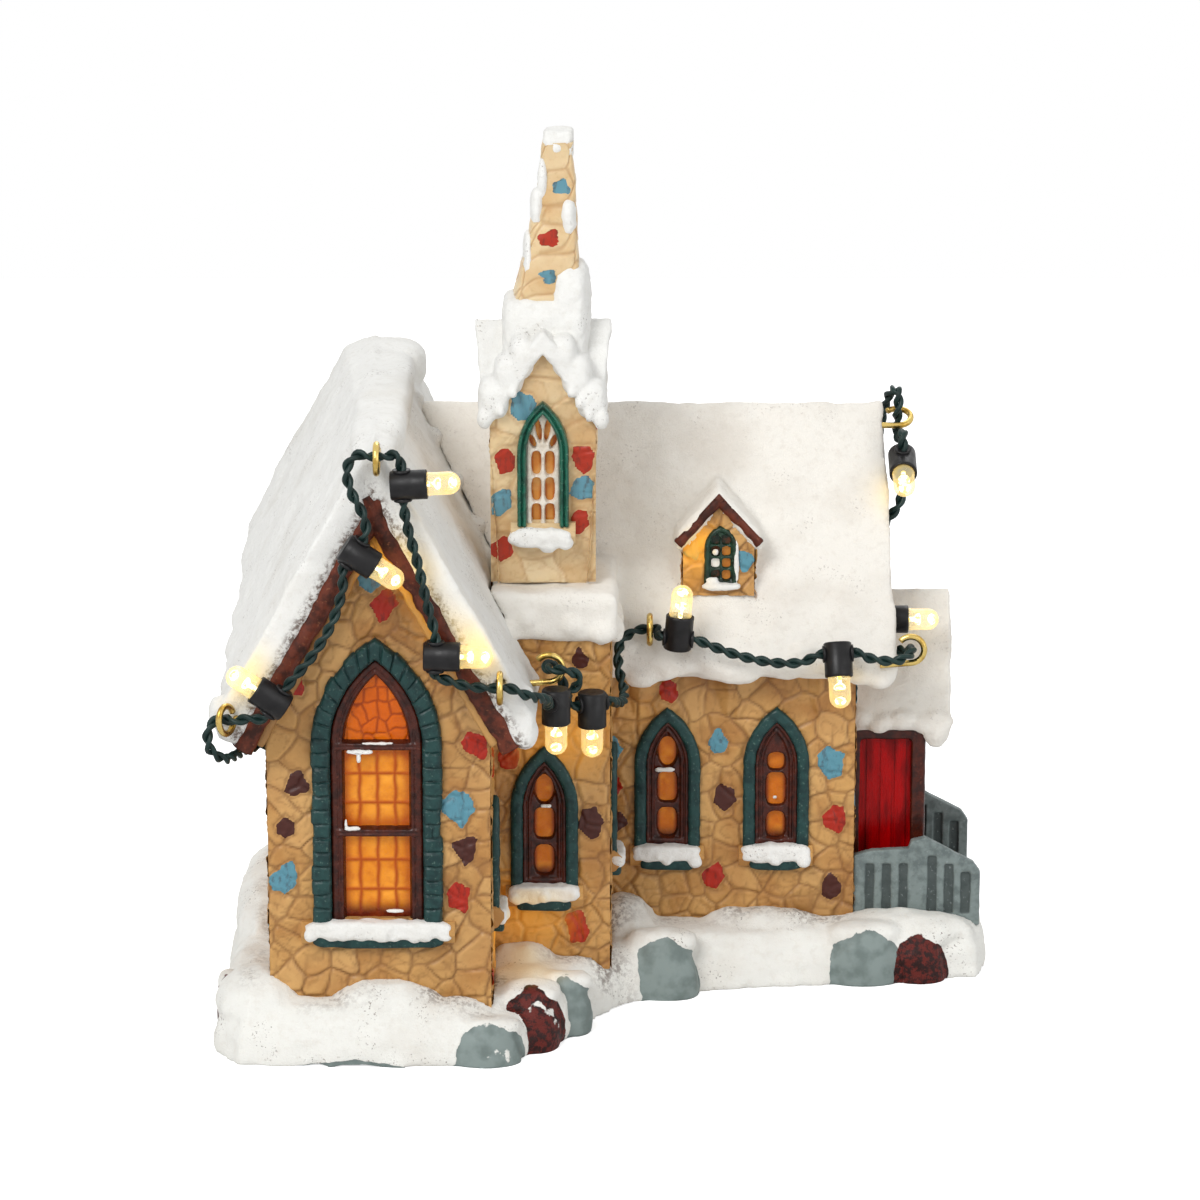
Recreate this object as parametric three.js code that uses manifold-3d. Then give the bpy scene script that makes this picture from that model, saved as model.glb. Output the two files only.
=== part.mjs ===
// A lit christmas village church: resin castings with snow, glazed windows, a chain of ten
// small lamps on brass eyes and hooks, and a battery box under the floor.
// Millimetres. X runs along the nave to the right, Y away from the viewer, Z up.
// The origin is the bottom centre of the model.

import * as THREE from 'three';
import { mergeVertices } from 'three/addons/utils/BufferGeometryUtils.js';
import Module from 'manifold-3d';

const wasm = await Module();
wasm.setup();

// Clearances
const SEAT_GAP = 0.3;
const SLIDING_GAP = 0.35;
const OVERLAP = 0.4;
const BEYOND = 240;

// Ground
const GROUND_HALF_LENGTH = 85.8;
const GROUND_FRONT = -57.3;
const GROUND_BACK = 61.8;
const GROUND_TOP = 12.6;
const GROUND_BANK = 7;
const WALL_POCKET = 9;

// Wing, the gabled block that faces the viewer
const WING_CENTRE = -49.4;
const WING_HALF = 23.5;
const WING_FRONT = -46;
const WING_RIDGE = 136.2;
const WING_PITCH = 1.8;
const WING_REACH = 34;
const WING_VERGE = 8;

// Nave, the long block to the right of the wing
const NAVE_FRONT = 8;
const NAVE_BACK = 50;
const NAVE_RIGHT = 54.6;
const NAVE_RIDGE = 127;
const NAVE_PITCH = 1.9;
const NAVE_REACH = 28.5;
const NAVE_VERGE = 6.4;
const NAVE_VERGE_FLARE = 2.9;

// Castings
const WALL = 3.6;
const SNOW = 5;
const BACK_OVERHANG = 7.5;
const BOARD_DEPTH = 3;
const BOARD_THICK = 2;
const BOARD_SETBACK = 1;
const VALLEY_INSET = 3;
const VALLEY_FOOT = 60;

// Tower: the stone base, the cap of snow on it, the shaft, its cross gabled roof and the spire
const TOWER_CENTRE = -13;
const TOWER_HALF = 12.7;
const TOWER_FRONT = -19;
const TOWER_TOP = 84.2;
const CAP_TOP = 95.7;
const CAP_BACK = 12;
const SHAFT_CENTRE = [-14.5, -4.5];
const SHAFT_HALF_TOP = 11.1;
const SHAFT_HALF_FOOT = 9.3;
const SHAFT_PITCH = 1.45;
const SHAFT_RIDGE = 152.8;
const SHAFT_REACH = 13.2;
const SHAFT_VERGE = 14.8;
const SHAFT_VERGE_RAKE = 2;
const SHAFT_EAVE = 131.1;
const SHAFT_SNOW = 2.5;
const SHAFT_WINDOW_BAND = 1.5;
const LIGHT_WELL_HALF = 5.5;
const SPIRE_TOP = 194.4;
const SPIRE_HALF_TOP = 3.3;
const SPIRE_HALF_FOOT = 8;
const SPIRE_LEAN = 3.2;

// Windows: the raised surround's sill, jambs and pointed head, and the widths inside it
const WING_WINDOW = { centre: -49.8, half: 13.3, sill: 29.5, jamb: 39, head: 23.5 };
const TOWER_WINDOW = { centre: -14.4, half: 6.9, sill: 28.8, jamb: 17.7, head: 13.5 };
const NAVE_WINDOW = { centre: 12.9, half: 6.9, sill: 29.4, jamb: 18.6, head: 13 };
const NAVE_WINDOW_PITCH = 24.4;
const BLIND_WINDOW = { centre: 0, half: 4.6, jamb: 14, head: 10 };
const SHAFT_WINDOW = { centre: -14.5, half: 5.4, sill: 109.5, jamb: 16, head: 11.3 };
const WING_BAND = 3.3;
const WING_FRAME = 3.1;
const LANCET_BAND = 2;
const LANCET_FRAME = 2.7;
const SURROUND_PROUD = 1.4;
const FRAME_THICK = 1.6;
const FRAME_STEP = 0.5;
const FRAME_SETBACK = 0.2;
const PANE_THICK = 1;
const REBATE = 1;
const WING_BARS = [49.4, 68.6];
const STONE_JOINT = 0.5;
const STONE_PITCH = 4.3;

// Dormer on the front slope of the nave
const DORMER_CENTRE = 24.1;
const DORMER_HALF = 7.6;
const DORMER_REACH = 9.8;
const DORMER_PEAK = 111.9;
const DORMER_PITCH = 1.1;
const DORMER_ROOF = 2.2;
const DORMER_WINDOW = { centre: 24.6, half: 3.9, sill: 90, jamb: 8.5, head: 5.1 };
const DORMER_RECESS = 2.4;
const DORMER_FOOT = 80;

// Porch at the nave's right gable, its landing and balustrades
const PORCH_DEPTH = 16.8;
const PORCH_HALF = 12;
const PORCH_WALL = 2.4;
const PORCH_FLOOR = 15.6;
const PORCH_RIDGE = 83.6;
const PORCH_PITCH = 2.1;
const PORCH_REACH = 13;
const PORCH_VERGE = 5.6;
const PORCH_SNOW = 2;
const PORCH_DRIP = [3.4, 2.6, 4.6];
const POST = 2.7;
const BEAM = 1.9;
const BOARD_PITCH = 3.2;
const BOARD_GROOVE = 0.4;
const LANDING_HALF = 18;
const LANDING_LENGTH = 21;
const STEP_LENGTH = 7;
const STEP_RISE = 1.5;
const RAIL_THICK = 2.2;
const RAIL_TOP = 28;
const RAIL_POST = 3;
const RAIL_FALL = 6.6;
const RAIL_BEND = 16.4;
const SLAT_PITCH = 3.8;

// Lamp chain
const CORD = 2.4;
const SOCKET = 6.2;
const SOCKET_LENGTH = 7.6;
const SOCKET_BORE = CORD + 0.9;
const BORE_SETBACK = 1.3;
const LENS = 4.9;
const LENS_LENGTH = 7;
const LENS_PLUG = 4.1;
const PLUG_DEPTH = 2.1;
const WIRE = 1.4;
const EYE_RADIUS = 3;
const EYE_STEM = 1;
const HOOK_STEM = 3;
const EYE_REACH = 1.9;
const EYE_BEND = 25;
const EYE_OPEN_ARC = [-90, 135];
const EYE_CLOSED_ARC = [-155, 145];
const SHANK_DEPTH = 4;
const WIRE_HOLE = CORD + 1;

// Battery box under the wing's floor: three round cells side by side
const CELL = 10.5;
const CELL_LENGTH = 44.5;
const CELL_COUNT = 3;
const CELL_NUB = 3.8;
const BOX_CENTRE = [-49.4, 8];
const BOX_WALL = 1.6;
const BOX_FLANGE = 4;
const SPRING_ROOM = 3;
const COVER_THICK = 1.6;
const COVER_RECESS = 0.8;
const HINGE_BACKSET = 1.6;
const HINGE_PIN = 1;
const HINGE_GAP = 0.15;
const HINGE_LUG = 1.4;
const SLIDER = [6, 3.4];
const SLIDER_TRAVEL = 2;
const SLIDER_FLOOR = 0.9;
const SLIDER_HEIGHT = 2.6;
const KNOB = [3, 2.2];
const KNOB_FOOT = 0.3;
const SWITCH_WALL = 1.4;
const LAMP_BOARD = [14, 10, 1.6];
const GLOW_LED = 5;

// Colours
const FINISH = {
  snow: { color: 0xebe8e2, roughness: 0.85 },
  stone: { color: 0xbe9a69, roughness: 0.8 },
  shaft: { color: 0xdfbe8c, roughness: 0.55 },
  brown: { color: 0x4a2a25, roughness: 0.5 },
  tracery: { color: 0xe6e0d4, roughness: 0.6 },
  amber: { color: 0xe1821e, roughness: 0.4 },
  green: { color: 0x2a4f4f, roughness: 0.45 },
  grey: { color: 0x85949b, roughness: 0.7 },
  red: { color: 0xb4000a, roughness: 0.35 },
  brass: { color: 0xc4a050, roughness: 0.3, metalness: 1 },
  socket: { color: 0x2d2b2d, roughness: 0.45 },
  cord: { color: 0x1e3430, roughness: 0.5 },
  lens: { color: 0xfff0c0, roughness: 0.15 },
  case: { color: 0x202022, roughness: 0.5 },
  cell: { color: 0x3c6f50, roughness: 0.35 },
};

// Worked out from the sizes above
const steep = (pitch) => Math.hypot(1, pitch);
const rise = (thickness, pitch) => thickness * steep(pitch);
const GROUND_MID = (GROUND_FRONT + GROUND_BACK) / 2;
const WING_VERGE_FACE = WING_FRONT - WING_VERGE;
const WING_INNER = WING_RIDGE - rise(SNOW + 0.3, WING_PITCH);
const NAVE_AXIS = (NAVE_FRONT + NAVE_BACK) / 2;
const NAVE_DEPTH = NAVE_BACK - NAVE_FRONT;
const NAVE_LEFT = WING_CENTRE + WING_HALF;
const NAVE_INNER = NAVE_RIDGE - rise(SNOW, NAVE_PITCH);
const NAVE_VERGE_FACE = NAVE_RIGHT + NAVE_VERGE;
const WALL_FOOT = WALL_POCKET + SEAT_GAP;
const SHAFT_FOOT = CAP_TOP + SEAT_GAP;
const SHAFT_FRONT = SHAFT_CENTRE[1] - SHAFT_HALF_TOP;
const SHAFT_INNER = SHAFT_RIDGE - rise(SHAFT_SNOW, SHAFT_PITCH);
const PORCH_RIGHT = NAVE_RIGHT + PORCH_DEPTH;
const PORCH_INNER = PORCH_RIDGE - rise(PORCH_SNOW, PORCH_PITCH);
const CELL_PITCH = CELL + 0.5;
const BOX_INNER = [CELL_COUNT * CELL_PITCH + 0.5, CELL_LENGTH + SPRING_ROOM];
const BOX_OUTER = BOX_INNER.map((size) => size + 2 * BOX_WALL);
const CELL_AXIS = COVER_RECESS + COVER_THICK + SEAT_GAP + CELL / 2;
const BOX_TOP = CELL_AXIS + CELL / 2 + SEAT_GAP + BOX_WALL;

// Geometry helpers

function polygon(points) {
  return new THREE.Shape(points.map(([x, y]) => new THREE.Vector2(x, y)));
}

function prism(shape, length) {
  return new THREE.ExtrudeGeometry(shape, { depth: length, bevelEnabled: false, curveSegments: 5 });
}

// An outline drawn in X and Z, extruded along Y
function alongY(shape, from, to) {
  return prism(shape, to - from).rotateX(Math.PI / 2).translate(0, to, 0);
}

// An outline drawn in Y and Z, extruded along X
function alongX(shape, from, to) {
  const turn = new THREE.Matrix4().makeBasis(
    new THREE.Vector3(0, 1, 0),
    new THREE.Vector3(0, 0, 1),
    new THREE.Vector3(1, 0, 0),
  );
  return prism(shape, to - from).applyMatrix4(turn).translate(from, 0, 0);
}

function alongZ(shape, from, to) {
  return prism(shape, to - from).translate(0, 0, from);
}

function block(low, high) {
  const size = high.map((value, axis) => value - low[axis]);
  const box = new THREE.BoxGeometry(...size);
  return box.translate(...low.map((value, axis) => value + size[axis] / 2));
}

// Six times the signed volume under the triangles, negative when the skin is inside out
function signedVolume(positions, index) {
  const corner = (place) => new THREE.Vector3().fromArray(positions, 3 * index[place]);
  let volume = 0;
  for (let place = 0; place < index.length; place += 3) {
    volume += corner(place).dot(corner(place + 1).cross(corner(place + 2)));
  }
  return volume;
}

// A closed skin through outlines with equal numbers of points; place puts a point of one in space
function loft(outlines, place) {
  const rings = outlines.map((outline) => {
    const flat = outline.map(([u, v]) => new THREE.Vector2(u, v));
    return THREE.ShapeUtils.isClockWise(flat) ? flat.reverse() : flat;
  });
  const count = rings[0].length;
  const last = (rings.length - 1) * count;
  const index = [];
  for (const [a, b, c] of THREE.ShapeUtils.triangulateShape(rings[0], [])) {
    index.push(c, b, a);
  }
  for (const [a, b, c] of THREE.ShapeUtils.triangulateShape(rings[rings.length - 1], [])) {
    index.push(last + a, last + b, last + c);
  }
  for (let ring = 0; ring < last; ring += count) {
    for (let side = 0; side < count; side += 1) {
      const a = ring + side;
      const b = ring + (side + 1) % count;
      index.push(a, b, b + count, a, b + count, a + count);
    }
  }
  const positions = rings.flatMap((ring, step) => ring.flatMap(({ x, y }) => place(x, y, step)));
  if (signedVolume(positions, index) < 0) {
    index.reverse();
  }
  const geometry = new THREE.BufferGeometry();
  geometry.setAttribute('position', new THREE.Float32BufferAttribute(positions, 3));
  geometry.setIndex(index);
  return geometry;
}

function solid(geometry) {
  const bare = geometry.clone();
  bare.deleteAttribute('normal');
  bare.deleteAttribute('uv');
  const merged = mergeVertices(bare, 1e-4);
  const corners = [];
  for (let place = 0; place < merged.index.count; place += 3) {
    const triangle = [0, 1, 2].map((corner) => merged.index.getX(place + corner));
    if (new Set(triangle).size === 3) {
      corners.push(...triangle);
    }
  }
  return new wasm.Manifold(new wasm.Mesh({
    numProp: 3,
    vertProperties: new Float32Array(merged.attributes.position.array),
    triVerts: new Uint32Array(corners),
  }));
}

function geometryOf(body) {
  const mesh = body.getMesh();
  const geometry = new THREE.BufferGeometry();
  const positions = new Float32Array(mesh.numVert * 3);
  for (let vertex = 0; vertex < mesh.numVert; vertex += 1) {
    for (let axis = 0; axis < 3; axis += 1) {
      positions[vertex * 3 + axis] = mesh.vertProperties[vertex * mesh.numProp + axis];
    }
  }
  geometry.setAttribute('position', new THREE.BufferAttribute(positions, 3));
  geometry.setIndex(new THREE.BufferAttribute(new Uint32Array(mesh.triVerts), 1));
  return geometry;
}

function join(...geometries) {
  return geometries.map(solid).reduce((whole, piece) => whole.add(piece));
}

function cut(body, ...geometries) {
  return geometries.map(solid).reduce((rest, tool) => rest.subtract(tool), body);
}

// The largest piece that a cut leaves
function largest(body) {
  const pieces = body.decompose();
  pieces.sort((a, b) => b.volume() - a.volume());
  return pieces[0];
}

const model = new THREE.Group();

function add(name, finish, geometry, parent = model) {
  geometry.computeVertexNormals();
  const material = new THREE.MeshStandardMaterial(FINISH[finish]);
  const mesh = new THREE.Mesh(geometry, material);
  mesh.name = name;
  parent.add(mesh);
  return mesh;
}

// Outlines

// Where the arcs of a window start, where they meet, and their radius
function springOf(window) {
  return window.sill + window.jamb;
}

function peakOf(window) {
  return springOf(window) + window.head;
}

function arcRadius(window) {
  return (window.half ** 2 + window.head ** 2) / (2 * window.half);
}

// A pointed arch: straight jambs and two arcs that meet at the peak
function lancet(window) {
  const spring = springOf(window);
  const radius = arcRadius(window);
  const sweep = Math.atan2(window.head, radius - window.half);
  const shape = new THREE.Shape();
  shape.moveTo(window.centre - window.half, window.sill);
  shape.lineTo(window.centre + window.half, window.sill);
  shape.absarc(window.centre + window.half - radius, spring, radius, 0, sweep, false);
  shape.absarc(window.centre - window.half + radius, spring, radius, Math.PI - sweep, Math.PI, false);
  return shape;
}

// The same arch drawn smaller, its arcs about the same centres; the sill rises by its own step
function inset(window, step, sillStep = step) {
  const radius = arcRadius(window);
  return {
    centre: window.centre,
    half: window.half - step,
    sill: window.sill + sillStep,
    jamb: window.jamb - sillStep,
    head: Math.sqrt((radius - step) ** 2 - (radius - window.half) ** 2),
  };
}

function gable(centre, half, foot, inner, pitch) {
  return polygon([
    [centre - half, foot],
    [centre + half, foot],
    [centre + half, inner - pitch * half],
    [centre, inner],
    [centre - half, inner - pitch * half],
  ]);
}

function rectangle(centreX, centreY, halfX, halfY) {
  return polygon([
    [centreX - halfX, centreY - halfY],
    [centreX + halfX, centreY - halfY],
    [centreX + halfX, centreY + halfY],
    [centreX - halfX, centreY + halfY],
  ]);
}

// Snow roofs

// Hand shaped unevenness of snow, from two sine waves
function sway(position, phase, height) {
  return height * (0.6 * Math.sin(position * 0.42 + phase) + 0.4 * Math.sin(position * 0.83 + 2 * phase));
}

// Outline of a snow roof across its ridge: up the left slope, over a rounded ridge, down the right
// slope, round the two feet, and back along the flat undersides
function snowOutline(roof, along, swell, grow, filled) {
  const outer = roof.ridge + grow * steep(roof.pitch);
  const rightAt = (across) => outer - roof.pitch * (across - roof.crown * 0.3);
  const leftAt = (across) => rightAt(across - swell);
  const shoulder = roof.crown + swell;
  const left = roof.reach + grow + sway(along, roof.phase, roof.wave);
  const right = roof.reach + grow + sway(along, roof.phase + 2, roof.wave);
  const points = [
    [-left, leftAt(left)],
    [-(left + shoulder) / 2, leftAt((left + shoulder) / 2) + roof.bulge + sway(along, 1, roof.wave / 2)],
    [-shoulder, leftAt(shoulder)],
    [-swell / 2, outer],
    [roof.crown, rightAt(roof.crown)],
    [(right + roof.crown) / 2, rightAt((right + roof.crown) / 2) + sway(along, 3, roof.wave / 2)],
    [right, rightAt(right)],
  ];
  if (filled) {
    return [...points, [right, filled.foot], [-left, filled.foot]];
  }
  const inner = roof.ridge - roof.depth;
  const innerReach = roof.reach - roof.foot;
  return [
    ...points,
    [right - roof.foot * 0.3, rightAt(right) - roof.drip - sway(along, roof.phase + 4, roof.wave)],
    [innerReach, inner - roof.pitch * innerReach],
    [0, inner],
    [-innerReach, inner - roof.pitch * innerReach],
    [-left + roof.foot * 0.3, rightAt(left) - roof.drip - sway(along, roof.phase + 5, roof.wave)],
  ];
}

// How far a roof's end moves out towards its eaves, at its far end and, where it has one, its near end
function flareOf(roof, across, step) {
  const share = Math.min(1, Math.abs(across) / roof.reach);
  if (step === roof.steps) {
    return roof.flare * share;
  }
  return step === 0 && roof.nearFlare ? -roof.nearFlare * share : 0;
}

// A snow roof along Y or X; the swell makes the snow deeper towards the far end
function snowRoof(roof, grow = 0, filled = null) {
  const alongs = [];
  for (let step = 0; step <= roof.steps; step += 1) {
    const part = step / roof.steps;
    alongs.push(roof.from + (roof.to - roof.from) * part + (part * 2 - 1) * grow);
  }
  const outlines = alongs.map((along, step) => (
    snowOutline(roof, along, roof.swell * (step / roof.steps), grow, filled)));
  return loft(outlines, (across, z, step) => {
    if (roof.axis === 'y') {
      return [roof.centre + across, alongs[step] + flareOf(roof, across, step), z];
    }
    return [alongs[step] + flareOf(roof, across, step), roof.centre - across, z];
  });
}

const WING_ROOF = {
  axis: 'y', centre: WING_CENTRE, ridge: WING_RIDGE, pitch: WING_PITCH, reach: WING_REACH,
  depth: WING_RIDGE - WING_INNER, crown: 2.2, swell: 9, foot: 4, drip: 3.5,
  wave: 0.9, phase: 1.2, bulge: 1.4,
  from: WING_VERGE_FACE, to: NAVE_BACK + BACK_OVERHANG, steps: 14, flare: 0,
};

const NAVE_ROOF = {
  axis: 'x', centre: NAVE_AXIS, ridge: NAVE_RIDGE, pitch: NAVE_PITCH, reach: NAVE_REACH,
  depth: NAVE_RIDGE - NAVE_INNER, crown: 1.4, swell: 0, foot: 3.6, drip: 3, wave: 1, phase: 0.4, bulge: 0,
  from: WING_CENTRE, to: NAVE_VERGE_FACE, steps: 16, flare: NAVE_VERGE_FLARE,
};

const PORCH_ROOF = {
  axis: 'x', centre: NAVE_AXIS, ridge: PORCH_RIDGE, pitch: PORCH_PITCH, reach: PORCH_REACH,
  depth: PORCH_RIDGE - PORCH_INNER, crown: 1.2, swell: 0, foot: 0.8, drip: 3,
  wave: 0.7, phase: 2.1, bulge: 0,
  from: NAVE_RIGHT + SEAT_GAP, to: PORCH_RIGHT + PORCH_VERGE, steps: 6, flare: 0,
};

function shaftRoofAlong(axis) {
  const middle = axis === 'y' ? SHAFT_CENTRE[1] : SHAFT_CENTRE[0];
  return {
    axis, centre: axis === 'y' ? SHAFT_CENTRE[0] : SHAFT_CENTRE[1], ridge: SHAFT_RIDGE,
    pitch: SHAFT_PITCH, reach: SHAFT_REACH, depth: SHAFT_RIDGE - SHAFT_INNER, crown: 1.2, swell: 0,
    foot: 2.2, drip: 2.4, wave: 0.5, phase: 0.7, bulge: 0,
    from: middle - SHAFT_VERGE, to: middle + SHAFT_VERGE, steps: 6,
    flare: -SHAFT_VERGE_RAKE, nearFlare: -SHAFT_VERGE_RAKE,
  };
}

// Light chain: where each lamp, eye and hook is, and the free points between them

// at: the cord's place in the socket; lens: where the lamp points; cord: which way the cord runs through
const LAMPS = [
  { at: [-70.1, -58.6, 81.9], lens: [-0.83, 0, 0.56], cord: [0.56, 0, 0.83] },
  { at: [-53.4, -58.6, 114.2], lens: [0.83, 0, -0.56], cord: [0.56, 0, 0.83] },
  { at: [-43.2, -58.6, 128.7], lens: [1, 0, 0.05], cord: [0.05, 0, -1] },
  { at: [-36.7, -58, 91.7], lens: [1, 0, -0.02], cord: [0.02, 0, -1] },
  { at: [-11.6, -38, 76.4], lens: [0, 0, -1], cord: [0.4, 0.9, 0] },
  { at: [-3.9, -31, 73.7], lens: [0, 0, -1], cord: [0.9, 0.4, 0] },
  { at: [15, -4.2, 80.8], lens: [0.09, 0, 1], cord: [1, 0, -0.09] },
  { at: [50.2, -4.6, 77.4], lens: [0.05, -0.35, -0.93], cord: [1, 0.05, 0] },
  { at: [61.5, 14, 80.2], lens: [1, 0, 0], cord: [-0.1, 0.4, 0.9] },
  { at: [65.3, 21, 115.1], lens: [0, -0.92, -0.39], cord: [0, -0.39, 0.92] },
];

// A closed eye stands on its shank; a hook is a ring that starts tangent to its shank and stays open
const EYES = {
  ridge_eye: { base: [-48.5, WING_VERGE_FACE, 134.2], out: [0, -1, 0], up: [0, 0, 1] },
  left_eave_eye: { base: [-78.9, WING_VERGE_FACE, 77.1], out: [-0.45, -0.88, 0.15], up: [0, 0, 1] },
  right_eave_eye: { base: [-23.2, WING_VERGE_FACE, 84.8], out: [0, -1, 0], up: [0, 0, 1] },
  tower_hook: { base: [-16, -31.6, 78.4], out: [1, 0, 0.08], up: [-0.08, 0, 1], open: true },
  nave_left_eye: { base: [8.8, 3.5, 79.8], out: [0, -0.885, 0.466], up: [0, 0.466, 0.885] },
  nave_right_hook: { base: [63.8, 0.6, 73.6], out: [1, 0, 0.08], up: [-0.08, 0, 1], open: true },
  nave_ridge_hook: { base: [61.6, 27.4, 121.6], out: [1, 0, 0], up: [0, 0.9, 0.43], open: true },
};

const vector = (values) => new THREE.Vector3(...values);

// Directions of a lamp: out of the lens, along the cord, and square to both
function lampFrame(lamp) {
  const lens = vector(lamp.lens).normalize();
  const side = new THREE.Vector3().crossVectors(lens, vector(lamp.cord)).normalize();
  const cord = new THREE.Vector3().crossVectors(side, lens);
  return { lens, side, cord };
}

function lampMouths(lamp) {
  const { cord } = lampFrame(lamp);
  const reach = SOCKET / 2 + 0.9;
  return [
    vector(lamp.at).addScaledVector(cord, -reach),
    vector(lamp.at).addScaledVector(cord, reach),
  ];
}

function eyeCentre(eye) {
  const out = vector(eye.out).normalize();
  const up = vector(eye.up).normalize();
  return eye.open
    ? vector(eye.base).addScaledVector(out, HOOK_STEM).addScaledVector(up, EYE_RADIUS)
    : vector(eye.base).addScaledVector(out, EYE_STEM + EYE_RADIUS);
}

// Two places on the axis of an eye's ring, before and behind it; the sense turns the order round
function eyeMouths(name, sense, shift = 0) {
  const eye = EYES[name];
  const axis = new THREE.Vector3().crossVectors(vector(eye.out), vector(eye.up)).normalize();
  const middle = eyeCentre(eye).addScaledVector(vector(eye.up).normalize(), shift);
  return [-sense, sense].map((side) => middle.clone().addScaledVector(axis, side * EYE_REACH));
}

// The cord lies on the far slope of the nave, its underside just clear of the snow
function onFarSlope(x, y) {
  const height = NAVE_RIDGE - NAVE_PITCH * (y - NAVE_AXIS);
  return new THREE.Vector3(x, y, height + (CORD / 2 + 1) * steep(NAVE_PITCH));
}

const LEFT_HOLE = [-39, 66.6];
const BACK_HOLE = [44, 64];

function cordRoute() {
  const mouths = LAMPS.map(lampMouths);
  const lead = BOX_TOP + SEAT_GAP + CORD / 2;
  const boardReach = LAMP_BOARD[0] / 2 + SEAT_GAP + CORD / 2;
  return [
    [BOX_CENTRE[0] - boardReach, BOX_CENTRE[1] - 2, lead],
    [BOX_CENTRE[0] - boardReach - 1, -8, lead],
    [-60.6, -17, lead + 2],
    [-63.4, -26, 26],
    [-65.4, -33, 40],
    [-66, -37.4, 54],
    [-66.6, -38.8, 62.6],
    [WING_CENTRE - WING_HALF + WALL + 1, ...LEFT_HOLE],
    [WING_CENTRE - WING_HALF - 1.2, ...LEFT_HOLE],
    [-77.5, -43, 67],
    [-79.6, -50, 67.6],
    [-81.8, -55.4, 68.6],
    [-84.4, -57.6, 71.6],
    [-84.4, -58, 75.6],
    ...eyeMouths('left_eave_eye', -1),
    [-76.2, -58.8, 78.4],
    ...mouths[0],
    [-62.9, -58, 91.2],
    [-58.6, -58, 98.2],
    [-55.9, -58.2, 106.2],
    ...mouths[1],
    [-51.2, -58.2, 121.6],
    [-53.9, -58.2, 127.4],
    [-54.6, -58.2, 132.2],
    [-52.6, -58.1, 135],
    ...eyeMouths('ridge_eye', -1, 0.5),
    [-44.4, -58.4, 135],
    ...mouths[2],
    [-42.2, -58.2, 119.6],
    [-40.2, -58, 111.8],
    [-38.5, -58, 103.8],
    ...mouths[3],
    [-34.6, -58, 86.6],
    [-29.8, -58, 85.2],
    ...eyeMouths('right_eave_eye', -1),
    [-17.4, -57.6, 83],
    [-13.8, -51, 80.4],
    [-13.2, -45, 77.8],
    ...mouths[4],
    [-7.6, -32.6, 77.6],
    [-7, -34.6, 80.8],
    [-9.6, -35.8, 82.4],
    ...eyeMouths('tower_hook', -1, 0.4),
    [-11.2, -27, 80.4],
    [-9.8, -28.4, 76.2],
    ...mouths[5],
    [1.2, -24.6, 72],
    [2.8, -18, 70.6],
    [3, -12, 71.6],
    [1.9, -7.6, 75.2],
    [2.2, -3.6, 79],
    [4.6, -0.6, 81],
    ...eyeMouths('nave_left_eye', -1),
    ...mouths[6],
    [21.4, -4.2, 79.4],
    [28.6, -4.2, 76.8],
    [36.2, -4.2, 75.2],
    [42.4, -4.4, 75.4],
    ...mouths[7],
    [57.2, -4, 76.2],
    [63, -4.2, 75.6],
    ...eyeMouths('nave_right_hook', -1, -0.3),
    [66.4, 6.6, 75],
    [62.8, 10.4, 74.6],
    ...mouths[8],
    [60.2, 18.6, 87.6],
    [59.4, 21.4, 94],
    [61.6, 23.2, 99.6],
    [65, 22.8, 105],
    ...mouths[9],
    [65.4, 21, 121.2],
    [65.3, 24.8, 119.8],
    [64.8, 28, 118.6],
    ...eyeMouths('nave_ridge_hook', 1),
    [64.6, 29.6, 129],
    [62.6, 34.4, 126.4],
    onFarSlope(60, 39),
    onFarSlope(57, 45.6),
    onFarSlope(54, 52),
    onFarSlope(51.6, 56.2),
    [50, 60.2, 74.4],
    [48.4, 60.2, 69],
    [46, 57.6, 65],
    [BACK_HOLE[0], NAVE_BACK + 1.2, BACK_HOLE[1]],
    [BACK_HOLE[0], NAVE_BACK - WALL - 1, BACK_HOLE[1]],
    [43.4, 43, 60.4],
    [39.4, 41.6, 48],
    [31, 39.4, 33],
    [18, 36.6, 20],
    [2, 33, 14],
    [-14, 28.4, 14],
    [-26, 22.4, 17.4],
    [-34, 15.6, lead + 1],
    [BOX_CENTRE[0] + boardReach, BOX_CENTRE[1] + 2, lead],
  ].map((point) => (point.isVector3 ? point : vector(point)));
}

// A path whose even steps fall on the points it was given
class PointPath extends THREE.Curve {
  constructor(points) {
    super();
    this.points = points;
  }

  getUtoTmapping(u) {
    return u;
  }

  getPoint(t, target = new THREE.Vector3()) {
    const scaled = t * (this.points.length - 1);
    const before = Math.min(Math.floor(scaled), this.points.length - 2);
    return target.lerpVectors(this.points[before], this.points[before + 1], scaled - before);
  }
}

function tube(points, diameter, sides) {
  const section = new THREE.Shape();
  for (let side = 0; side < sides; side += 1) {
    const angle = (side / sides) * 2 * Math.PI;
    const method = side === 0 ? 'moveTo' : 'lineTo';
    section[method](Math.cos(angle) * diameter / 2, Math.sin(angle) * diameter / 2);
  }
  return new THREE.ExtrudeGeometry(section, {
    steps: points.length - 1,
    bevelEnabled: false,
    extrudePath: new PointPath(points),
  });
}

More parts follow.
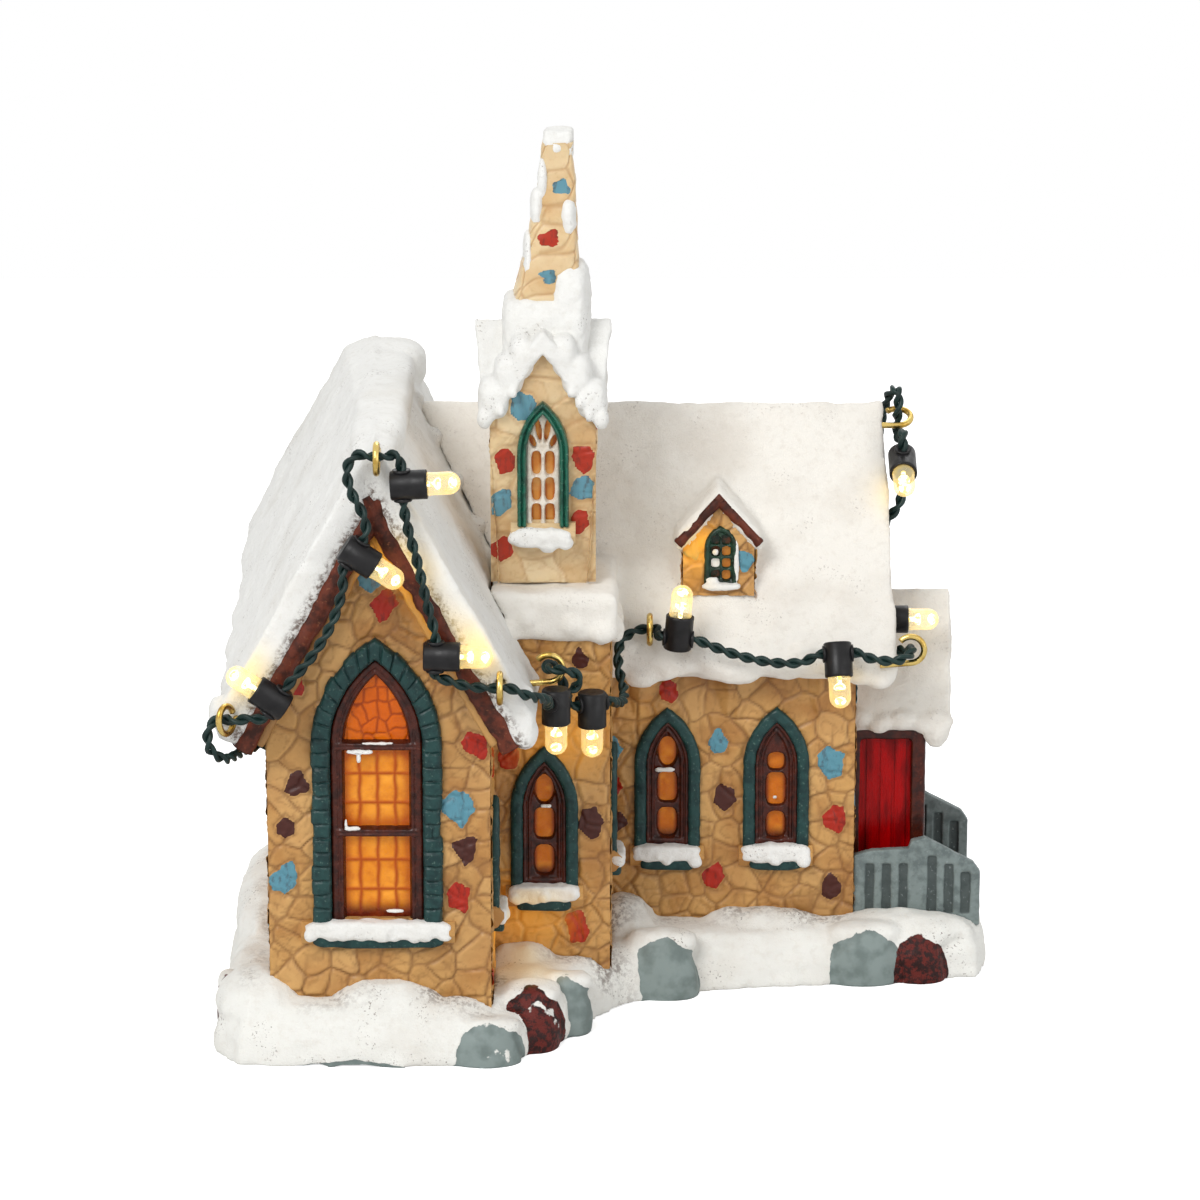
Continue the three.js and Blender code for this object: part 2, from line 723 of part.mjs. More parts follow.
function eyePoints(eye) {
  const out = vector(eye.out).normalize();
  const up = vector(eye.up).normalize();
  const centre = eyeCentre(eye);
  const [from, to] = eye.open ? EYE_OPEN_ARC : EYE_CLOSED_ARC;
  const points = [
    vector(eye.base).addScaledVector(out, -SHANK_DEPTH),
    vector(eye.base).addScaledVector(out, -0.2),
  ];
  for (let angle = from; angle <= to; angle += EYE_BEND) {
    const radians = THREE.MathUtils.degToRad(angle);
    points.push(centre.clone()
      .addScaledVector(out, EYE_RADIUS * Math.cos(radians))
      .addScaledVector(up, EYE_RADIUS * Math.sin(radians)));
  }
  return points;
}

// The hole that an eye's shank is glued into
function shankHole(eye) {
  const out = vector(eye.out).normalize();
  const hole = new THREE.CylinderGeometry(WIRE / 2 + SEAT_GAP, WIRE / 2 + SEAT_GAP, SHANK_DEPTH + 3, 8);
  const turn = new THREE.Quaternion().setFromUnitVectors(new THREE.Vector3(0, 1, 0), out);
  hole.applyQuaternion(turn);
  const middle = vector(eye.base).addScaledVector(out, (3 - SHANK_DEPTH) / 2 - SEAT_GAP);
  return hole.translate(middle.x, middle.y, middle.z);
}

// Window surrounds, frames and panes

// A raised band round a window in a wall that faces the viewer
function surround(window, band, face) {
  const outer = lancet(window);
  outer.holes.push(lancet(inset(window, band, 0.01)));
  return alongY(outer, face - SURROUND_PROUD, face + OVERLAP);
}

// Joints between the stones of the wing window's surround
function stoneJoints(window, band, face) {
  const radius = arcRadius(window);
  const sweep = Math.atan2(window.head, radius - window.half);
  const joints = [];
  const joint = (x, z, angle) => {
    const box = new THREE.BoxGeometry(band + 1.2, STONE_JOINT * 2, STONE_JOINT);
    joints.push(box.rotateY(-angle).translate(x, face - SURROUND_PROUD, z));
  };
  const jambs = Math.round(window.jamb / STONE_PITCH);
  for (let row = 1; row <= jambs; row += 1) {
    const z = window.sill + (row / jambs) * window.jamb;
    joint(window.centre - window.half + band / 2, z, 0);
    joint(window.centre + window.half - band / 2, z, 0);
  }
  const stones = Math.round((radius * sweep) / STONE_PITCH);
  for (let stone = 1; stone < stones; stone += 1) {
    const angle = (stone / stones) * sweep;
    const x = window.half - radius + (radius - band / 2) * Math.cos(angle);
    const z = springOf(window) + (radius - band / 2) * Math.sin(angle);
    joint(window.centre + x, z, angle);
    joint(window.centre - x, z, -angle);
  }
  return joints;
}

// The opening in the wall: open inside the band, wider behind for the pane
function windowCut(window, band, face, depth) {
  const opening = alongY(lancet(inset(window, band, 0.5)), face - SURROUND_PROUD - 1, face + depth + 1);
  const shoulder = face + FRAME_SETBACK + FRAME_THICK;
  const rebate = alongY(lancet(inset(window, band - REBATE, 0.5 - REBATE)), shoulder, face + depth + 1);
  return [opening, rebate];
}

function windowFrame(window, band, width, face, bars) {
  const outer = inset(window, band + SEAT_GAP, 0.5 + SEAT_GAP);
  const inner = inset(window, band + width, 0.5 + width);
  const middle = inset(window, band + width * 0.55, 0.5 + width * 0.55);
  const front = face + FRAME_SETBACK;
  const rim = lancet(outer);
  rim.holes.push(lancet(middle));
  const bead = lancet({ ...middle, half: middle.half + 0.05 });
  bead.holes.push(lancet(inner));
  const arch = solid(alongY(lancet(middle), front, front + FRAME_THICK));
  const tracery = join(...bars.map(({ x, z, width: across, height }) => block(
    [x - across / 2, front + FRAME_STEP, z - height / 2],
    [x + across / 2, front + FRAME_THICK, z + height / 2],
  )));
  const ring = join(
    alongY(rim, front, front + FRAME_THICK),
    alongY(bead, front + FRAME_STEP, front + FRAME_THICK),
  );
  return ring.add(tracery.intersect(arch));
}

function windowPane(window, band, face) {
  const edge = inset(window, band - REBATE + SEAT_GAP, 0.5 - REBATE + SEAT_GAP);
  const front = face + FRAME_SETBACK + FRAME_THICK + SEAT_GAP;
  return alongY(lancet(edge), front, front + PANE_THICK);
}

// A sloping ledge under a window
function ledge(centre, half, top, face) {
  const profile = polygon([
    [face + OVERLAP, top - 5.4],
    [face - 1.6, top - 4.6],
    [face - 3, top - 2.6],
    [face - 3, top - 1.4],
    [face - 1.2, top],
    [face + OVERLAP, top],
  ]);
  return alongX(profile, centre - half, centre + half);
}

// Turns what is drawn on a wall that faces the viewer onto a wall that faces right
function ontoRightWall(geometry, wallX, centreY) {
  return geometry.rotateZ(Math.PI / 2).translate(wallX, centreY, 0);
}

// Castings

function groundOutline() {
  const right = GROUND_HALF_LENGTH;
  return polygon([
    [-right + 6, GROUND_FRONT + 1.4],
    [-54, GROUND_FRONT],
    [-31, GROUND_FRONT + 0.8],
    [-12, GROUND_FRONT + 20],
    [4, GROUND_FRONT + 40],
    [18, GROUND_FRONT + 49],
    [48, GROUND_FRONT + 53],
    [right - 3, GROUND_FRONT + 59],
    [right, GROUND_FRONT + 66],
    [right, GROUND_BACK - 8],
    [right - 7, GROUND_BACK],
    [-right + 8, GROUND_BACK],
    [-right, GROUND_BACK - 8],
    [-right, GROUND_FRONT + 10],
  ]);
}

// Half of a bevelled slab, so that the bank leans in from the foot to the top
function groundSlab() {
  const bank = new THREE.ExtrudeGeometry(groundOutline(), {
    depth: 2, bevelEnabled: true, bevelThickness: GROUND_TOP - 1, bevelSize: GROUND_BANK,
    bevelOffset: -GROUND_BANK, bevelSegments: 4, curveSegments: 4,
  });
  const above = block([-200, -200, 0], [200, 200, 100]);
  return solid(bank.translate(0, 0, -1)).intersect(solid(above));
}

function mound([x, y, z], [rx, ry, rz], detail = 9) {
  return new THREE.SphereGeometry(1, detail, Math.ceil(detail / 2) + 1)
    .rotateX(Math.PI / 2).scale(rx, ry, rz).translate(x, y, z);
}

function rock([x, y, z], [rx, ry, rz], turn) {
  return new THREE.IcosahedronGeometry(1, 1).rotateZ(turn).rotateX(turn * 0.7)
    .scale(rx, ry, rz).translate(x, y, z);
}

// The plan of the walls: wing, nave and tower base, grown by a clearance
function wallPlan(grow) {
  const wing = rectangle(WING_CENTRE, (WING_FRONT + NAVE_BACK) / 2, WING_HALF + grow,
    (NAVE_BACK - WING_FRONT) / 2 + grow);
  const nave = rectangle((WING_CENTRE + NAVE_RIGHT) / 2, NAVE_AXIS, (NAVE_RIGHT - WING_CENTRE) / 2 + grow,
    NAVE_DEPTH / 2 + grow);
  const tower = rectangle(TOWER_CENTRE, (TOWER_FRONT + NAVE_FRONT) / 2, TOWER_HALF + grow,
    (NAVE_FRONT - TOWER_FRONT) / 2 + grow);
  return [wing, nave, tower];
}

function switchPlace() {
  const y = BOX_CENTRE[1] - BOX_OUTER[1] / 2 - SLIDER[1] / 2 - SWITCH_WALL - 1.2;
  return [BOX_CENTRE[0], y];
}

function switchOuter() {
  return [SLIDER[0] + 2 * SLIDER_TRAVEL + 2 * SLIDING_GAP + 2 * SWITCH_WALL,
    SLIDER[1] + 2 * SLIDING_GAP + 2 * SWITCH_WALL];
}

// Low and high Y of the battery box's flange, switch housing included
function flangeSpan() {
  const back = BOX_CENTRE[1] + BOX_OUTER[1] / 2 + BOX_FLANGE;
  const front = switchPlace()[1] - switchOuter()[1] / 2 - BOX_FLANGE / 2;
  return [front, back];
}

function batteryOpening() {
  const [front, back] = flangeSpan();
  const middle = (front + back) / 2;
  const halfX = BOX_OUTER[0] / 2;
  const plate = rectangle(
    BOX_CENTRE[0], middle, halfX + BOX_FLANGE + SEAT_GAP, (back - front) / 2 + SEAT_GAP);
  const well = rectangle(BOX_CENTRE[0], (front + BOX_FLANGE / 2 + back - BOX_FLANGE) / 2,
    halfX + SEAT_GAP, (back - front - 1.5 * BOX_FLANGE) / 2 + SEAT_GAP);
  const plateTop = COVER_RECESS + COVER_THICK + SEAT_GAP;
  return [alongZ(plate, -1, plateTop), alongZ(well, -1, GROUND_TOP + 20)];
}

function groundCasting() {
  const drifts = join(
    mound([-76, -42, 10], [10, 12, 8]),
    mound([-48, -46, 10.4], [13, 7.6, 6.6]),
    mound([-20, -19, 10], [9, 8, 6]),
    mound([3, 3, 10], [8, 10, 9]),
    mound([34, 6, 10], [16, 7, 5.4]),
    mound([66, 6, 10], [17, 7, 4.6]),
    mound([76, 30, 10], [9.6, 22, 4]),
    mound([-78, 26, 10], [7.6, 36, 8.6]),
    mound([-20, 56, 10], [46, 5, 5]),
  );
  const rocks = join(
    rock([-26.6, GROUND_FRONT + 4.6, 0.6], [7.4, 5, 7.6], 0.3),
    rock([-17, GROUND_FRONT + 14.6, 2], [6.4, 6, 10], 0.6),
    rock([-9.6, GROUND_FRONT + 24, 3], [5.6, 5, 8.6], 1.9),
    rock([11.6, GROUND_FRONT + 47, 2.6], [7.6, 4.6, 10.6], 0.2),
    rock([57, GROUND_FRONT + 56, 2], [8, 4, 9.8], 1.1),
    rock([68.6, GROUND_FRONT + 57.4, 1.6], [6.4, 3.6, 8.4], 2.3),
    rock([-GROUND_HALF_LENGTH + 2.4, GROUND_FRONT + 22, 5], [2.2, 6, 7], 0.4),
  );
  const within = solid(block(
    [-GROUND_HALF_LENGTH, GROUND_FRONT, 0],
    [GROUND_HALF_LENGTH, GROUND_BACK, 40],
  ));
  const raised = groundSlab().add(drifts).add(rocks).intersect(within);
  const pockets = wallPlan(SEAT_GAP).map((plan) => alongZ(plan, WALL_POCKET, 60));
  const porchHalf = LANDING_HALF + RAIL_THICK + SEAT_GAP;
  const porchLength = LANDING_LENGTH + STEP_LENGTH + 1 + SEAT_GAP;
  const porch = [
    [NAVE_RIGHT - 1, NAVE_AXIS - porchHalf, GROUND_TOP - 3],
    [NAVE_RIGHT + porchLength, NAVE_AXIS + porchHalf, 60],
  ];
  return largest(cut(raised, ...pockets, block(...porch), ...batteryOpening()));
}

function wingWalls(inward, foot) {
  const lower = SEAT_GAP * steep(WING_PITCH) + inward * steep(WING_PITCH);
  const outline = gable(WING_CENTRE, WING_HALF - inward, foot, WING_INNER - lower, WING_PITCH);
  return alongY(outline, WING_FRONT + inward, NAVE_BACK - inward);
}

function naveWalls(inward, foot, left) {
  const lower = SEAT_GAP * steep(NAVE_PITCH) + inward * steep(NAVE_PITCH);
  const outline = gable(NAVE_AXIS, NAVE_DEPTH / 2 - inward, foot, NAVE_INNER - lower, NAVE_PITCH);
  return alongX(outline, left, NAVE_RIGHT - inward);
}

function towerWalls(inward, foot, top) {
  return block(
    [TOWER_CENTRE - TOWER_HALF + inward, TOWER_FRONT + inward, foot],
    [TOWER_CENTRE + TOWER_HALF - inward, NAVE_FRONT + 1 + Math.abs(inward), top],
  );
}

function naveWindows() {
  return [0, 1].map((place) => ({
    ...NAVE_WINDOW, centre: NAVE_WINDOW.centre + place * NAVE_WINDOW_PITCH,
  }));
}

// A blind window with its ledge on a wall that faces right
function sideWindow(wallX, centreY, sill) {
  const window = { ...BLIND_WINDOW, sill };
  const band = ontoRightWall(surround(window, 1.4, 0), wallX, centreY);
  const shelf = ontoRightWall(ledge(0, window.half + 1, sill + 1, 0), wallX, centreY);
  const recess = alongY(lancet(inset(window, 1.4, 1)), -SURROUND_PROUD - 1, 1.2);
  return { raised: [band, shelf], recess: ontoRightWall(recess, wallX, centreY) };
}

function wallCasting() {
  const outer = join(
    wingWalls(0, WALL_FOOT),
    naveWalls(0, WALL_FOOT, NAVE_LEFT - OVERLAP),
    towerWalls(0, WALL_FOOT, TOWER_TOP),
  );
  const room = join(
    wingWalls(WALL, 0),
    naveWalls(WALL, 0, NAVE_LEFT - WALL - 1),
    towerWalls(WALL, 0, TOWER_TOP - WALL),
  );
  const lancets = naveWindows();
  const sides = [sideWindow(NAVE_LEFT, -33, 29), sideWindow(TOWER_CENTRE + TOWER_HALF, -6, 33)];
  const raised = join(
    surround(WING_WINDOW, WING_BAND, WING_FRONT),
    surround(TOWER_WINDOW, LANCET_BAND, TOWER_FRONT),
    ...lancets.map((window) => surround(window, LANCET_BAND, NAVE_FRONT)),
    ledge(WING_WINDOW.centre, WING_WINDOW.half + 3.2, WING_WINDOW.sill, WING_FRONT),
    ledge(TOWER_WINDOW.centre, TOWER_WINDOW.half + 1.6, TOWER_WINDOW.sill, TOWER_FRONT),
    ...lancets.map((window) => ledge(window.centre, window.half + 1.4, window.sill, NAVE_FRONT)),
    ...sides.flatMap((side) => side.raised),
  );
  const wellHalf = LIGHT_WELL_HALF;
  const [wellX, wellY] = SHAFT_CENTRE;
  const shell = cut(
    outer.add(raised).subtract(room),
    ...windowCut(WING_WINDOW, WING_BAND, WING_FRONT, WALL),
    ...windowCut(TOWER_WINDOW, LANCET_BAND, TOWER_FRONT, WALL),
    ...lancets.flatMap((window) => windowCut(window, LANCET_BAND, NAVE_FRONT, WALL)),
    ...sides.map((side) => side.recess),
    ...stoneJoints(WING_WINDOW, WING_BAND, WING_FRONT),
    alongZ(rectangle(wellX, wellY, wellHalf, wellHalf), TOWER_TOP - WALL - 1, TOWER_TOP + 1),
    wireHole('x', WING_CENTRE - WING_HALF, LEFT_HOLE),
    wireHole('y', NAVE_BACK, BACK_HOLE),
  );
  return largest(shell);
}

// A round hole that the cord passes through, in a wall square to the given axis
function wireHole(axis, face, [along, height]) {
  const hole = new THREE.CylinderGeometry(WIRE_HOLE / 2, WIRE_HOLE / 2, 3 * WALL, 10);
  if (axis === 'x') {
    return hole.rotateZ(Math.PI / 2).translate(face, along, height);
  }
  return hole.translate(along, face, height);
}

// Brown boards under the snow at the wing's front verge
function vergeBoards() {
  const front = WING_VERGE_FACE + BOARD_SETBACK;
  const drop = rise(BOARD_DEPTH, WING_PITCH);
  const reach = WING_REACH - WING_ROOF.foot;
  const shape = polygon([
    [WING_CENTRE - reach, WING_INNER - WING_PITCH * reach + OVERLAP],
    [WING_CENTRE - reach + 1.4, WING_INNER - WING_PITCH * reach - 1.6],
    [WING_CENTRE, WING_INNER - drop],
    [WING_CENTRE + reach - 1.4, WING_INNER - WING_PITCH * reach - 1.6],
    [WING_CENTRE + reach, WING_INNER - WING_PITCH * reach + OVERLAP],
    [WING_CENTRE, WING_INNER + OVERLAP],
  ]);
  return alongY(shape, front, front + BOARD_THICK);
}

function wingRoof() {
  const keepOut = block(
    [NAVE_LEFT - OVERLAP - SEAT_GAP, TOWER_FRONT - SEAT_GAP, 0],
    [BEYOND, BEYOND, BEYOND],
  );
  const eyes = ['ridge_eye', 'left_eave_eye', 'right_eave_eye', 'tower_hook'];
  const body = join(snowRoof(WING_ROOF), vergeBoards());
  return largest(cut(body, keepOut, ...eyes.map((name) => shankHole(EYES[name]))));
}

// Snow in the valley between the two roofs, solid down to the wing's slope
function valleySnow() {
  const outline = gable(NAVE_AXIS, NAVE_REACH - VALLEY_INSET, VALLEY_FOOT, NAVE_RIDGE - 2, NAVE_PITCH);
  return alongX(outline, WING_CENTRE, NAVE_LEFT);
}

function towerCap() {
  const shape = rectangle(TOWER_CENTRE, (TOWER_FRONT + CAP_BACK) / 2, TOWER_HALF - 0.6,
    (CAP_BACK - TOWER_FRONT) / 2);
  const cap = new THREE.ExtrudeGeometry(shape, {
    depth: CAP_TOP - TOWER_TOP - SEAT_GAP - 4, bevelEnabled: true, bevelThickness: 2, bevelSize: 2.4,
    bevelSegments: 3,
  });
  return cap.translate(0, 0, TOWER_TOP + SEAT_GAP + 2);
}

function dormerBody() {
  const peak = DORMER_PEAK - rise(DORMER_ROOF, DORMER_PITCH) + OVERLAP;
  const face = gable(DORMER_CENTRE, DORMER_HALF, DORMER_FOOT, peak, DORMER_PITCH);
  const walls = alongY(face, NAVE_FRONT, NAVE_AXIS);
  const reach = DORMER_REACH;
  const drop = rise(DORMER_ROOF, DORMER_PITCH);
  const eave = DORMER_PEAK - DORMER_PITCH * reach;
  const roof = polygon([
    [DORMER_CENTRE - reach, eave - drop * 0.8],
    [DORMER_CENTRE - reach + 1.2, eave - drop],
    [DORMER_CENTRE, DORMER_PEAK - drop],
    [DORMER_CENTRE + reach - 1.2, eave - drop],
    [DORMER_CENTRE + reach, eave - drop * 0.8],
    [DORMER_CENTRE + reach - 0.6, eave + 1],
    [DORMER_CENTRE, DORMER_PEAK],
    [DORMER_CENTRE - reach + 0.6, eave + 1],
  ]);
  return [walls, alongY(roof, NAVE_FRONT - 2, NAVE_AXIS)];
}

function naveRoof() {
  const wing = snowRoof({ ...WING_ROOF }, SEAT_GAP, { foot: 0 });
  const attic = naveWalls(-SEAT_GAP, -BEYOND, NAVE_LEFT - OVERLAP - SEAT_GAP);
  const lowTower = towerWalls(-SEAT_GAP, 0, TOWER_TOP + SEAT_GAP);
  const upper = join(snowRoof(NAVE_ROOF), valleySnow(), towerCap(), ...dormerBody());
  const eyes = ['nave_left_eye', 'nave_right_hook', 'nave_ridge_hook'];
  const half = LIGHT_WELL_HALF;
  const body = cut(
    upper,
    wing,
    attic,
    lowTower,
    alongZ(rectangle(...SHAFT_CENTRE, half, half), TOWER_TOP - 1, CAP_TOP + 1),
    alongY(lancet(DORMER_WINDOW), NAVE_FRONT - 1, NAVE_FRONT + DORMER_RECESS),
    ...eyes.map((name) => shankHole(EYES[name])),
  );
  return largest(body);
}

function dormerWindow() {
  const outer = inset(DORMER_WINDOW, SEAT_GAP);
  const front = NAVE_FRONT + 0.3;
  const rim = lancet(outer);
  rim.holes.push(lancet(inset(outer, 1)));
  const spring = springOf(outer);
  const half = outer.half + 1;
  const bar = (low, high) => block([low[0], front + 0.4, low[1]], [high[0], front + 1.4, high[1]]);
  const across = (z) => bar([outer.centre - half, z - 0.4], [outer.centre + half, z + 0.4]);
  const bars = join(
    bar([outer.centre - 0.4, outer.sill], [outer.centre + 0.4, peakOf(outer)]),
    across((outer.sill + spring) / 2),
    across(spring),
  );
  const glass = alongY(lancet(inset(outer, 0.2)), front + 1, front + DORMER_RECESS - 2 * SEAT_GAP);
  const arch = solid(alongY(lancet(outer), front, front + 1.4));
  return join(alongY(rim, front, front + 1.4), glass).add(bars.intersect(arch));
}

function shaftGable(grow, reach) {
  const lower = SHAFT_INNER - grow * steep(SHAFT_PITCH);
  const [x, y] = SHAFT_CENTRE;
  return solid(alongY(gable(x, reach, 0, lower, SHAFT_PITCH), y - reach, y + reach))
    .add(solid(alongX(gable(y, reach, 0, lower, SHAFT_PITCH), x - reach, x + reach)));
}

// A square tapering body through sections given by centre X, half width and height
function squareBody(sections) {
  const outlines = sections.map(([, half]) => [[-half, -half], [half, -half], [half, half], [-half, half]]);
  return loft(outlines, (x, y, step) => [sections[step][0] + x, SHAFT_CENTRE[1] + y, sections[step][2]]);
}

function towerShaft() {
  const body = squareBody([
    [SHAFT_CENTRE[0], SHAFT_HALF_FOOT, SHAFT_FOOT],
    [SHAFT_CENTRE[0], SHAFT_HALF_TOP, springOf(SHAFT_WINDOW)],
    [SHAFT_CENTRE[0], SHAFT_HALF_TOP, SHAFT_RIDGE],
  ]);
  const half = SHAFT_HALF_FOOT - WALL;
  const face = SHAFT_FRONT;
  const raised = join(
    surround(SHAFT_WINDOW, SHAFT_WINDOW_BAND, face),
    ledge(SHAFT_WINDOW.centre, SHAFT_WINDOW.half + 1.6, SHAFT_WINDOW.sill + 0.6, face + 0.4),
  );
  const hollow = block(
    [SHAFT_CENTRE[0] - half, SHAFT_CENTRE[1] - half, 0],
    [SHAFT_CENTRE[0] + half, SHAFT_CENTRE[1] + half, peakOf(SHAFT_WINDOW) + 2],
  );
  const depth = SHAFT_HALF_TOP - half;
  return largest(cut(
    solid(body).intersect(shaftGable(SEAT_GAP, 40)).add(raised),
    hollow,
    ...windowCut(SHAFT_WINDOW, SHAFT_WINDOW_BAND, face, depth),
  ));
}

function towerRoof() {
  const outer = join(
    snowRoof(shaftRoofAlong('y'), 0, { foot: SHAFT_EAVE }),
    snowRoof(shaftRoofAlong('x'), 0, { foot: SHAFT_EAVE }),
  );
  return largest(outer.subtract(shaftGable(0, 40)));
}

function spire() {
  const foot = SHAFT_RIDGE - 16;
  const section = (z, extra) => {
    const part = Math.max(0, (z - SHAFT_RIDGE) / (SPIRE_TOP - SHAFT_RIDGE));
    const half = SPIRE_HALF_FOOT + (SPIRE_HALF_TOP - SPIRE_HALF_FOOT) * part + extra;
    return [SHAFT_CENTRE[0] + SPIRE_LEAN * part, half, z];
  };
  const stone = squareBody([
    section(foot, 0),
    section(SHAFT_RIDGE, 0),
    section(SHAFT_RIDGE + 20, -0.3),
    section(SPIRE_TOP - 3, 0),
  ]);
  const skirt = squareBody([
    section(foot, 0.8),
    section(SHAFT_RIDGE, 0.9),
    section(SHAFT_RIDGE + 7, 1),
    section(SHAFT_RIDGE + 10.5, -0.6),
  ]);
  const cap = squareBody([
    section(SPIRE_TOP - 6, -0.4),
    section(SPIRE_TOP - 4.6, 0.5),
    section(SPIRE_TOP - 0.8, 0.5),
    section(SPIRE_TOP, -0.4),
  ]);
  const roof = join(
    snowRoof(shaftRoofAlong('y'), SEAT_GAP, { foot: 0 }),
    snowRoof(shaftRoofAlong('x'), SEAT_GAP, { foot: 0 }),
  );
  return largest(join(stone, skirt, cap).subtract(roof));
}

// Porch

function porchFrame() {
  const left = NAVE_RIGHT + SEAT_GAP;
  const right = PORCH_RIGHT;
  const front = NAVE_AXIS - PORCH_HALF;
  const back = NAVE_AXIS + PORCH_HALF;
  const foot = PORCH_FLOOR + SEAT_GAP;
  const lower = PORCH_INNER - SEAT_GAP * steep(PORCH_PITCH);
  const shell = solid(alongX(gable(NAVE_AXIS, PORCH_HALF, foot, lower, PORCH_PITCH), left, right));
  const eave = lower - PORCH_PITCH * PORCH_HALF;
  const bay = (y0, y1) => block(
    [left + POST * 0.6, y0, foot + POST], [right - POST * 1.2, y1, eave - BEAM]);
  const peak = lower - rise(PORCH_WALL, PORCH_PITCH);
  const room = gable(NAVE_AXIS, PORCH_HALF - PORCH_WALL, foot - 1, peak, PORCH_PITCH);
  return largest(cut(
    shell,
    alongX(room, left - 1, right - PORCH_WALL),
    bay(front - 1, front + PORCH_WALL + 1),
    bay(back - PORCH_WALL - 1, back + 1),
    block(
      [right - PORCH_WALL - 1, front + POST + 1, foot + POST * 0.4],
      [right + 1, back - POST - 1, eave - BEAM],
    ),
  ));
}

// Snow on the porch; it hangs lower at the two outer corners
function porchRoof() {
  const x = PORCH_RIGHT + PORCH_VERGE - PORCH_DRIP[0];
  const z = PORCH_RIDGE - PORCH_PITCH * PORCH_REACH - PORCH_DRIP[2] / 2;
  const drips = [-1, 1].map((side) => (
    mound([x, NAVE_AXIS + side * (PORCH_REACH - 0.4), z], PORCH_DRIP)));
  const keepOut = block(
    [NAVE_RIGHT - 1, NAVE_AXIS - PORCH_HALF - SEAT_GAP, 0],
    [PORCH_RIGHT + SEAT_GAP, NAVE_AXIS + PORCH_HALF + SEAT_GAP, z + PORCH_DRIP[2]],
  );
  return drips.reduce((roof, drip) => roof.add(cut(solid(drip), keepOut)), solid(snowRoof(PORCH_ROOF)));
}

// Red boards inside the frame on three sides, grooved on their faces
function porchBoards() {
  const left = NAVE_RIGHT + 2 * SEAT_GAP;
  const right = PORCH_RIGHT - PORCH_WALL - SEAT_GAP;
  const front = NAVE_AXIS - PORCH_HALF + PORCH_WALL + SEAT_GAP;
  const back = NAVE_AXIS + PORCH_HALF - PORCH_WALL - SEAT_GAP;
  const foot = PORCH_FLOOR + SEAT_GAP;
  const lower = PORCH_INNER - SEAT_GAP * steep(PORCH_PITCH);
  const top = lower - PORCH_PITCH * PORCH_HALF - SEAT_GAP;
  const inner = 1.8;
  const grooves = [];
  const groove = BOARD_GROOVE;
  for (let x = left + POST; x < right - 1; x += BOARD_PITCH) {
    grooves.push(block([x - groove, front - 1, foot - 1], [x + groove, front + groove, top + 1]));
    grooves.push(block([x - groove, back - groove, foot - 1], [x + groove, back + 1, top + 1]));
  }
  for (let y = front + BOARD_PITCH; y < back - 1; y += BOARD_PITCH) {
    grooves.push(block([right - groove, y - groove, foot - 1], [right + 1, y + groove, top + 1]));
  }
  return cut(
    solid(block([left, front, foot], [right, back, top])),
    block([left - 1, front + inner, foot - 1], [right - inner, back - inner, top + 1]),
    ...grooves,
  );
}

function entranceSteps() {
  const left = NAVE_RIGHT + SEAT_GAP;
  const foot = GROUND_TOP - 3 + SEAT_GAP;
  const [front, back] = [NAVE_AXIS - LANDING_HALF, NAVE_AXIS + LANDING_HALF];
  const stairs = [0, 1].map((step) => block(
    [left, front, foot],
    [NAVE_RIGHT + LANDING_LENGTH + step * STEP_LENGTH, back, PORCH_FLOOR - step * STEP_RISE],
  ));
  return join(...stairs);
}

// One balustrade: a level run beside the porch, then a run that falls with the steps
function balustrade(face, outward) {
  const left = NAVE_RIGHT + SEAT_GAP;
  const bend = NAVE_RIGHT + RAIL_BEND;
  const end = NAVE_RIGHT + LANDING_LENGTH + STEP_LENGTH + 1;
  const foot = GROUND_TOP - 3 + SEAT_GAP;
  const top = RAIL_TOP + 2.6;
  const [from, to] = outward < 0 ? [face - RAIL_THICK, face] : [face, face + RAIL_THICK];
  const run = polygon([
    [left, foot],
    [end, foot],
    [end, top - RAIL_FALL - 1.4],
    [end - 1.6, top - RAIL_FALL + 0.8],
    [bend, top],
    [bend - RAIL_POST, top - 0.8],
    [bend - RAIL_POST - 0.6, RAIL_TOP],
    [left + 4.4, RAIL_TOP - 0.4],
    [left, RAIL_TOP - 1.6],
  ]);
  const depth = 0.5;
  const gaps = [];
  const outer = outward < 0 ? [from - 1, from + depth] : [to - depth, to + 1];
  const inner = outward < 0 ? [to - depth, to + 1] : [from - 1, from + depth];
  const width = SLAT_PITCH * 0.6;
  const level = (x, z) => gaps.push(...[outer, inner].map(([low, high]) => (
    block([x, low, foot + 4.6 - RAIL_FALL * 0.3], [x + width, high, z]))));
  for (let x = bend - RAIL_POST - 0.6 - width; x > left + 0.6; x -= SLAT_PITCH) {
    level(x, RAIL_TOP - 3.4);
  }
  for (let x = bend + 0.6; x + width < end - 0.4; x += SLAT_PITCH) {
    level(x, top - 2.6 - RAIL_FALL * ((x + width - bend) / (end - bend)));
  }
  return cut(solid(alongY(run, from, to)), ...gaps);
}

// Lamp chain pieces

function socketGeometry() {
  const radius = SOCKET / 2;
  const half = SOCKET_LENGTH / 2;
  const pocket = LENS_PLUG / 2 + SEAT_GAP;
  const floor = half - PLUG_DEPTH - SEAT_GAP;
  const profile = [
    [0, -half], [radius - 0.5, -half], [radius, -half + 0.5], [radius, half],
    [pocket, half], [pocket, floor], [0, floor],
  ].map(([x, y]) => new THREE.Vector2(x, y));
  const body = new THREE.LatheGeometry(profile, 12).rotateX(Math.PI / 2);
  const bore = new THREE.CylinderGeometry(SOCKET_BORE / 2, SOCKET_BORE / 2, SOCKET * 2, 8)
    .rotateZ(Math.PI / 2).translate(0, 0, -BORE_SETBACK);
  return geometryOf(cut(solid(body), bore));
}

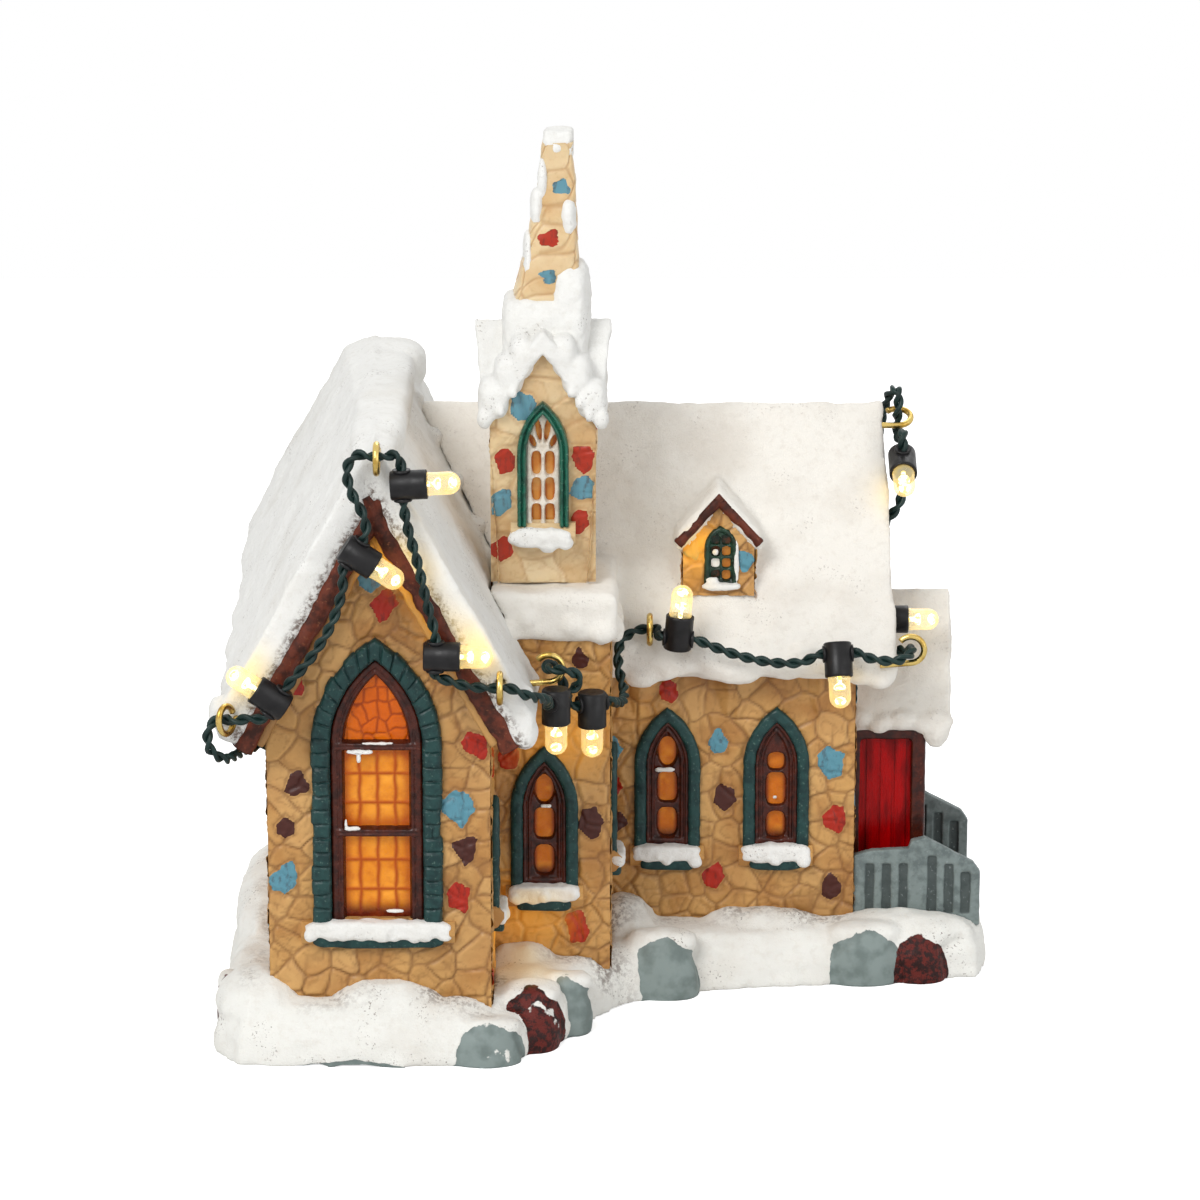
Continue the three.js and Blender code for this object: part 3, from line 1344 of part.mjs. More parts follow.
function lensGeometry() {
  const half = SOCKET_LENGTH / 2;
  const seat = half + SEAT_GAP;
  const radius = LENS / 2;
  const dome = half + LENS_LENGTH - radius;
  const profile = [
    [0, half - PLUG_DEPTH], [LENS_PLUG / 2, half - PLUG_DEPTH], [LENS_PLUG / 2, seat],
    [radius, seat], [radius, dome],
  ];
  for (let angle = 30; angle < 90; angle += 30) {
    const radians = THREE.MathUtils.degToRad(angle);
    profile.push([radius * Math.cos(radians), dome + radius * Math.sin(radians)]);
  }
  profile.push([0, dome + radius]);
  const points = profile.map(([x, y]) => new THREE.Vector2(x, y));
  return geometryOf(solid(new THREE.LatheGeometry(points, 10).rotateX(Math.PI / 2)));
}

function addLamp(lamp, number) {
  const { lens, side, cord } = lampFrame(lamp);
  const holder = new THREE.Group();
  const basis = new THREE.Matrix4().makeBasis(cord, side.clone().negate(), lens);
  basis.determinant() < 0 && basis.makeBasis(cord, side, lens);
  holder.quaternion.setFromRotationMatrix(basis);
  holder.position.copy(vector(lamp.at).addScaledVector(lens, BORE_SETBACK));
  add(`lamp_socket_${number}`, 'socket', socketGeometry(), holder);
  add(`lamp_lens_${number}`, 'lens', lensGeometry(), holder);
  model.add(holder);
}

// Battery box and what it holds

function batteryBox() {
  const [x, y] = BOX_CENTRE;
  const [front, back] = flangeSpan();
  const [sx, sy] = switchPlace();
  const [switchX, switchY] = switchOuter();
  const plateTop = COVER_RECESS + COVER_THICK;
  const chamberFloor = COVER_RECESS + SLIDER_FLOOR;
  const chamberTop = chamberFloor + SLIDER_HEIGHT + 2 * SLIDING_GAP;
  const plate = alongZ(
    rectangle(x, (front + back) / 2, BOX_OUTER[0] / 2 + BOX_FLANGE, (back - front) / 2),
    COVER_RECESS, plateTop,
  );
  const tray = alongZ(rectangle(x, y, BOX_OUTER[0] / 2, BOX_OUTER[1] / 2), COVER_RECESS, BOX_TOP);
  const housing = alongZ(
    rectangle(sx, sy, switchX / 2, switchY / 2), COVER_RECESS, chamberTop + SWITCH_WALL,
  );
  const room = alongZ(rectangle(x, y, BOX_INNER[0] / 2, BOX_INNER[1] / 2), 0, BOX_TOP - BOX_WALL);
  const chamber = alongZ(
    rectangle(sx, sy, SLIDER[0] / 2 + SLIDER_TRAVEL + SLIDING_GAP, SLIDER[1] / 2 + SLIDING_GAP),
    chamberFloor, chamberTop,
  );
  const slot = alongZ(
    rectangle(sx, sy, KNOB[0] / 2 + SLIDER_TRAVEL + SLIDING_GAP, KNOB[1] / 2 + SLIDING_GAP),
    0, chamberFloor + 1,
  );
  return cut(join(plate, tray, housing), room, chamber, slot, hingeRod(HINGE_GAP));
}

// The cover's pins, or the holes for them when grown by a clearance
function hingeRod(grow) {
  const radius = HINGE_PIN / 2 + grow;
  const length = BOX_INNER[0] + 2 * (HINGE_LUG + grow - SLIDING_GAP);
  return new THREE.CylinderGeometry(radius, radius, length, 12)
    .rotateZ(Math.PI / 2).translate(BOX_CENTRE[0], hingeY(), COVER_RECESS + COVER_THICK / 2);
}

function hingeY() {
  return BOX_CENTRE[1] + BOX_INNER[1] / 2 - HINGE_BACKSET;
}

function batteryCover() {
  const [x, y] = BOX_CENTRE;
  const halfX = BOX_INNER[0] / 2 - SLIDING_GAP;
  const front = y - BOX_INNER[1] / 2 + SLIDING_GAP;
  const plate = block(
    [x - halfX, front, COVER_RECESS],
    [x + halfX, hingeY() + HINGE_PIN / 2, COVER_RECESS + COVER_THICK],
  );
  const thumb = block(
    [x - 6, front + 2.6, COVER_RECESS - 1],
    [x + 6, front + 4.6, COVER_RECESS + COVER_THICK / 2],
  );
  return cut(join(plate, hingeRod(0)), thumb);
}

function batteryCell(place) {
  const [x, y] = BOX_CENTRE;
  const radius = CELL / 2;
  const half = CELL_LENGTH / 2;
  const profile = [
    [0, -half], [radius - 0.5, -half], [radius, -half + 0.5], [radius, half - 1.3],
    [radius - 0.5, half - 0.8], [CELL_NUB / 2, half - 0.8], [CELL_NUB / 2, half], [0, half],
  ].map(([r, h]) => new THREE.Vector2(r, h));
  const cell = new THREE.LatheGeometry(profile, 14);
  const towards = place % 2 === 0 ? 0 : Math.PI;
  const offset = (place - (CELL_COUNT - 1) / 2) * CELL_PITCH;
  return geometryOf(solid(cell.rotateX(towards).translate(x + offset, y, CELL_AXIS)));
}

function switchSlider() {
  const [x, y] = switchPlace();
  const foot = COVER_RECESS + SLIDER_FLOOR + SLIDING_GAP;
  const body = block(
    [x - SLIDER[0] / 2, y - SLIDER[1] / 2, foot],
    [x + SLIDER[0] / 2, y + SLIDER[1] / 2, foot + SLIDER_HEIGHT],
  );
  const knob = block(
    [x - KNOB[0] / 2, y - KNOB[1] / 2, KNOB_FOOT],
    [x + KNOB[0] / 2, y + KNOB[1] / 2, foot + 1],
  );
  return join(body, knob);
}

// Board with the lamp that lights the windows from inside, standing on the battery box
function interiorLamp() {
  const [x, y] = BOX_CENTRE;
  const foot = BOX_TOP + SEAT_GAP;
  const [length, width, thick] = LAMP_BOARD;
  const board = block([x - length / 2, y - width / 2, foot], [x + length / 2, y + width / 2, foot + thick]);
  const radius = GLOW_LED / 2;
  const profile = [[0, 0], [radius + 0.4, 0], [radius + 0.4, 1.2], [radius, 1.2], [radius, 5.5]];
  for (let angle = 30; angle < 90; angle += 30) {
    const radians = THREE.MathUtils.degToRad(angle);
    profile.push([radius * Math.cos(radians), 5.5 + radius * Math.sin(radians)]);
  }
  profile.push([0, 5.5 + radius]);
  const led = new THREE.LatheGeometry(profile.map(([r, h]) => new THREE.Vector2(r, h)), 12)
    .rotateX(Math.PI / 2).translate(x, y, foot + thick - OVERLAP);
  return join(board, led);
}

// Bars of each window, in the plane of the wall
function wingBars() {
  const inner = inset(WING_WINDOW, WING_BAND + WING_FRAME);
  const width = inner.half * 2;
  const bars = WING_BARS.map((z) => ({ x: WING_WINDOW.centre, z, width: width + 2, height: 2 }));
  for (const column of [-1, 0, 1]) {
    const x = WING_WINDOW.centre + column * (width / 4);
    bars.push({ x, z: (inner.sill + WING_BARS[1]) / 2, width: 0.7, height: WING_BARS[1] - inner.sill + 2 });
  }
  for (const z of [35.8, 42.6, 55.8, 62.2]) {
    bars.push({ x: WING_WINDOW.centre, z, width: width + 2, height: 0.7 });
  }
  return bars;
}

function lancetBars(window) {
  return [0.34, 0.66].map((part) => ({
    x: window.centre,
    z: window.sill + (window.jamb + window.head) * part + 1,
    width: 2 * window.half,
    height: 1.3,
  }));
}

function shaftBars() {
  const { centre, sill, half } = SHAFT_WINDOW;
  const height = peakOf(SHAFT_WINDOW) - sill;
  const bars = [{ x: centre, z: sill + height / 2, width: 0.9, height }];
  for (let row = 1; row <= 3; row += 1) {
    bars.push({ x: centre, z: sill + row * 5.4, width: half * 2, height: 0.9 });
  }
  return bars;
}

// The model

add('ground_casting', 'snow', geometryOf(groundCasting()));
add('wall_casting', 'stone', geometryOf(wallCasting()));
add('wing_roof', 'snow', geometryOf(wingRoof()));
add('nave_roof', 'snow', geometryOf(naveRoof()));
add('tower_shaft', 'shaft', geometryOf(towerShaft()));
add('tower_roof', 'snow', geometryOf(towerRoof()));
add('spire', 'shaft', geometryOf(spire()));
add('porch_frame', 'brown', geometryOf(porchFrame()));
add('porch_boards', 'red', geometryOf(porchBoards()));
add('porch_roof', 'snow', geometryOf(porchRoof()));
add('entrance_steps', 'grey', geometryOf(entranceSteps()));
add('front_balustrade', 'grey', geometryOf(balustrade(NAVE_AXIS - LANDING_HALF - SEAT_GAP, -1)));
add('rear_balustrade', 'grey', geometryOf(balustrade(NAVE_AXIS + LANDING_HALF + SEAT_GAP, 1)));

function addWindow(name, window, band, width, face, bars, finish = 'brown') {
  add(`${name}_frame`, finish, geometryOf(windowFrame(window, band, width, face, bars)));
  add(`${name}_pane`, 'amber', geometryOf(solid(windowPane(window, band, face))));
}

addWindow('wing_window', WING_WINDOW, WING_BAND, WING_FRAME, WING_FRONT, wingBars());
addWindow('tower_window', TOWER_WINDOW, LANCET_BAND, LANCET_FRAME, TOWER_FRONT, lancetBars(TOWER_WINDOW));
naveWindows().forEach((window, place) => {
  addWindow(`nave_window_${place + 1}`, window, LANCET_BAND, LANCET_FRAME, NAVE_FRONT, lancetBars(window));
});
addWindow('shaft_window', SHAFT_WINDOW, 1.5, 1.4, SHAFT_FRONT, shaftBars(), 'tracery');
add('dormer_window', 'green', geometryOf(dormerWindow()));

add('light_chain', 'cord', geometryOf(solid(tube(cordRoute(), CORD, 8))));
LAMPS.forEach((lamp, place) => addLamp(lamp, place + 1));
for (const [name, eye] of Object.entries(EYES)) {
  add(name, 'brass', geometryOf(solid(tube(eyePoints(eye), WIRE, 6))));
}

add('battery_box', 'case', geometryOf(batteryBox()));
add('battery_cover', 'case', geometryOf(batteryCover()));
for (let place = 0; place < CELL_COUNT; place += 1) {
  add(`battery_${place + 1}`, 'cell', batteryCell(place));
}
add('switch_slider', 'case', geometryOf(switchSlider()));
add('interior_lamp', 'lens', geometryOf(interiorLamp()));

export default model;
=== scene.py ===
"""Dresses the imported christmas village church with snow, stone, glass, lamps, camera and light.

Lengths are millimetres throughout, and become metres where a mesh is made. X runs along the
nave to the right, Y away from the viewer, Z up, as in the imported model.
"""

import logging
import math
from dataclasses import dataclass, field
from enum import Enum
from typing import Callable, Iterable, Optional, Sequence, Union

import bpy
import numpy as np
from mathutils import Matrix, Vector


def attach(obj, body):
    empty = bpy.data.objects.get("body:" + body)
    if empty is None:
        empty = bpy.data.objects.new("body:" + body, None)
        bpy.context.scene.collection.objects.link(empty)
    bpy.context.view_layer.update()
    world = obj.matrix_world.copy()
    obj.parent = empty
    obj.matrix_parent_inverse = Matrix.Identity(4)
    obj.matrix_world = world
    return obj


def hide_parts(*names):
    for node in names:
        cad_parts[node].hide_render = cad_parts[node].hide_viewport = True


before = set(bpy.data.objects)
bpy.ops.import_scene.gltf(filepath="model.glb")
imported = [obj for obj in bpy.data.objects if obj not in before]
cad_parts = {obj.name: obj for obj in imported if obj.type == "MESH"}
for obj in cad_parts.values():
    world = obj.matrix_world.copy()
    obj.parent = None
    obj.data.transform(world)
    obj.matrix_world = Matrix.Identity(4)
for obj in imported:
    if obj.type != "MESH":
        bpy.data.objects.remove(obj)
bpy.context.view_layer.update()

log = logging.getLogger("church")

Array = np.ndarray
Point = tuple[float, float, float]
Plan = tuple[float, float]
Colour = tuple[float, float, float]
Shell = tuple[Array, Array, Array]

MM = 0.001
BODY = "church"
SEED = 41


# Numbers and shapes ----------------------------------------------------------------------


def tint(code: str) -> Colour:
    """Linear colour of a six-digit screen colour code."""
    channels = (int(code[place:place + 2], 16) / 255 for place in (0, 2, 4))
    return tuple(c / 12.92 if c <= 0.04045 else ((c + 0.055) / 1.055) ** 2.4 for c in channels)


def unit(vector: Iterable[float]) -> Array:
    """The vector or vectors scaled to length one."""
    values = np.asarray(vector, float)
    return values / np.linalg.norm(values, axis=-1, keepdims=True)


def smoothstep(values: Array, low: float, high: float) -> Array:
    """Rises smoothly from 0 at low to 1 at high, as 3t^2 - 2t^3."""
    t = np.clip((values - low) / (high - low), 0, 1)
    return t * t * (3 - 2 * t)


def lattice(cells: Array, seed: int) -> Array:
    """Values from -1 to 1 for whole-number cells, from a fixed integer hash.

    Args:
        cells: Array of shape (..., 3).
        seed: Picks one of many patterns.

    Returns:
        Array of shape (...).
    """
    x, y, z = (cells[..., axis].astype(np.int64) for axis in range(3))
    mixed = (x * 374761393 + y * 668265263 + z * 1442695041 + seed * 974634777) & 0xFFFFFFFF
    mixed = ((mixed ^ (mixed >> 13)) * 1274126177) & 0xFFFFFFFF
    return ((mixed ^ (mixed >> 16)) & 0xFFFF) / 32767.5 - 1.0


def rough(points: Array, size: float, seed: int, octaves: int = 1) -> Array:
    """Smooth noise over space: random values on a cubic lattice, blended by smoothstep.

    Args:
        points: Places, shape (..., 3), in millimetres.
        size: Spacing of the lattice; each octave halves it and its height.
        seed: Picks the pattern.
        octaves: How many sizes are added.

    Returns:
        Values of about -1 to 1, shape (...).
    """
    total = np.zeros(points.shape[:-1])
    for octave in range(octaves):
        scaled = points / (size / 2 ** octave)
        cell = np.floor(scaled)
        t = scaled - cell
        t = t * t * (3 - 2 * t)
        for corner in range(8):
            step = np.array([corner & 1, corner >> 1 & 1, corner >> 2 & 1])
            weight = np.prod(np.where(step, t, 1 - t), axis=-1)
            total += weight * lattice(cell + step, seed + octave) / 2 ** octave
    return total


def flat(u: Array, v: Array, layer: float = 0.0) -> Array:
    """Places for noise on a surface with two coordinates."""
    return np.stack([u, v, np.full(u.shape, layer)], -1)


def paving(u: Array, v: Array, size: float, seed: int) -> tuple[Array, Array, Array, Array]:
    """Crazy paving. A point belongs to the nearest of jittered seeds, one in each square of a
    grid, and its distance to the joint is the least to the lines half way to the seeds around.

    Args:
        u: First coordinate on the wall.
        v: Second coordinate on the wall.
        size: Mean width of a stone.
        seed: Picks the pattern.

    Returns:
        Distance to the joint, a random value for each stone, and the stone's middle in u and v.
    """
    column, row = np.floor(u / size), np.floor(v / size)
    best = np.full(u.shape, 1e9)
    middle_u, middle_v, stone = np.zeros(u.shape), np.zeros(u.shape), np.zeros(u.shape)
    seeds = []
    for across in range(-2, 3):
        for up in range(-2, 3):
            cell = flat(column + across, row + up)
            seed_u = (column + across + 0.5 + 0.46 * lattice(cell, seed)) * size
            seed_v = (row + up + 0.5 + 0.46 * lattice(cell, seed + 1)) * size
            seeds.append((seed_u, seed_v))
            distance = np.hypot(u - seed_u, v - seed_v)
            nearer = distance < best
            best = np.where(nearer, distance, best)
            middle_u = np.where(nearer, seed_u, middle_u)
            middle_v = np.where(nearer, seed_v, middle_v)
            stone = np.where(nearer, lattice(cell, seed + 2), stone)
    joint = np.full(u.shape, 1e9)
    for seed_u, seed_v in seeds:
        step_u, step_v = seed_u - middle_u, seed_v - middle_v
        gap = np.hypot(step_u, step_v)
        line = ((middle_u + seed_u) / 2 - u) * step_u + ((middle_v + seed_v) / 2 - v) * step_v
        joint = np.where(gap > 1e-6, np.minimum(joint, line / np.maximum(gap, 1e-6)), joint)
    return joint, stone, middle_u, middle_v


def smooth_path(points: Array, spacing: float) -> Array:
    """A path through the points at even spacing, each stretch a cubic with the slope at each
    point taken from its two neighbours.

    Args:
        points: Shape (n, 3).
        spacing: Distance between the places returned.

    Returns:
        Shape (m, 3).
    """
    before = np.vstack([2 * points[:1] - points[1:2], points[:-1]])
    after = np.vstack([points[1:], 2 * points[-1:] - points[-2:-1]])
    lengths = np.linalg.norm(after[:-1] - points[:-1], axis=1)
    chords = np.linalg.norm(after - before, axis=1)
    slope = (after - before) / chords[:, None]
    t = np.linspace(0, 1, 13)[None, :-1, None]
    a, b = points[:-1, None], points[1:, None]
    sa, sb = (slope[:-1] * lengths[:, None])[:, None], (slope[1:] * lengths[:, None])[:, None]
    fine = ((2 * t ** 3 - 3 * t ** 2 + 1) * a + (t ** 3 - 2 * t ** 2 + t) * sa
            + (3 * t ** 2 - 2 * t ** 3) * b + (t ** 3 - t ** 2) * sb).reshape(-1, 3)
    fine = np.vstack([fine, points[-1:]])
    along = np.concatenate([[0], np.cumsum(np.linalg.norm(np.diff(fine, axis=0), axis=1))])
    even = np.linspace(0, along[-1], max(2, int(round(along[-1] / spacing)) + 1))
    return np.stack([np.interp(even, along, fine[:, axis]) for axis in range(3)], -1)


def path_frame(path: Array) -> tuple[Array, Array]:
    """Two directions square to a path and to each other, carried along it without twist.

    Args:
        path: Shape (n, 3).

    Returns:
        Two arrays of shape (n, 3).
    """
    tangent = unit(np.gradient(path, axis=0))
    start = np.eye(3)[np.argmin(np.abs(tangent[0]))]
    normal = unit(np.cross(tangent[0], start))
    normals = [normal]
    for direction in tangent[1:]:
        normal = unit(normal - direction * (normal @ direction))
        normals.append(normal)
    first = np.array(normals)
    return first, np.cross(tangent, first)


def joined(shells: Sequence[Shell]) -> Shell:
    """One shell of several: points, the point number at each corner, and corners to a face."""
    firsts = np.cumsum([0] + [len(shell[0]) for shell in shells[:-1]])
    return (np.vstack([shell[0] for shell in shells]),
            np.concatenate([shell[1] + first for shell, first in zip(shells, firsts)]),
            np.concatenate([shell[2] for shell in shells]))


class Skin:
    """Collects grids of points and their faces, and makes one mesh object of them."""

    def __init__(self) -> None:
        """Starts with no points."""
        self.points: list[Array] = []
        self.corners: list[Array] = []
        self.sizes: list[Array] = []
        self.count = 0
        self.used = np.zeros(0, int)

    def place(self, points: Array) -> int:
        """Adds loose points and returns the number of the first."""
        first = self.count
        self.points.append(points.reshape(-1, 3))
        self.count += self.points[-1].shape[0]
        return first

    def faces(self, numbers: Array) -> None:
        """Adds faces, one a row of point numbers."""
        self.corners.append(numbers.ravel())
        self.sizes.append(np.full(len(numbers), numbers.shape[1]))

    def grid(self, points: Array, around: bool = False, start: Optional[Array] = None,
             end: Optional[Array] = None, keep: Optional[Array] = None) -> "Skin":
        """Adds a grid of quads; a face runs column first, then row, seen from outside.

        Args:
            points: Shape (rows, columns, 3).
            around: True where the last column joins the first.
            start: A point that closes the first row with a fan.
            end: A point that closes the last row with a fan.
            keep: Which quads stay, shape (rows - 1, columns - 1).

        Returns:
            The skin, so that calls can follow one another.
        """
        rows, columns = points.shape[:2]
        number = self.place(points) + np.arange(rows * columns).reshape(rows, columns)
        if around:
            number = np.hstack([number, number[:, :1]])
        quads = np.stack([number[:-1, :-1], number[:-1, 1:], number[1:, 1:], number[1:, :-1]], -1)
        self.faces(quads[keep] if keep is not None else quads.reshape(-1, 4))
        for point, ring, turned in ((start, number[0], True), (end, number[-1], False)):
            if point is not None:
                middle = self.place(np.asarray(point, float))
                fan = np.stack([ring[:-1], ring[1:], np.full(len(ring) - 1, middle)], -1)
                self.faces(fan[:, ::-1] if turned else fan)
        return self

    def shell(self) -> Shell:
        """All points and faces as one shell."""
        return np.vstack(self.points), np.concatenate(self.corners), np.concatenate(self.sizes)

    def mesh(self, name: str) -> bpy.types.Object:
        """Makes a mesh object in the scene; "used" then tells which points it has kept."""
        points, corners, sizes = self.shell()
        self.used, renumbered = np.unique(corners, return_inverse=True)
        return mesh_object(name, (points[self.used], renumbered.ravel(), sizes))


def mesh_object(name: str, shell: Shell) -> bpy.types.Object:
    """Puts a shell in millimetres into a new object with smooth shading."""
    points, corners, sizes = shell
    data = bpy.data.meshes.new(name)
    data.vertices.add(len(points))
    data.loops.add(len(corners))
    data.polygons.add(len(sizes))
    data.vertices.foreach_set("co", (points * MM).astype(np.float32).ravel())
    data.loops.foreach_set("vertex_index", corners.astype(np.int32))
    starts = np.concatenate([[0], np.cumsum(sizes)[:-1]])
    data.polygons.foreach_set("loop_start", starts.astype(np.int32))
    data.polygons.foreach_set("use_smooth", np.ones(len(sizes), bool))
    data.update(calc_edges=True)
    data.validate()
    piece = bpy.data.objects.new(name, data)
    bpy.context.scene.collection.objects.link(piece)
    return piece


def attribute(piece: bpy.types.Object, name: str, values: Array) -> None:
    """Stores a number, or a colour with alpha, for each point of a piece."""
    kind, key = ("FLOAT", "value") if values.ndim == 1 else ("FLOAT_COLOR", "color")
    layer = piece.data.attributes.new(name, kind, "POINT")
    layer.data.foreach_set(key, values.astype(np.float32).ravel())


def points_of(piece: bpy.types.Object) -> Array:
    """Points of a piece's mesh in millimetres."""
    values = np.empty(len(piece.data.vertices) * 3, np.float32)
    piece.data.vertices.foreach_get("co", values)
    return values.reshape(-1, 3).astype(float) / MM


def normals_of(piece: bpy.types.Object) -> Array:
    """Directions out of a piece's mesh at its points."""
    values = np.empty(len(piece.data.vertices) * 3, np.float32)
    piece.data.vertex_normals.foreach_get("vector", values)
    return values.reshape(-1, 3).astype(float)


def move_points(piece: bpy.types.Object, points: Array) -> None:
    """Puts a piece's points at new places in millimetres."""
    piece.data.vertices.foreach_set("co", (points * MM).astype(np.float32).ravel())
    piece.data.update()


def pillow(centre: Point, half: Point, square: float = 1.0, rows: int = 12, columns: int = 24,
           turn: float = 0.0, lean: float = 0.0) -> tuple[Array, Array, Array]:
    """A closed rounded block: a sphere whose sines and cosines are raised to a power, so that
    a low power squares it off. It turns about Z, and leans about Y, by angles in radians.

    Args:
        centre: Its middle.
        half: Half its size on each axis.
        square: The power, 1 for an ellipsoid and 0.2 for a block with rounded edges.
        rows: Rings between the two poles.
        columns: Points round each ring.
        turn: Angle about Z.
        lean: Angle about Y.

    Returns:
        Grid of rings from the bottom up, the bottom pole and the top pole.
    """
    def power(values: Array) -> Array:
        return np.sign(values) * np.abs(values) ** square

    rise = np.linspace(-math.pi / 2, math.pi / 2, rows + 2)[1:-1, None]
    round_ = np.linspace(0, 2 * math.pi, columns, endpoint=False)[None]
    body = np.stack([power(np.cos(rise)) * power(np.cos(round_)),
                     power(np.cos(rise)) * power(np.sin(round_)),
                     power(np.sin(rise)) * np.ones_like(round_)], -1) * np.array(half)
    poles = np.array([[0, 0, -half[2]], [0, 0, half[2]]], float)
    c, s = math.cos(turn), math.sin(turn)
    cl, sl = math.cos(lean), math.sin(lean)
    spin = np.array([[c, -s, 0], [s, c, 0], [0, 0, 1]]) @ np.array([[cl, 0, sl], [0, 1, 0], [-sl, 0, cl]])
    body, poles = body @ spin.T + np.array(centre), poles @ spin.T + np.array(centre)
    return body, poles[0], poles[1]


def lathe(profile: Sequence[Plan], foot: Array, axis: Array, across: Array,
          sides: int = 32) -> tuple[Array, Array, Array]:
    """A profile of radius and height turned about an axis.

    Args:
        profile: Radius and height of each ring, from the bottom up.
        foot: Where height is nought.
        axis: Direction of the height.
        across: Direction square to the axis.
        sides: Points round each ring.

    Returns:
        Grid of rings, and the points that close the first and the last.
    """
    radius, height = np.array(profile, float).T
    angle = np.linspace(0, 2 * math.pi, sides, endpoint=False)
    ring = np.cos(angle)[:, None] * across + np.sin(angle)[:, None] * np.cross(axis, across)
    body = foot + height[:, None, None] * axis + radius[:, None, None] * ring[None]
    return body, foot + height[0] * axis, foot + height[-1] * axis


def tube(path: Array, radius: float, sides: int = 12) -> tuple[Array, Array, Array]:
    """A round section carried along a path: centre + r (cos a N + sin a B)."""
    normal, binormal = path_frame(path)
    angle = np.linspace(0, 2 * math.pi, sides, endpoint=False)[None, :, None]
    body = path[:, None] + radius * (np.cos(angle) * normal[:, None] + np.sin(angle) * binormal[:, None])
    return body, path[0], path[-1]


# Shaders ---------------------------------------------------------------------------------


class Wire:
    """An output socket of a shader node that takes part in arithmetic."""

    def __init__(self, shader: "Shader", socket: bpy.types.NodeSocket) -> None:
        """Keeps the socket and the shader it belongs to."""
        self.shader = shader
        self.socket = socket

    def maths(self, operation: str, first: object, second: object) -> "Wire":
        """Adds one Math node on the given values or wires."""
        return self.shader.node("ShaderNodeMath", {"operation": operation}, {0: first, 1: second})

    def __add__(self, other: object) -> "Wire":
        """Sum."""
        return self.maths("ADD", self, other)

    def __sub__(self, other: object) -> "Wire":
        """Difference."""
        return self.maths("SUBTRACT", self, other)

    def __rsub__(self, other: object) -> "Wire":
        """Difference from a plain number."""
        return self.maths("SUBTRACT", other, self)

    def __mul__(self, other: object) -> "Wire":
        """Product."""
        return self.maths("MULTIPLY", self, other)

    def above(self, low: float, high: float) -> "Wire":
        """0 below low, 1 above high, smooth between."""
        return self.shader.node("ShaderNodeMapRange", {"interpolation_type": "SMOOTHSTEP"},
                                {"Value": self, "From Min": low, "From Max": high})


class Shader:
    """Builds the nodes of one material that ends in a Principled BSDF."""

    def __init__(self, name: str) -> None:
        """Makes an empty material of that name."""
        self.material = bpy.data.materials.new(name)
        self.material.use_nodes = True
        self.tree = self.material.node_tree
        self.tree.nodes.clear()
        self.place = self.node("ShaderNodeTexCoord", {}, {}, "Object")

    def node(self, kind: str, settings: dict, inputs: dict, output: Union[int, str] = 0) -> Wire:
        """Adds a node.

        Args:
            kind: The node's type.
            settings: Its properties.
            inputs: Values or wires by the name or number of the socket.
            output: Which output is returned.

        Returns:
            The output as a wire.
        """
        made = self.tree.nodes.new(kind)
        for key, value in settings.items():
            setattr(made, key, value)
        for key, value in inputs.items():
            if isinstance(value, Wire):
                self.tree.links.new(value.socket, made.inputs[key])
            else:
                made.inputs[key].default_value = value
        return Wire(self, made.outputs[output])

    def noise(self, scale: float, detail: float = 2.0, rough_: float = 0.5,
              stretch: Optional[Point] = None) -> Wire:
        """Noise on object coordinates.

        Args:
            scale: Cells per metre.
            detail: Number of finer layers.
            rough_: Share of each finer layer.
            stretch: Scale on each axis, less than 1 where the noise is drawn out.

        Returns:
            A value of about 0 to 1.
        """
        place = self.place if stretch is None else self.node(
            "ShaderNodeMapping", {}, {"Vector": self.place, "Scale": stretch})
        return self.node("ShaderNodeTexNoise", {}, {
            "Vector": place, "Scale": scale, "Detail": detail, "Roughness": rough_})

    def mix(self, factor: object, first: object, second: object) -> Wire:
        """Blend of two colours, each a wire or a plain colour."""
        def colour(value: object) -> object:
            return value if isinstance(value, Wire) else (*value, 1.0)
        return self.node("ShaderNodeMix", {"data_type": "RGBA"},
                         {0: factor, 6: colour(first), 7: colour(second)}, 2)

    def painted(self, name: str) -> tuple[Wire, Wire]:
        """Colour and alpha of a point attribute."""
        first = self.node("ShaderNodeAttribute", {"attribute_name": name}, {}, "Color")
        return first, Wire(self, first.socket.node.outputs["Alpha"])

    def amount(self, name: str) -> Wire:
        """Number held in a point attribute."""
        return self.node("ShaderNodeAttribute", {"attribute_name": name}, {}, "Fac")

    def bump(self, height: Wire, depth: float, strength: float = 0.6) -> Wire:
        """Normal from a height of 0 to 1, whose full step is depth millimetres."""
        return self.node("ShaderNodeBump", {}, {
            "Height": height, "Distance": depth * MM, "Strength": strength}, "Normal")

    def finish(self, **inputs: object) -> bpy.types.Material:
        """Adds the surface and the output, and returns the material.

        Args:
            **inputs: Socket values, the names' spaces written as underscores.

        Returns:
            The finished material.
        """
        values = {}
        for key, value in inputs.items():
            if isinstance(value, tuple) and "Radius" not in key:
                value = (*value, 1.0)
            values[key.replace("_", " ")] = value
        surface = self.node("ShaderNodeBsdfPrincipled", {}, values, "BSDF")
        end = self.tree.nodes.new("ShaderNodeOutputMaterial")
        self.tree.links.new(surface.socket, end.inputs["Surface"])
        return self.material


BLACK = (0.0, 0.0, 0.0)


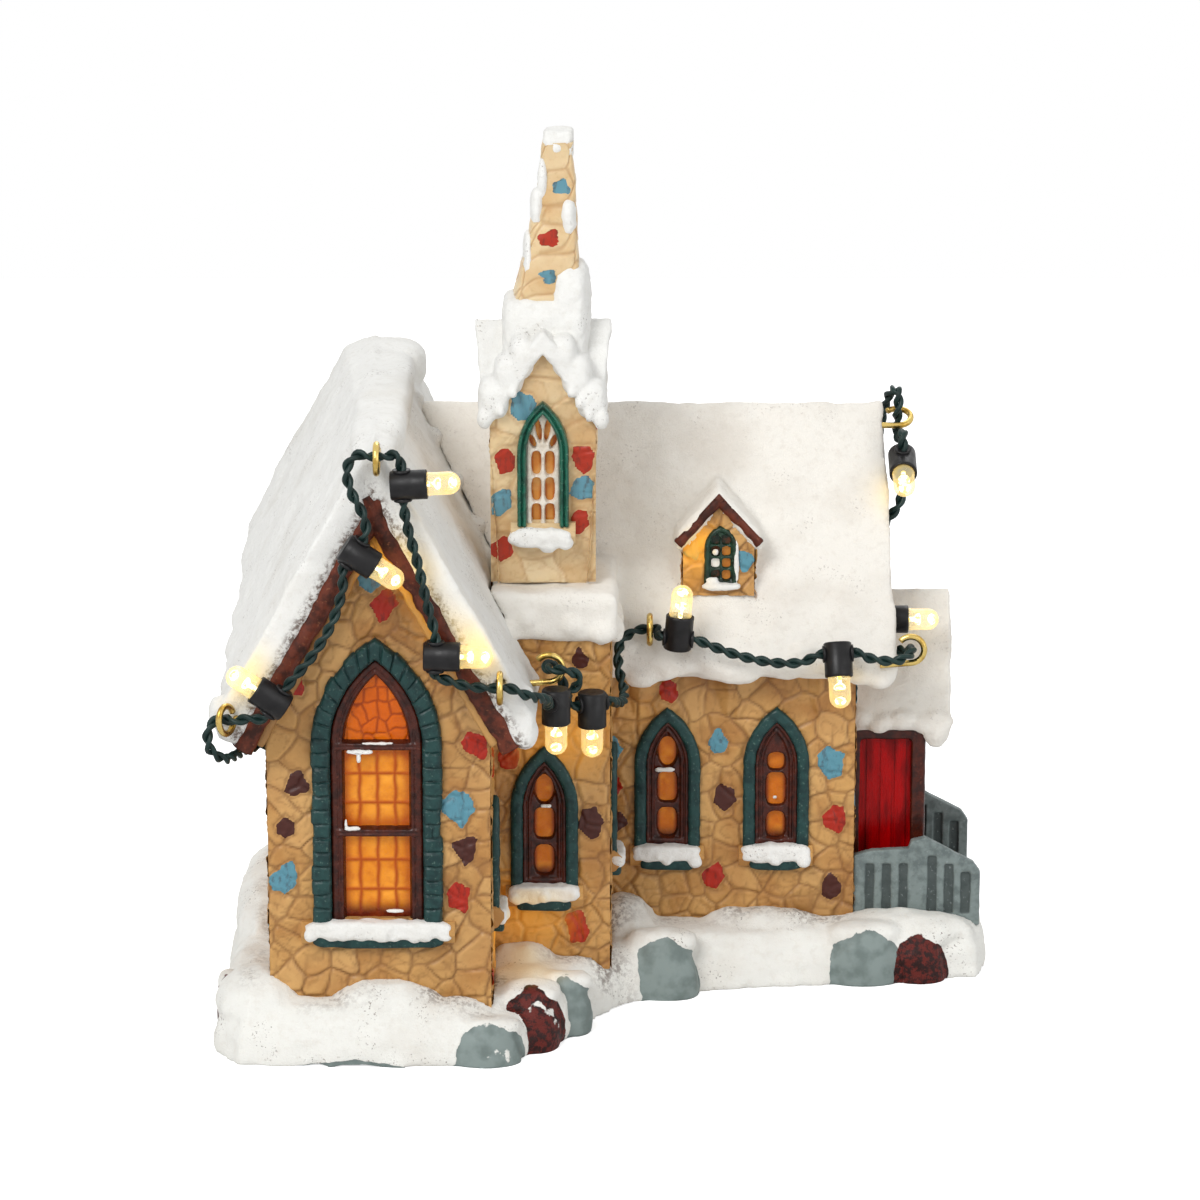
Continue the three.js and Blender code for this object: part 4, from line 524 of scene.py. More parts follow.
@dataclass(frozen=True)
class SnowPaint:
    """Matt white paint on sculpted resin, with a faint wash, brown specks and a fine grain,
    warm where a lamp shines on it. On the ground the rocks are painted on the same casting."""

    name: str
    white: Colour = tint("e9e8e4")
    wash: Colour = tint("d3cfc6")
    speck: Colour = tint("5d483c")
    specks: float = 0.5
    washed: float = 0.4
    rocks: bool = False

    def build(self) -> bpy.types.Material:
        """Makes the material."""
        s = Shader(self.name)
        colour = s.mix(s.noise(60, 3).above(0.46, 0.75) * self.washed, self.white, self.wash)
        colour = s.mix(s.noise(560, 3, 0.65).above(0.48, 0.74) * 0.3, colour, self.wash)
        grains = s.noise(1700, 2, 0.6).above(0.6, 0.68)
        patches = s.noise(115, 2).above(0.52, 0.66)
        colour = s.mix(grains * patches * self.specks, colour, self.speck)
        soiled = s.amount("dirt") * (s.noise(800, 3, 0.7).above(0.42, 0.62) * 0.9 + 0.08)
        colour = s.mix(soiled, colour, self.speck)
        height = s.noise(1100, 4, 0.7) * 0.6 + s.noise(3000, 2, 0.5) * 0.4
        roughness = 0.85
        if self.rocks:
            edge = (s.noise(520, 3) - 0.5) * 0.9
            smooth, crag = ((s.amount(name) + edge).above(0.0, 0.1) for name in ("rock", "crag"))
            grey = s.mix(s.noise(240, 3).above(0.4, 0.66), tint("84908d"), tint("6d7976"))
            red = s.mix(s.noise(620, 3, 0.7).above(0.42, 0.58), tint("5e1d16"), tint("260b09"))
            colour = s.mix(crag, s.mix(smooth, colour, grey), red)
            height = height * (1 - smooth * 0.8) + crag * s.noise(420, 3, 0.7) * 1.6
            roughness = 0.85 - (smooth + crag) * 0.35
        glow = s.amount("glow").above(0.1, 1.0)
        return s.finish(Base_Color=s.mix(glow * 0.6, colour, tint("ffe39a")), Roughness=roughness,
                        Normal=s.bump(height, 0.5), Specular_IOR_Level=0.25,
                        Emission_Color=s.mix(glow, BLACK, tint("b8923e")), Emission_Strength=0.22)


@dataclass(frozen=True)
class StonePaint:
    """Satin tan paint, darker in the joints. A carved facing has stones of their own tone, some picked out in
    colour, and is warm where a lamp shines on it. An inner colour other than black is a painted glow that the paint
    gives off everywhere."""

    name: str
    light: Colour = tint("c69759")
    dark: Colour = tint("b07d43")
    joint: Colour = tint("6b421f")
    pale: Colour = tint("d3a76c")
    joints: float = 0.6
    depth: float = 0.2
    soft: float = 0.0
    # Colour of a painted glow, a faint light that the paint gives off of its own; black for none.
    inner: Colour = BLACK
    carved: bool = True

    def build(self) -> bpy.types.Material:
        """Makes the material."""
        s = Shader(self.name)
        colour = s.mix(s.noise(120, 3).above(0.38, 0.68), self.light, self.dark)
        colour = s.mix(s.noise(40, 2).above(0.5, 0.78) * 0.3, colour, self.joint)
        colour = s.mix(s.noise(900, 3, 0.65).above(0.5, 0.78) * 0.22, colour, self.joint)
        height = s.noise(1200, 3, 0.6) * 0.6 + s.noise(420, 2) * 0.5
        # Painted glow: the paint gives off its inner colour, though it is no lamp.
        emission = self.inner
        if self.carved:
            colour = s.mix(s.amount("tone").above(0.1, 1.0) * 0.45, colour, self.pale)
            colour = s.mix((0.0 - s.amount("tone")).above(0.2, 1.0) * 0.35, colour, self.dark)
            colour = s.mix((1 - s.amount("relief")) * self.joints, colour, self.joint)
            paint, cover = s.painted("paint")
            ragged = (cover + (s.noise(1100, 2) - 0.5) * 0.6).above(0.4, 0.52)
            brushed = s.mix(s.noise(900, 3, 0.6, (1, 1, 0.4)).above(0.5, 0.7) * 0.5, paint, tint("3a1712"))
            colour = s.mix(ragged, colour, brushed)
            glow = s.amount("glow").above(0.08, 0.9)
            colour = s.mix(glow * 0.75, colour, tint("f7ae2e"))
            emission = s.mix(glow, self.inner, tint("a8650f"))
        return s.finish(Base_Color=colour, Roughness=0.42, Normal=s.bump(height, self.depth),
                        Specular_IOR_Level=0.35, Subsurface_Weight=self.soft,
                        Subsurface_Radius=(0.8, 0.5, 0.25), Subsurface_Scale=0.003,
                        Emission_Color=emission, Emission_Strength=0.7)


@dataclass(frozen=True)
class Enamel:
    """Brushed paint in two tones, with worn light edges left by dry brushing, and painted shade in the grooves
    where a colour for it is given.
    """

    name: str
    base: Colour
    second: Colour
    worn: Colour = tint("c9b79f")
    wear: float = 0.25
    roughness: float = 0.4
    grain: Point = (1.0, 1.0, 1.0)
    coat: float = 0.0
    scale: float = 420.0
    depth: float = 0.18
    shine: float = 0.25
    # Colour of the painted shade in the gaps between slats, or None for none.
    groove_shade: Optional[Colour] = None

    def build(self) -> bpy.types.Material:
        """Makes the material."""
        s = Shader(self.name)
        streaks = s.noise(self.scale, 3, 0.6, self.grain)
        colour = s.mix(streaks.above(0.38, 0.66), self.base, self.second)
        if self.groove_shade is not None:
            # Painted shade: darker between the slats, where the gaps would lie in shade.
            colour = s.mix(s.amount("groove") * 0.8, colour, self.groove_shade)
        scuffs = s.noise(self.scale * 3.4, 2, 0.6, self.grain).above(0.62, 0.72)
        colour = s.mix(scuffs * self.wear, colour, self.worn)
        height = streaks * 0.6 + s.noise(self.scale * 4, 2) * 0.4
        return s.finish(Base_Color=colour, Roughness=streaks.above(0.3, 0.8) * 0.18 + (self.roughness - 0.06),
                        Normal=s.bump(height, self.depth), Specular_IOR_Level=self.shine,
                        Coat_Weight=self.coat, Coat_Roughness=0.15)


@dataclass(frozen=True)
class LitGlass:
    """Amber film that glows with painted light, as if lit from behind. A painted sheet has its leads in its own
    colours and painted shade towards its edges; the pane behind it is plain."""

    name: str
    plain: Optional[Colour] = None
    glow: float = 0.3

    def build(self) -> bpy.types.Material:
        """Makes the material."""
        s = Shader(self.name)
        colour = s.painted("paint")[0] if self.plain is None else s.mix(0.0, self.plain, BLACK)
        cloud = s.noise(520, 3, 0.6).above(0.42, 0.72)
        colour = s.mix(cloud * 0.32, colour, tint("9c3f06"))
        return s.finish(Base_Color=colour, Roughness=cloud * 0.15 + 0.25, Emission_Color=colour,
                        Emission_Strength=self.glow, Coat_Weight=0.08, Coat_Roughness=0.12,
                        Specular_IOR_Level=0.2, Normal=s.bump(s.noise(700, 3), 0.25))


@dataclass(frozen=True)
class Metal:
    """Bright plated wire with fine draw marks and dulled patches."""

    name: str
    bright: Colour
    dull: Colour

    def build(self) -> bpy.types.Material:
        """Makes the material."""
        s = Shader(self.name)
        dull = s.noise(300, 3).above(0.45, 0.7)
        return s.finish(Base_Color=s.mix(dull, self.bright, self.dull), Metallic=1.0,
                        Roughness=dull * 0.15 + 0.22, Normal=s.bump(s.noise(2600, 2), 0.04))


@dataclass(frozen=True)
class Moulded:
    """Moulded plastic or sheath: one colour with a fine even texture and slight mottling."""

    name: str
    colour: Colour
    second: Colour
    roughness: float = 0.42
    scale: float = 1500.0
    depth: float = 0.05
    shine: float = 0.25

    def build(self) -> bpy.types.Material:
        """Makes the material."""
        s = Shader(self.name)
        mottled = s.noise(self.scale / 4, 3).above(0.4, 0.7)
        return s.finish(Base_Color=s.mix(mottled, self.colour, self.second),
                        Roughness=mottled * 0.14 + (self.roughness - 0.05),
                        Specular_IOR_Level=self.shine, Normal=s.bump(s.noise(self.scale, 3, 0.6), self.depth))


@dataclass(frozen=True)
class Lens:
    """Clear moulded plastic, faintly yellow, denser towards its edges as seen."""

    name: str

    def build(self) -> bpy.types.Material:
        """Makes the material."""
        s = Shader(self.name)
        swirl = s.noise(420, 2).above(0.3, 0.7)
        facing = s.node("ShaderNodeLayerWeight", {}, {"Blend": 0.3}, "Facing")
        return s.finish(Base_Color=s.mix(swirl, tint("fff3c8"), tint("ffdf82")), Roughness=0.06,
                        Alpha=facing * 0.55 + swirl * 0.1 + 0.2,
                        Emission_Color=s.mix(facing, tint("fff0b4"), tint("f5bb3a")), Emission_Strength=0.35,
                        Coat_Weight=0.6, Coat_Roughness=0.03, Normal=s.bump(s.noise(700, 2), 0.05))


@dataclass(frozen=True)
class Chip:
    """The lit core of a lamp, white in the middle and yellow round it."""

    name: str

    def build(self) -> bpy.types.Material:
        """Makes the material."""
        s = Shader(self.name)
        cloud = s.noise(900, 2)
        colour = s.mix(cloud.above(0.42, 0.62), tint("fff8dc"), tint("ffd257"))
        return s.finish(Base_Color=colour, Roughness=0.3, Emission_Color=colour, Emission_Strength=2.6,
                        Normal=s.bump(cloud, 0.05))


class Finish(Enum):
    """The finishes on the church, each one a recipe that is built once."""

    SNOW = SnowPaint("packed_snow")
    NAVE_SNOW = SnowPaint("brushed_snow", white=tint("ebe7df"), wash=tint("d2cabf"), washed=0.5, specks=0.3)
    GROUND_SNOW = SnowPaint("bank_snow", white=tint("e9e8e2"), wash=tint("d4cdc2"), specks=0.7, rocks=True)
    STONE = StonePaint("carved_stone")
    # The pale stone of the upper tower carries a faint painted glow in its inner colour.
    PALE_STONE = StonePaint("pale_carved_stone", light=tint("d9c096"), dark=tint("cba878"), joint=tint("a06c34"),
                            pale=tint("e3d0ac"), joints=0.4, depth=0.14, soft=0.2, inner=tint("2c2113"))
    PLAIN_STONE = StonePaint("smooth_stone", carved=False)
    PLAIN_PALE = StonePaint("smooth_pale_stone", light=tint("d9c096"), dark=tint("cba878"), joint=tint("a06c34"),
                            depth=0.14, carved=False)
    BROWN = Enamel("brown_enamel", tint("4a1b0e"), tint("2b0f09"), worn=tint("8f5540"), roughness=0.32, coat=0.1)
    BOARDS = Enamel("verge_enamel", tint("632c1b"), tint("35170e"), worn=tint("9a6242"), wear=0.35,
                    roughness=0.5, scale=300, depth=0.35)
    TEAL = Enamel("teal_enamel", tint("1f403e"), tint("153030"), worn=tint("7f9c8e"), wear=0.3,
                  roughness=0.4, coat=0.06)
    GREEN = Enamel("green_enamel", tint("1d5f4b"), tint("103f31"), worn=tint("8fc0a4"), wear=0.35,
                   roughness=0.3, coat=0.3)
    DARK_GREEN = Enamel("dark_green_enamel", tint("1c3a2a"), tint("0d1d15"), worn=tint("6f9a80"), wear=0.4,
                        roughness=0.35, coat=0.2)
    RED = Enamel("red_gloss", tint("b80004"), tint("860003"), worn=tint("dc1018"), wear=0.25,
                 roughness=0.3, coat=0.08, shine=0.12, grain=(1.0, 1.0, 0.2))
    # The grey balustrades carry painted shade between their slats.
    GREY = Enamel("grey_enamel", tint("7b8684"), tint("626c6b"), worn=tint("a6afae"), wear=0.3, roughness=0.55,
                  groove_shade=tint("353c3b"))
    WHITE = Enamel("white_enamel", tint("e6ddd0"), tint("cbbfae"), worn=tint("a06a3a"), wear=0.25, roughness=0.45)
    GLASS = LitGlass("painted_amber")
    PANE = LitGlass("plain_amber", plain=tint("c8741c"), glow=0.22)
    BRASS = Metal("bright_brass", tint("d9bd72"), tint("a88438"))
    SOCKET = Moulded("lamp_black", tint("1b1a1b"), tint("111011"), roughness=0.4)
    CORD = Moulded("cord_sheath", tint("1b312e"), tint("10211f"), roughness=0.42, scale=900)
    CASE = Moulded("case_moulding", tint("242426"), tint("19191b"), roughness=0.5, depth=0.12)
    SLEEVE = Moulded("cell_wrap", tint("3f7a57"), tint("2f6045"), roughness=0.3)
    LENS = Lens("clear_lens")
    CHIP = Chip("lit_core")


MADE: dict[Finish, bpy.types.Material] = {}


def material(finish: Finish) -> bpy.types.Material:
    """The finish's material, made the first time it is asked for."""
    if finish not in MADE:
        MADE[finish] = finish.value.build()
    return MADE[finish]


def dress(piece: bpy.types.Object, finishes: Union[Finish, Sequence[Finish]],
          replaces: Sequence[str] = ()) -> bpy.types.Object:
    """Gives a piece its finishes, and lets it ride on the church.

    Args:
        piece: The finished piece.
        finishes: What covers it, in the order of its material numbers.
        replaces: CAD nodes that it stands for.

    Returns:
        The piece.
    """
    piece.data.materials.clear()
    for finish in [finishes] if isinstance(finishes, Finish) else finishes:
        piece.data.materials.append(material(finish))
    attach(piece, BODY)
    if replaces:
        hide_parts(*replaces)
    log.info("%s: %d faces", piece.name, len(piece.data.polygons))
    return piece


# Lamps and eyes --------------------------------------------------------------------------


@dataclass(frozen=True)
class Lamp:
    """A lamp on the chain: the cord's place in the socket, where the lens points, and which
    way the cord runs through."""

    at: Point
    lens: Point
    cord: Point

    def axes(self) -> tuple[Array, Array, Array]:
        """Directions out of the lens, square to lens and cord, and along the cord."""
        lens = unit(self.lens)
        side = unit(np.cross(lens, self.cord))
        return lens, side, np.cross(side, lens)

    def mouths(self) -> list[Array]:
        """Where the cord goes in and comes out."""
        cord = self.axes()[2]
        return [np.array(self.at) - 4.0 * cord, np.array(self.at) + 4.0 * cord]


@dataclass(frozen=True)
class Eye:
    """A screw eye, or a hook where it is open."""

    base: Point
    out: Point
    up: Point
    open: bool = False

    def centre(self) -> Array:
        """Middle of the ring."""
        out, up = unit(self.out), unit(self.up)
        return np.array(self.base) + (3 * out + 3 * up if self.open else 4 * out)

    def mouths(self, sense: int, shift: float = 0.0) -> list[Array]:
        """Two places on the ring's axis, before and behind it."""
        axis = unit(np.cross(self.out, self.up))
        middle = self.centre() + shift * unit(self.up)
        return [middle - sense * 1.9 * axis, middle + sense * 1.9 * axis]

    def path(self) -> Array:
        """The wire's middle line: a shank, then an arc of the ring."""
        out, up = unit(self.out), unit(self.up)
        first, last = (-90, 135) if self.open else (-158, 150)
        angle = np.radians(np.linspace(first, last, 40))[:, None]
        ring = self.centre() + 3 * (np.cos(angle) * out + np.sin(angle) * up)
        shank = np.array(self.base) + np.array([[-4.0], [-2.0], [-0.2]]) * out
        return smooth_path(np.vstack([shank, ring]), 0.45)


LAMPS = (
    Lamp((-70.1, -58.6, 81.9), (-0.83, 0, 0.56), (0.56, 0, 0.83)),
    Lamp((-53.4, -58.6, 114.2), (0.83, 0, -0.56), (0.56, 0, 0.83)),
    Lamp((-43.2, -58.6, 128.7), (1, 0, 0.05), (0.05, 0, -1)),
    Lamp((-36.7, -58, 91.7), (1, 0, -0.02), (0.02, 0, -1)),
    Lamp((-11.6, -38, 76.4), (0, 0, -1), (0.4, 0.9, 0)),
    Lamp((-3.9, -31, 73.7), (0, 0, -1), (0.9, 0.4, 0)),
    Lamp((15, -4.2, 80.8), (0.09, 0, 1), (1, 0, -0.09)),
    Lamp((50.2, -4.6, 77.4), (0.05, -0.35, -0.93), (1, 0.05, 0)),
    Lamp((61.5, 14, 80.2), (1, 0, 0), (-0.1, 0.4, 0.9)),
    Lamp((65.3, 21, 115.1), (0, -0.92, -0.39), (0, -0.39, 0.92)),
)

EYES = {
    "ridge_eye": Eye((-48.5, -54, 134.2), (0, -1, 0), (0, 0, 1)),
    "left_eave_eye": Eye((-78.9, -54, 77.1), (-0.45, -0.88, 0.15), (0, 0, 1)),
    "right_eave_eye": Eye((-23.2, -54, 84.8), (0, -1, 0), (0, 0, 1)),
    "tower_hook": Eye((-16, -31.6, 78.4), (1, 0, 0.08), (-0.08, 0, 1), True),
    "nave_left_eye": Eye((8.8, 3.5, 79.8), (0, -0.885, 0.466), (0, 0.466, 0.885)),
    "nave_right_hook": Eye((63.8, 0.6, 73.6), (1, 0, 0.08), (-0.08, 0, 1), True),
    "nave_ridge_hook": Eye((61.6, 27.4, 121.6), (1, 0, 0), (0, 0.9, 0.43), True),
}

# Where light gathers: place, reach and power. The nook between wing and tower comes first.
POOLS = [(np.array(place), reach, power) for place, reach, power in (
    ((-18.0, -31.0, 23.0), 15.0, 1.0), ((-40.5, -51.0, 108.0), 6.5, 1.4), ((-35.5, -51.0, 98.0), 6.5, 1.4),
    ((-14.0, -25.0, 60.0), 14.0, 0.55), ((19.0, 3.5, 99.5), 6.5, 1.2), ((8.0, 3.0, 60.0), 12.0, 0.3))]


def lamplight(points: Array, normals: Array) -> Array:
    """How strongly the lamps light each point: for each lamp exp(-(distance / reach)^2), more
    where the surface faces it.

    Args:
        points: Shape (n, 3).
        normals: Shape (n, 3).

    Returns:
        Values from 0 to 1, shape (n).
    """
    total = np.zeros(len(points))
    for place, reach, power in POOLS + [(np.array(lamp.at) + 9.0 * lamp.axes()[0], 9.5, 1.2) for lamp in LAMPS]:
        ray = place - points
        far = np.linalg.norm(ray, axis=1)
        facing = np.clip(np.sum(ray * normals, axis=1) / np.maximum(far, 1e-6), 0, 1)
        total += power * np.exp(-(far / reach) ** 2) * (0.3 + 0.7 * facing)
    return np.clip(total, 0, 1)


# Castings with soft skins ----------------------------------------------------------------


def merged_copy(node: str) -> Shell:
    """A CAD node's mesh in millimetres, its doubled points merged."""
    points = points_of(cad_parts[node])
    _, first, inverse = np.unique(np.round(points, 4), axis=0, return_index=True, return_inverse=True)
    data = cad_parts[node].data
    corners = np.empty(len(data.loops), int)
    data.loops.foreach_get("vertex_index", corners)
    triangles = inverse.ravel()[corners].reshape(-1, 3)
    a, b, c = triangles.T
    whole = triangles[(a != b) & (b != c) & (a != c)]
    return points[first], whole.ravel(), np.full(len(whole), 3)


def plan_distance(points: Array) -> Array:
    """Distance in plan from the outer faces of wing, tower base and nave."""
    boxes = ((-49.4, 4.3, 23.5, 50.3), (-13.0, 17.8, 12.7, 36.8), (12.2, 31.3, 37.9, 23.3))
    gaps = [np.hypot(np.maximum(np.abs(points[:, 0] - x) - half_x, 0),
                     np.maximum(np.abs(points[:, 1] - y) - half_y, 0)) for x, y, half_x, half_y in boxes]
    return np.minimum.reduce(gaps)


@dataclass
class Cast:
    """Modelled snow, or any cast piece with soft edges. Closed shells, CAD copies or lumps,
    are fused into one skin of even small squares, smoothed by moving each point to the mean
    of its neighbours, and then roughened along the normals by noise."""

    name: str
    finish: Finish = Finish.SNOW
    slot: str = "painted_snow"
    cell: float = 0.8
    smooth: int = 5
    heights: tuple[float, float, float] = (0.3, 0.18, 0.08)
    sizes: tuple[float, float, float] = (9.0, 3.0, 1.2)
    marks: Callable[[Array], dict[str, Array]] = lambda points: {"dirt": np.zeros(len(points))}
    shells: list = field(default_factory=list)

    def node(self, name: str) -> "Cast":
        """Adds a copy of a CAD node."""
        self.shells.append(merged_copy(name))
        return self

    def lump(self, centre: Point, half: Point, square: float = 1.0, turn: float = 0.0,
             lean: float = 0.0) -> "Cast":
        """Adds a rounded lump."""
        body, foot, top = pillow(centre, half, square, 10, 20, turn, lean)
        self.shells.append(Skin().grid(body, around=True, start=foot, end=top).shell())
        return self

    def build(self, replaces: Sequence[str] = ()) -> bpy.types.Object:
        """Makes the piece, in place of the CAD nodes named."""
        raw = mesh_object(self.name + "_raw", joined(self.shells))
        remesh = raw.modifiers.new("fuse", "REMESH")
        remesh.mode = "VOXEL"
        remesh.voxel_size = self.cell * MM
        data = bpy.data.meshes.new_from_object(raw.evaluated_get(bpy.context.evaluated_depsgraph_get()))
        old = raw.data
        bpy.data.objects.remove(raw)
        bpy.data.meshes.remove(old)
        data.name = self.name
        piece = bpy.data.objects.new(self.name, data)
        bpy.context.scene.collection.objects.link(piece)
        data.polygons.foreach_set("use_smooth", np.ones(len(data.polygons), bool))
        move_points(piece, self._relaxed(piece))
        points, normals = points_of(piece), normals_of(piece)
        lift = sum(height * rough(points, size, SEED + place)
                   for place, (height, size) in enumerate(zip(self.heights, self.sizes)))
        points = points + normals * lift[:, None]
        points[:, 2] = np.maximum(points[:, 2], 0.0)
        move_points(piece, points)
        attribute(piece, "glow", lamplight(points, normals))
        for name, values in self.marks(points).items():
            attribute(piece, name, values)
        return dress(piece, self.finish, replaces)

    def _relaxed(self, piece: bpy.types.Object) -> Array:
        """Points after each has moved half way to the mean of its neighbours, some times over,
        and back out by a little less each time, so that the mass does not shrink."""
        data = piece.data
        edges = np.empty(len(data.edges) * 2, int)
        data.edges.foreach_get("vertices", edges)
        a, b = edges.reshape(-1, 2).T
        points = points_of(piece)
        count = np.bincount(a, minlength=len(points)) + np.bincount(b, minlength=len(points))
        for _ in range(self.smooth):
            for share in (0.5, -0.48):
                total = np.stack([np.bincount(a, points[b, axis], len(points))
                                  + np.bincount(b, points[a, axis], len(points)) for axis in range(3)], -1)
                points = points + share * (total / np.maximum(count, 1)[:, None] - points)
        return points


# Walls -----------------------------------------------------------------------------------


@dataclass(frozen=True)
class Face:
    """A wall's outer face, towards the viewer at one Y, or towards the right at one X."""

    at: float
    right: bool = False

    def place(self, along: Array, out: Array, height: Array) -> tuple:
        """X, Y and Z of a place given along the wall, out of it and up it."""
        return (self.at + out, along, height) if self.right else (along, self.at - out, height)

    def points(self, along: Array, out: Array, height: Array) -> Array:
        """Places as an array of shape (..., 3)."""
        return np.stack(np.broadcast_arrays(*self.place(along, out, height)), -1)

    def size(self, along: float, out: float, height: float) -> Point:
        """Half sizes on X, Y and Z."""
        return (out, along, height) if self.right else (along, out, height)


@dataclass(frozen=True)
class Arch:
    """A pointed arch in the plane of a wall: straight jambs and two arcs that meet at the peak."""

    centre: float
    half: float
    sill: float
    spring: float
    peak: float

    @property
    def radius(self) -> float:
        """Radius of the two arcs."""
        return (self.half ** 2 + (self.peak - self.spring) ** 2) / (2 * self.half)

    def loop(self, inset: Array, spacing: float) -> Array:
        """Outlines of the arch drawn smaller, its arcs about the same centres: places along
        and up the wall, up the right side and down the left, each with as many points.

        Args:
            inset: How much smaller each outline is.
            spacing: Rough distance between points.

        Returns:
            Shape (points, outlines, 2).
        """
        inset = np.asarray(inset, float)[None]
        radius, half = self.radius - inset, self.half - inset
        sweep = np.arccos(np.clip((self.radius - self.half) / radius, -1, 1))
        t = np.linspace(0, 1, max(2, int((self.spring - self.sill) / spacing)), endpoint=False)[:, None]
        right = np.stack([half + 0 * t, self.sill + (self.spring - self.sill) * t + 0 * half], -1)
        t = np.linspace(0, 1, max(4, int(self.radius * sweep[0, 0] / spacing)), endpoint=False)[:, None]
        bend = np.stack([self.half - self.radius + radius * np.cos(sweep * t),
                         self.spring + radius * np.sin(sweep * t)], -1)
        peak = np.stack([0 * inset, self.spring + radius * np.sin(sweep)], -1)
        rising = np.concatenate([right, bend])
        outline = np.concatenate([rising, peak, rising[::-1] * np.array([-1.0, 1.0])])
        return outline + np.array([self.centre, 0.0])

    def depth(self, along: Array, height: Array) -> Array:
        """Distance into the arch from its jambs and arcs, less than 0 outside."""
        across = np.abs(along - self.centre)
        reach = np.hypot(across - (self.half - self.radius), height - self.spring)
        return np.where(height > self.spring, self.radius - reach, self.half - across)

    def inside(self, along: Array, height: Array, inset: float) -> Array:
        """Which places lie inside the outline drawn smaller."""
        return (self.depth(along, height) > inset) & (height > self.sill + inset)


RED_STONE = tint("a62008")
BLUE_STONE = tint("578c9c")
BROWN_STONE = tint("43190f")


@dataclass(frozen=True)
class Daub:
    """One stone picked out in colour: its place along and up the wall, and its radius."""

    along: float
    height: float
    colour: Colour
    radius: float = 2.3

    def edge(self, along: Array, height: Array) -> Array:
        """How far inside a six-sided outline a place lies: the least distance to six lines
        square to directions some 60 degrees apart."""
        number = np.array([[self.along, self.height, 1.0]])
        first = 3.0 * float(lattice(number * 7, 1)[0])
        inner = np.full(along.shape, 1e9)
        for side in range(6):
            change = float(lattice(number * 7 + side, 2)[0])
            angle = first + math.radians(60 * side + 16 * change)
            line = self.radius * (1 + 0.22 * change) - ((along - self.along) * math.cos(angle)
                                                       + (height - self.height) * 0.82 * math.sin(angle))
            inner = np.minimum(inner, line)
        return inner


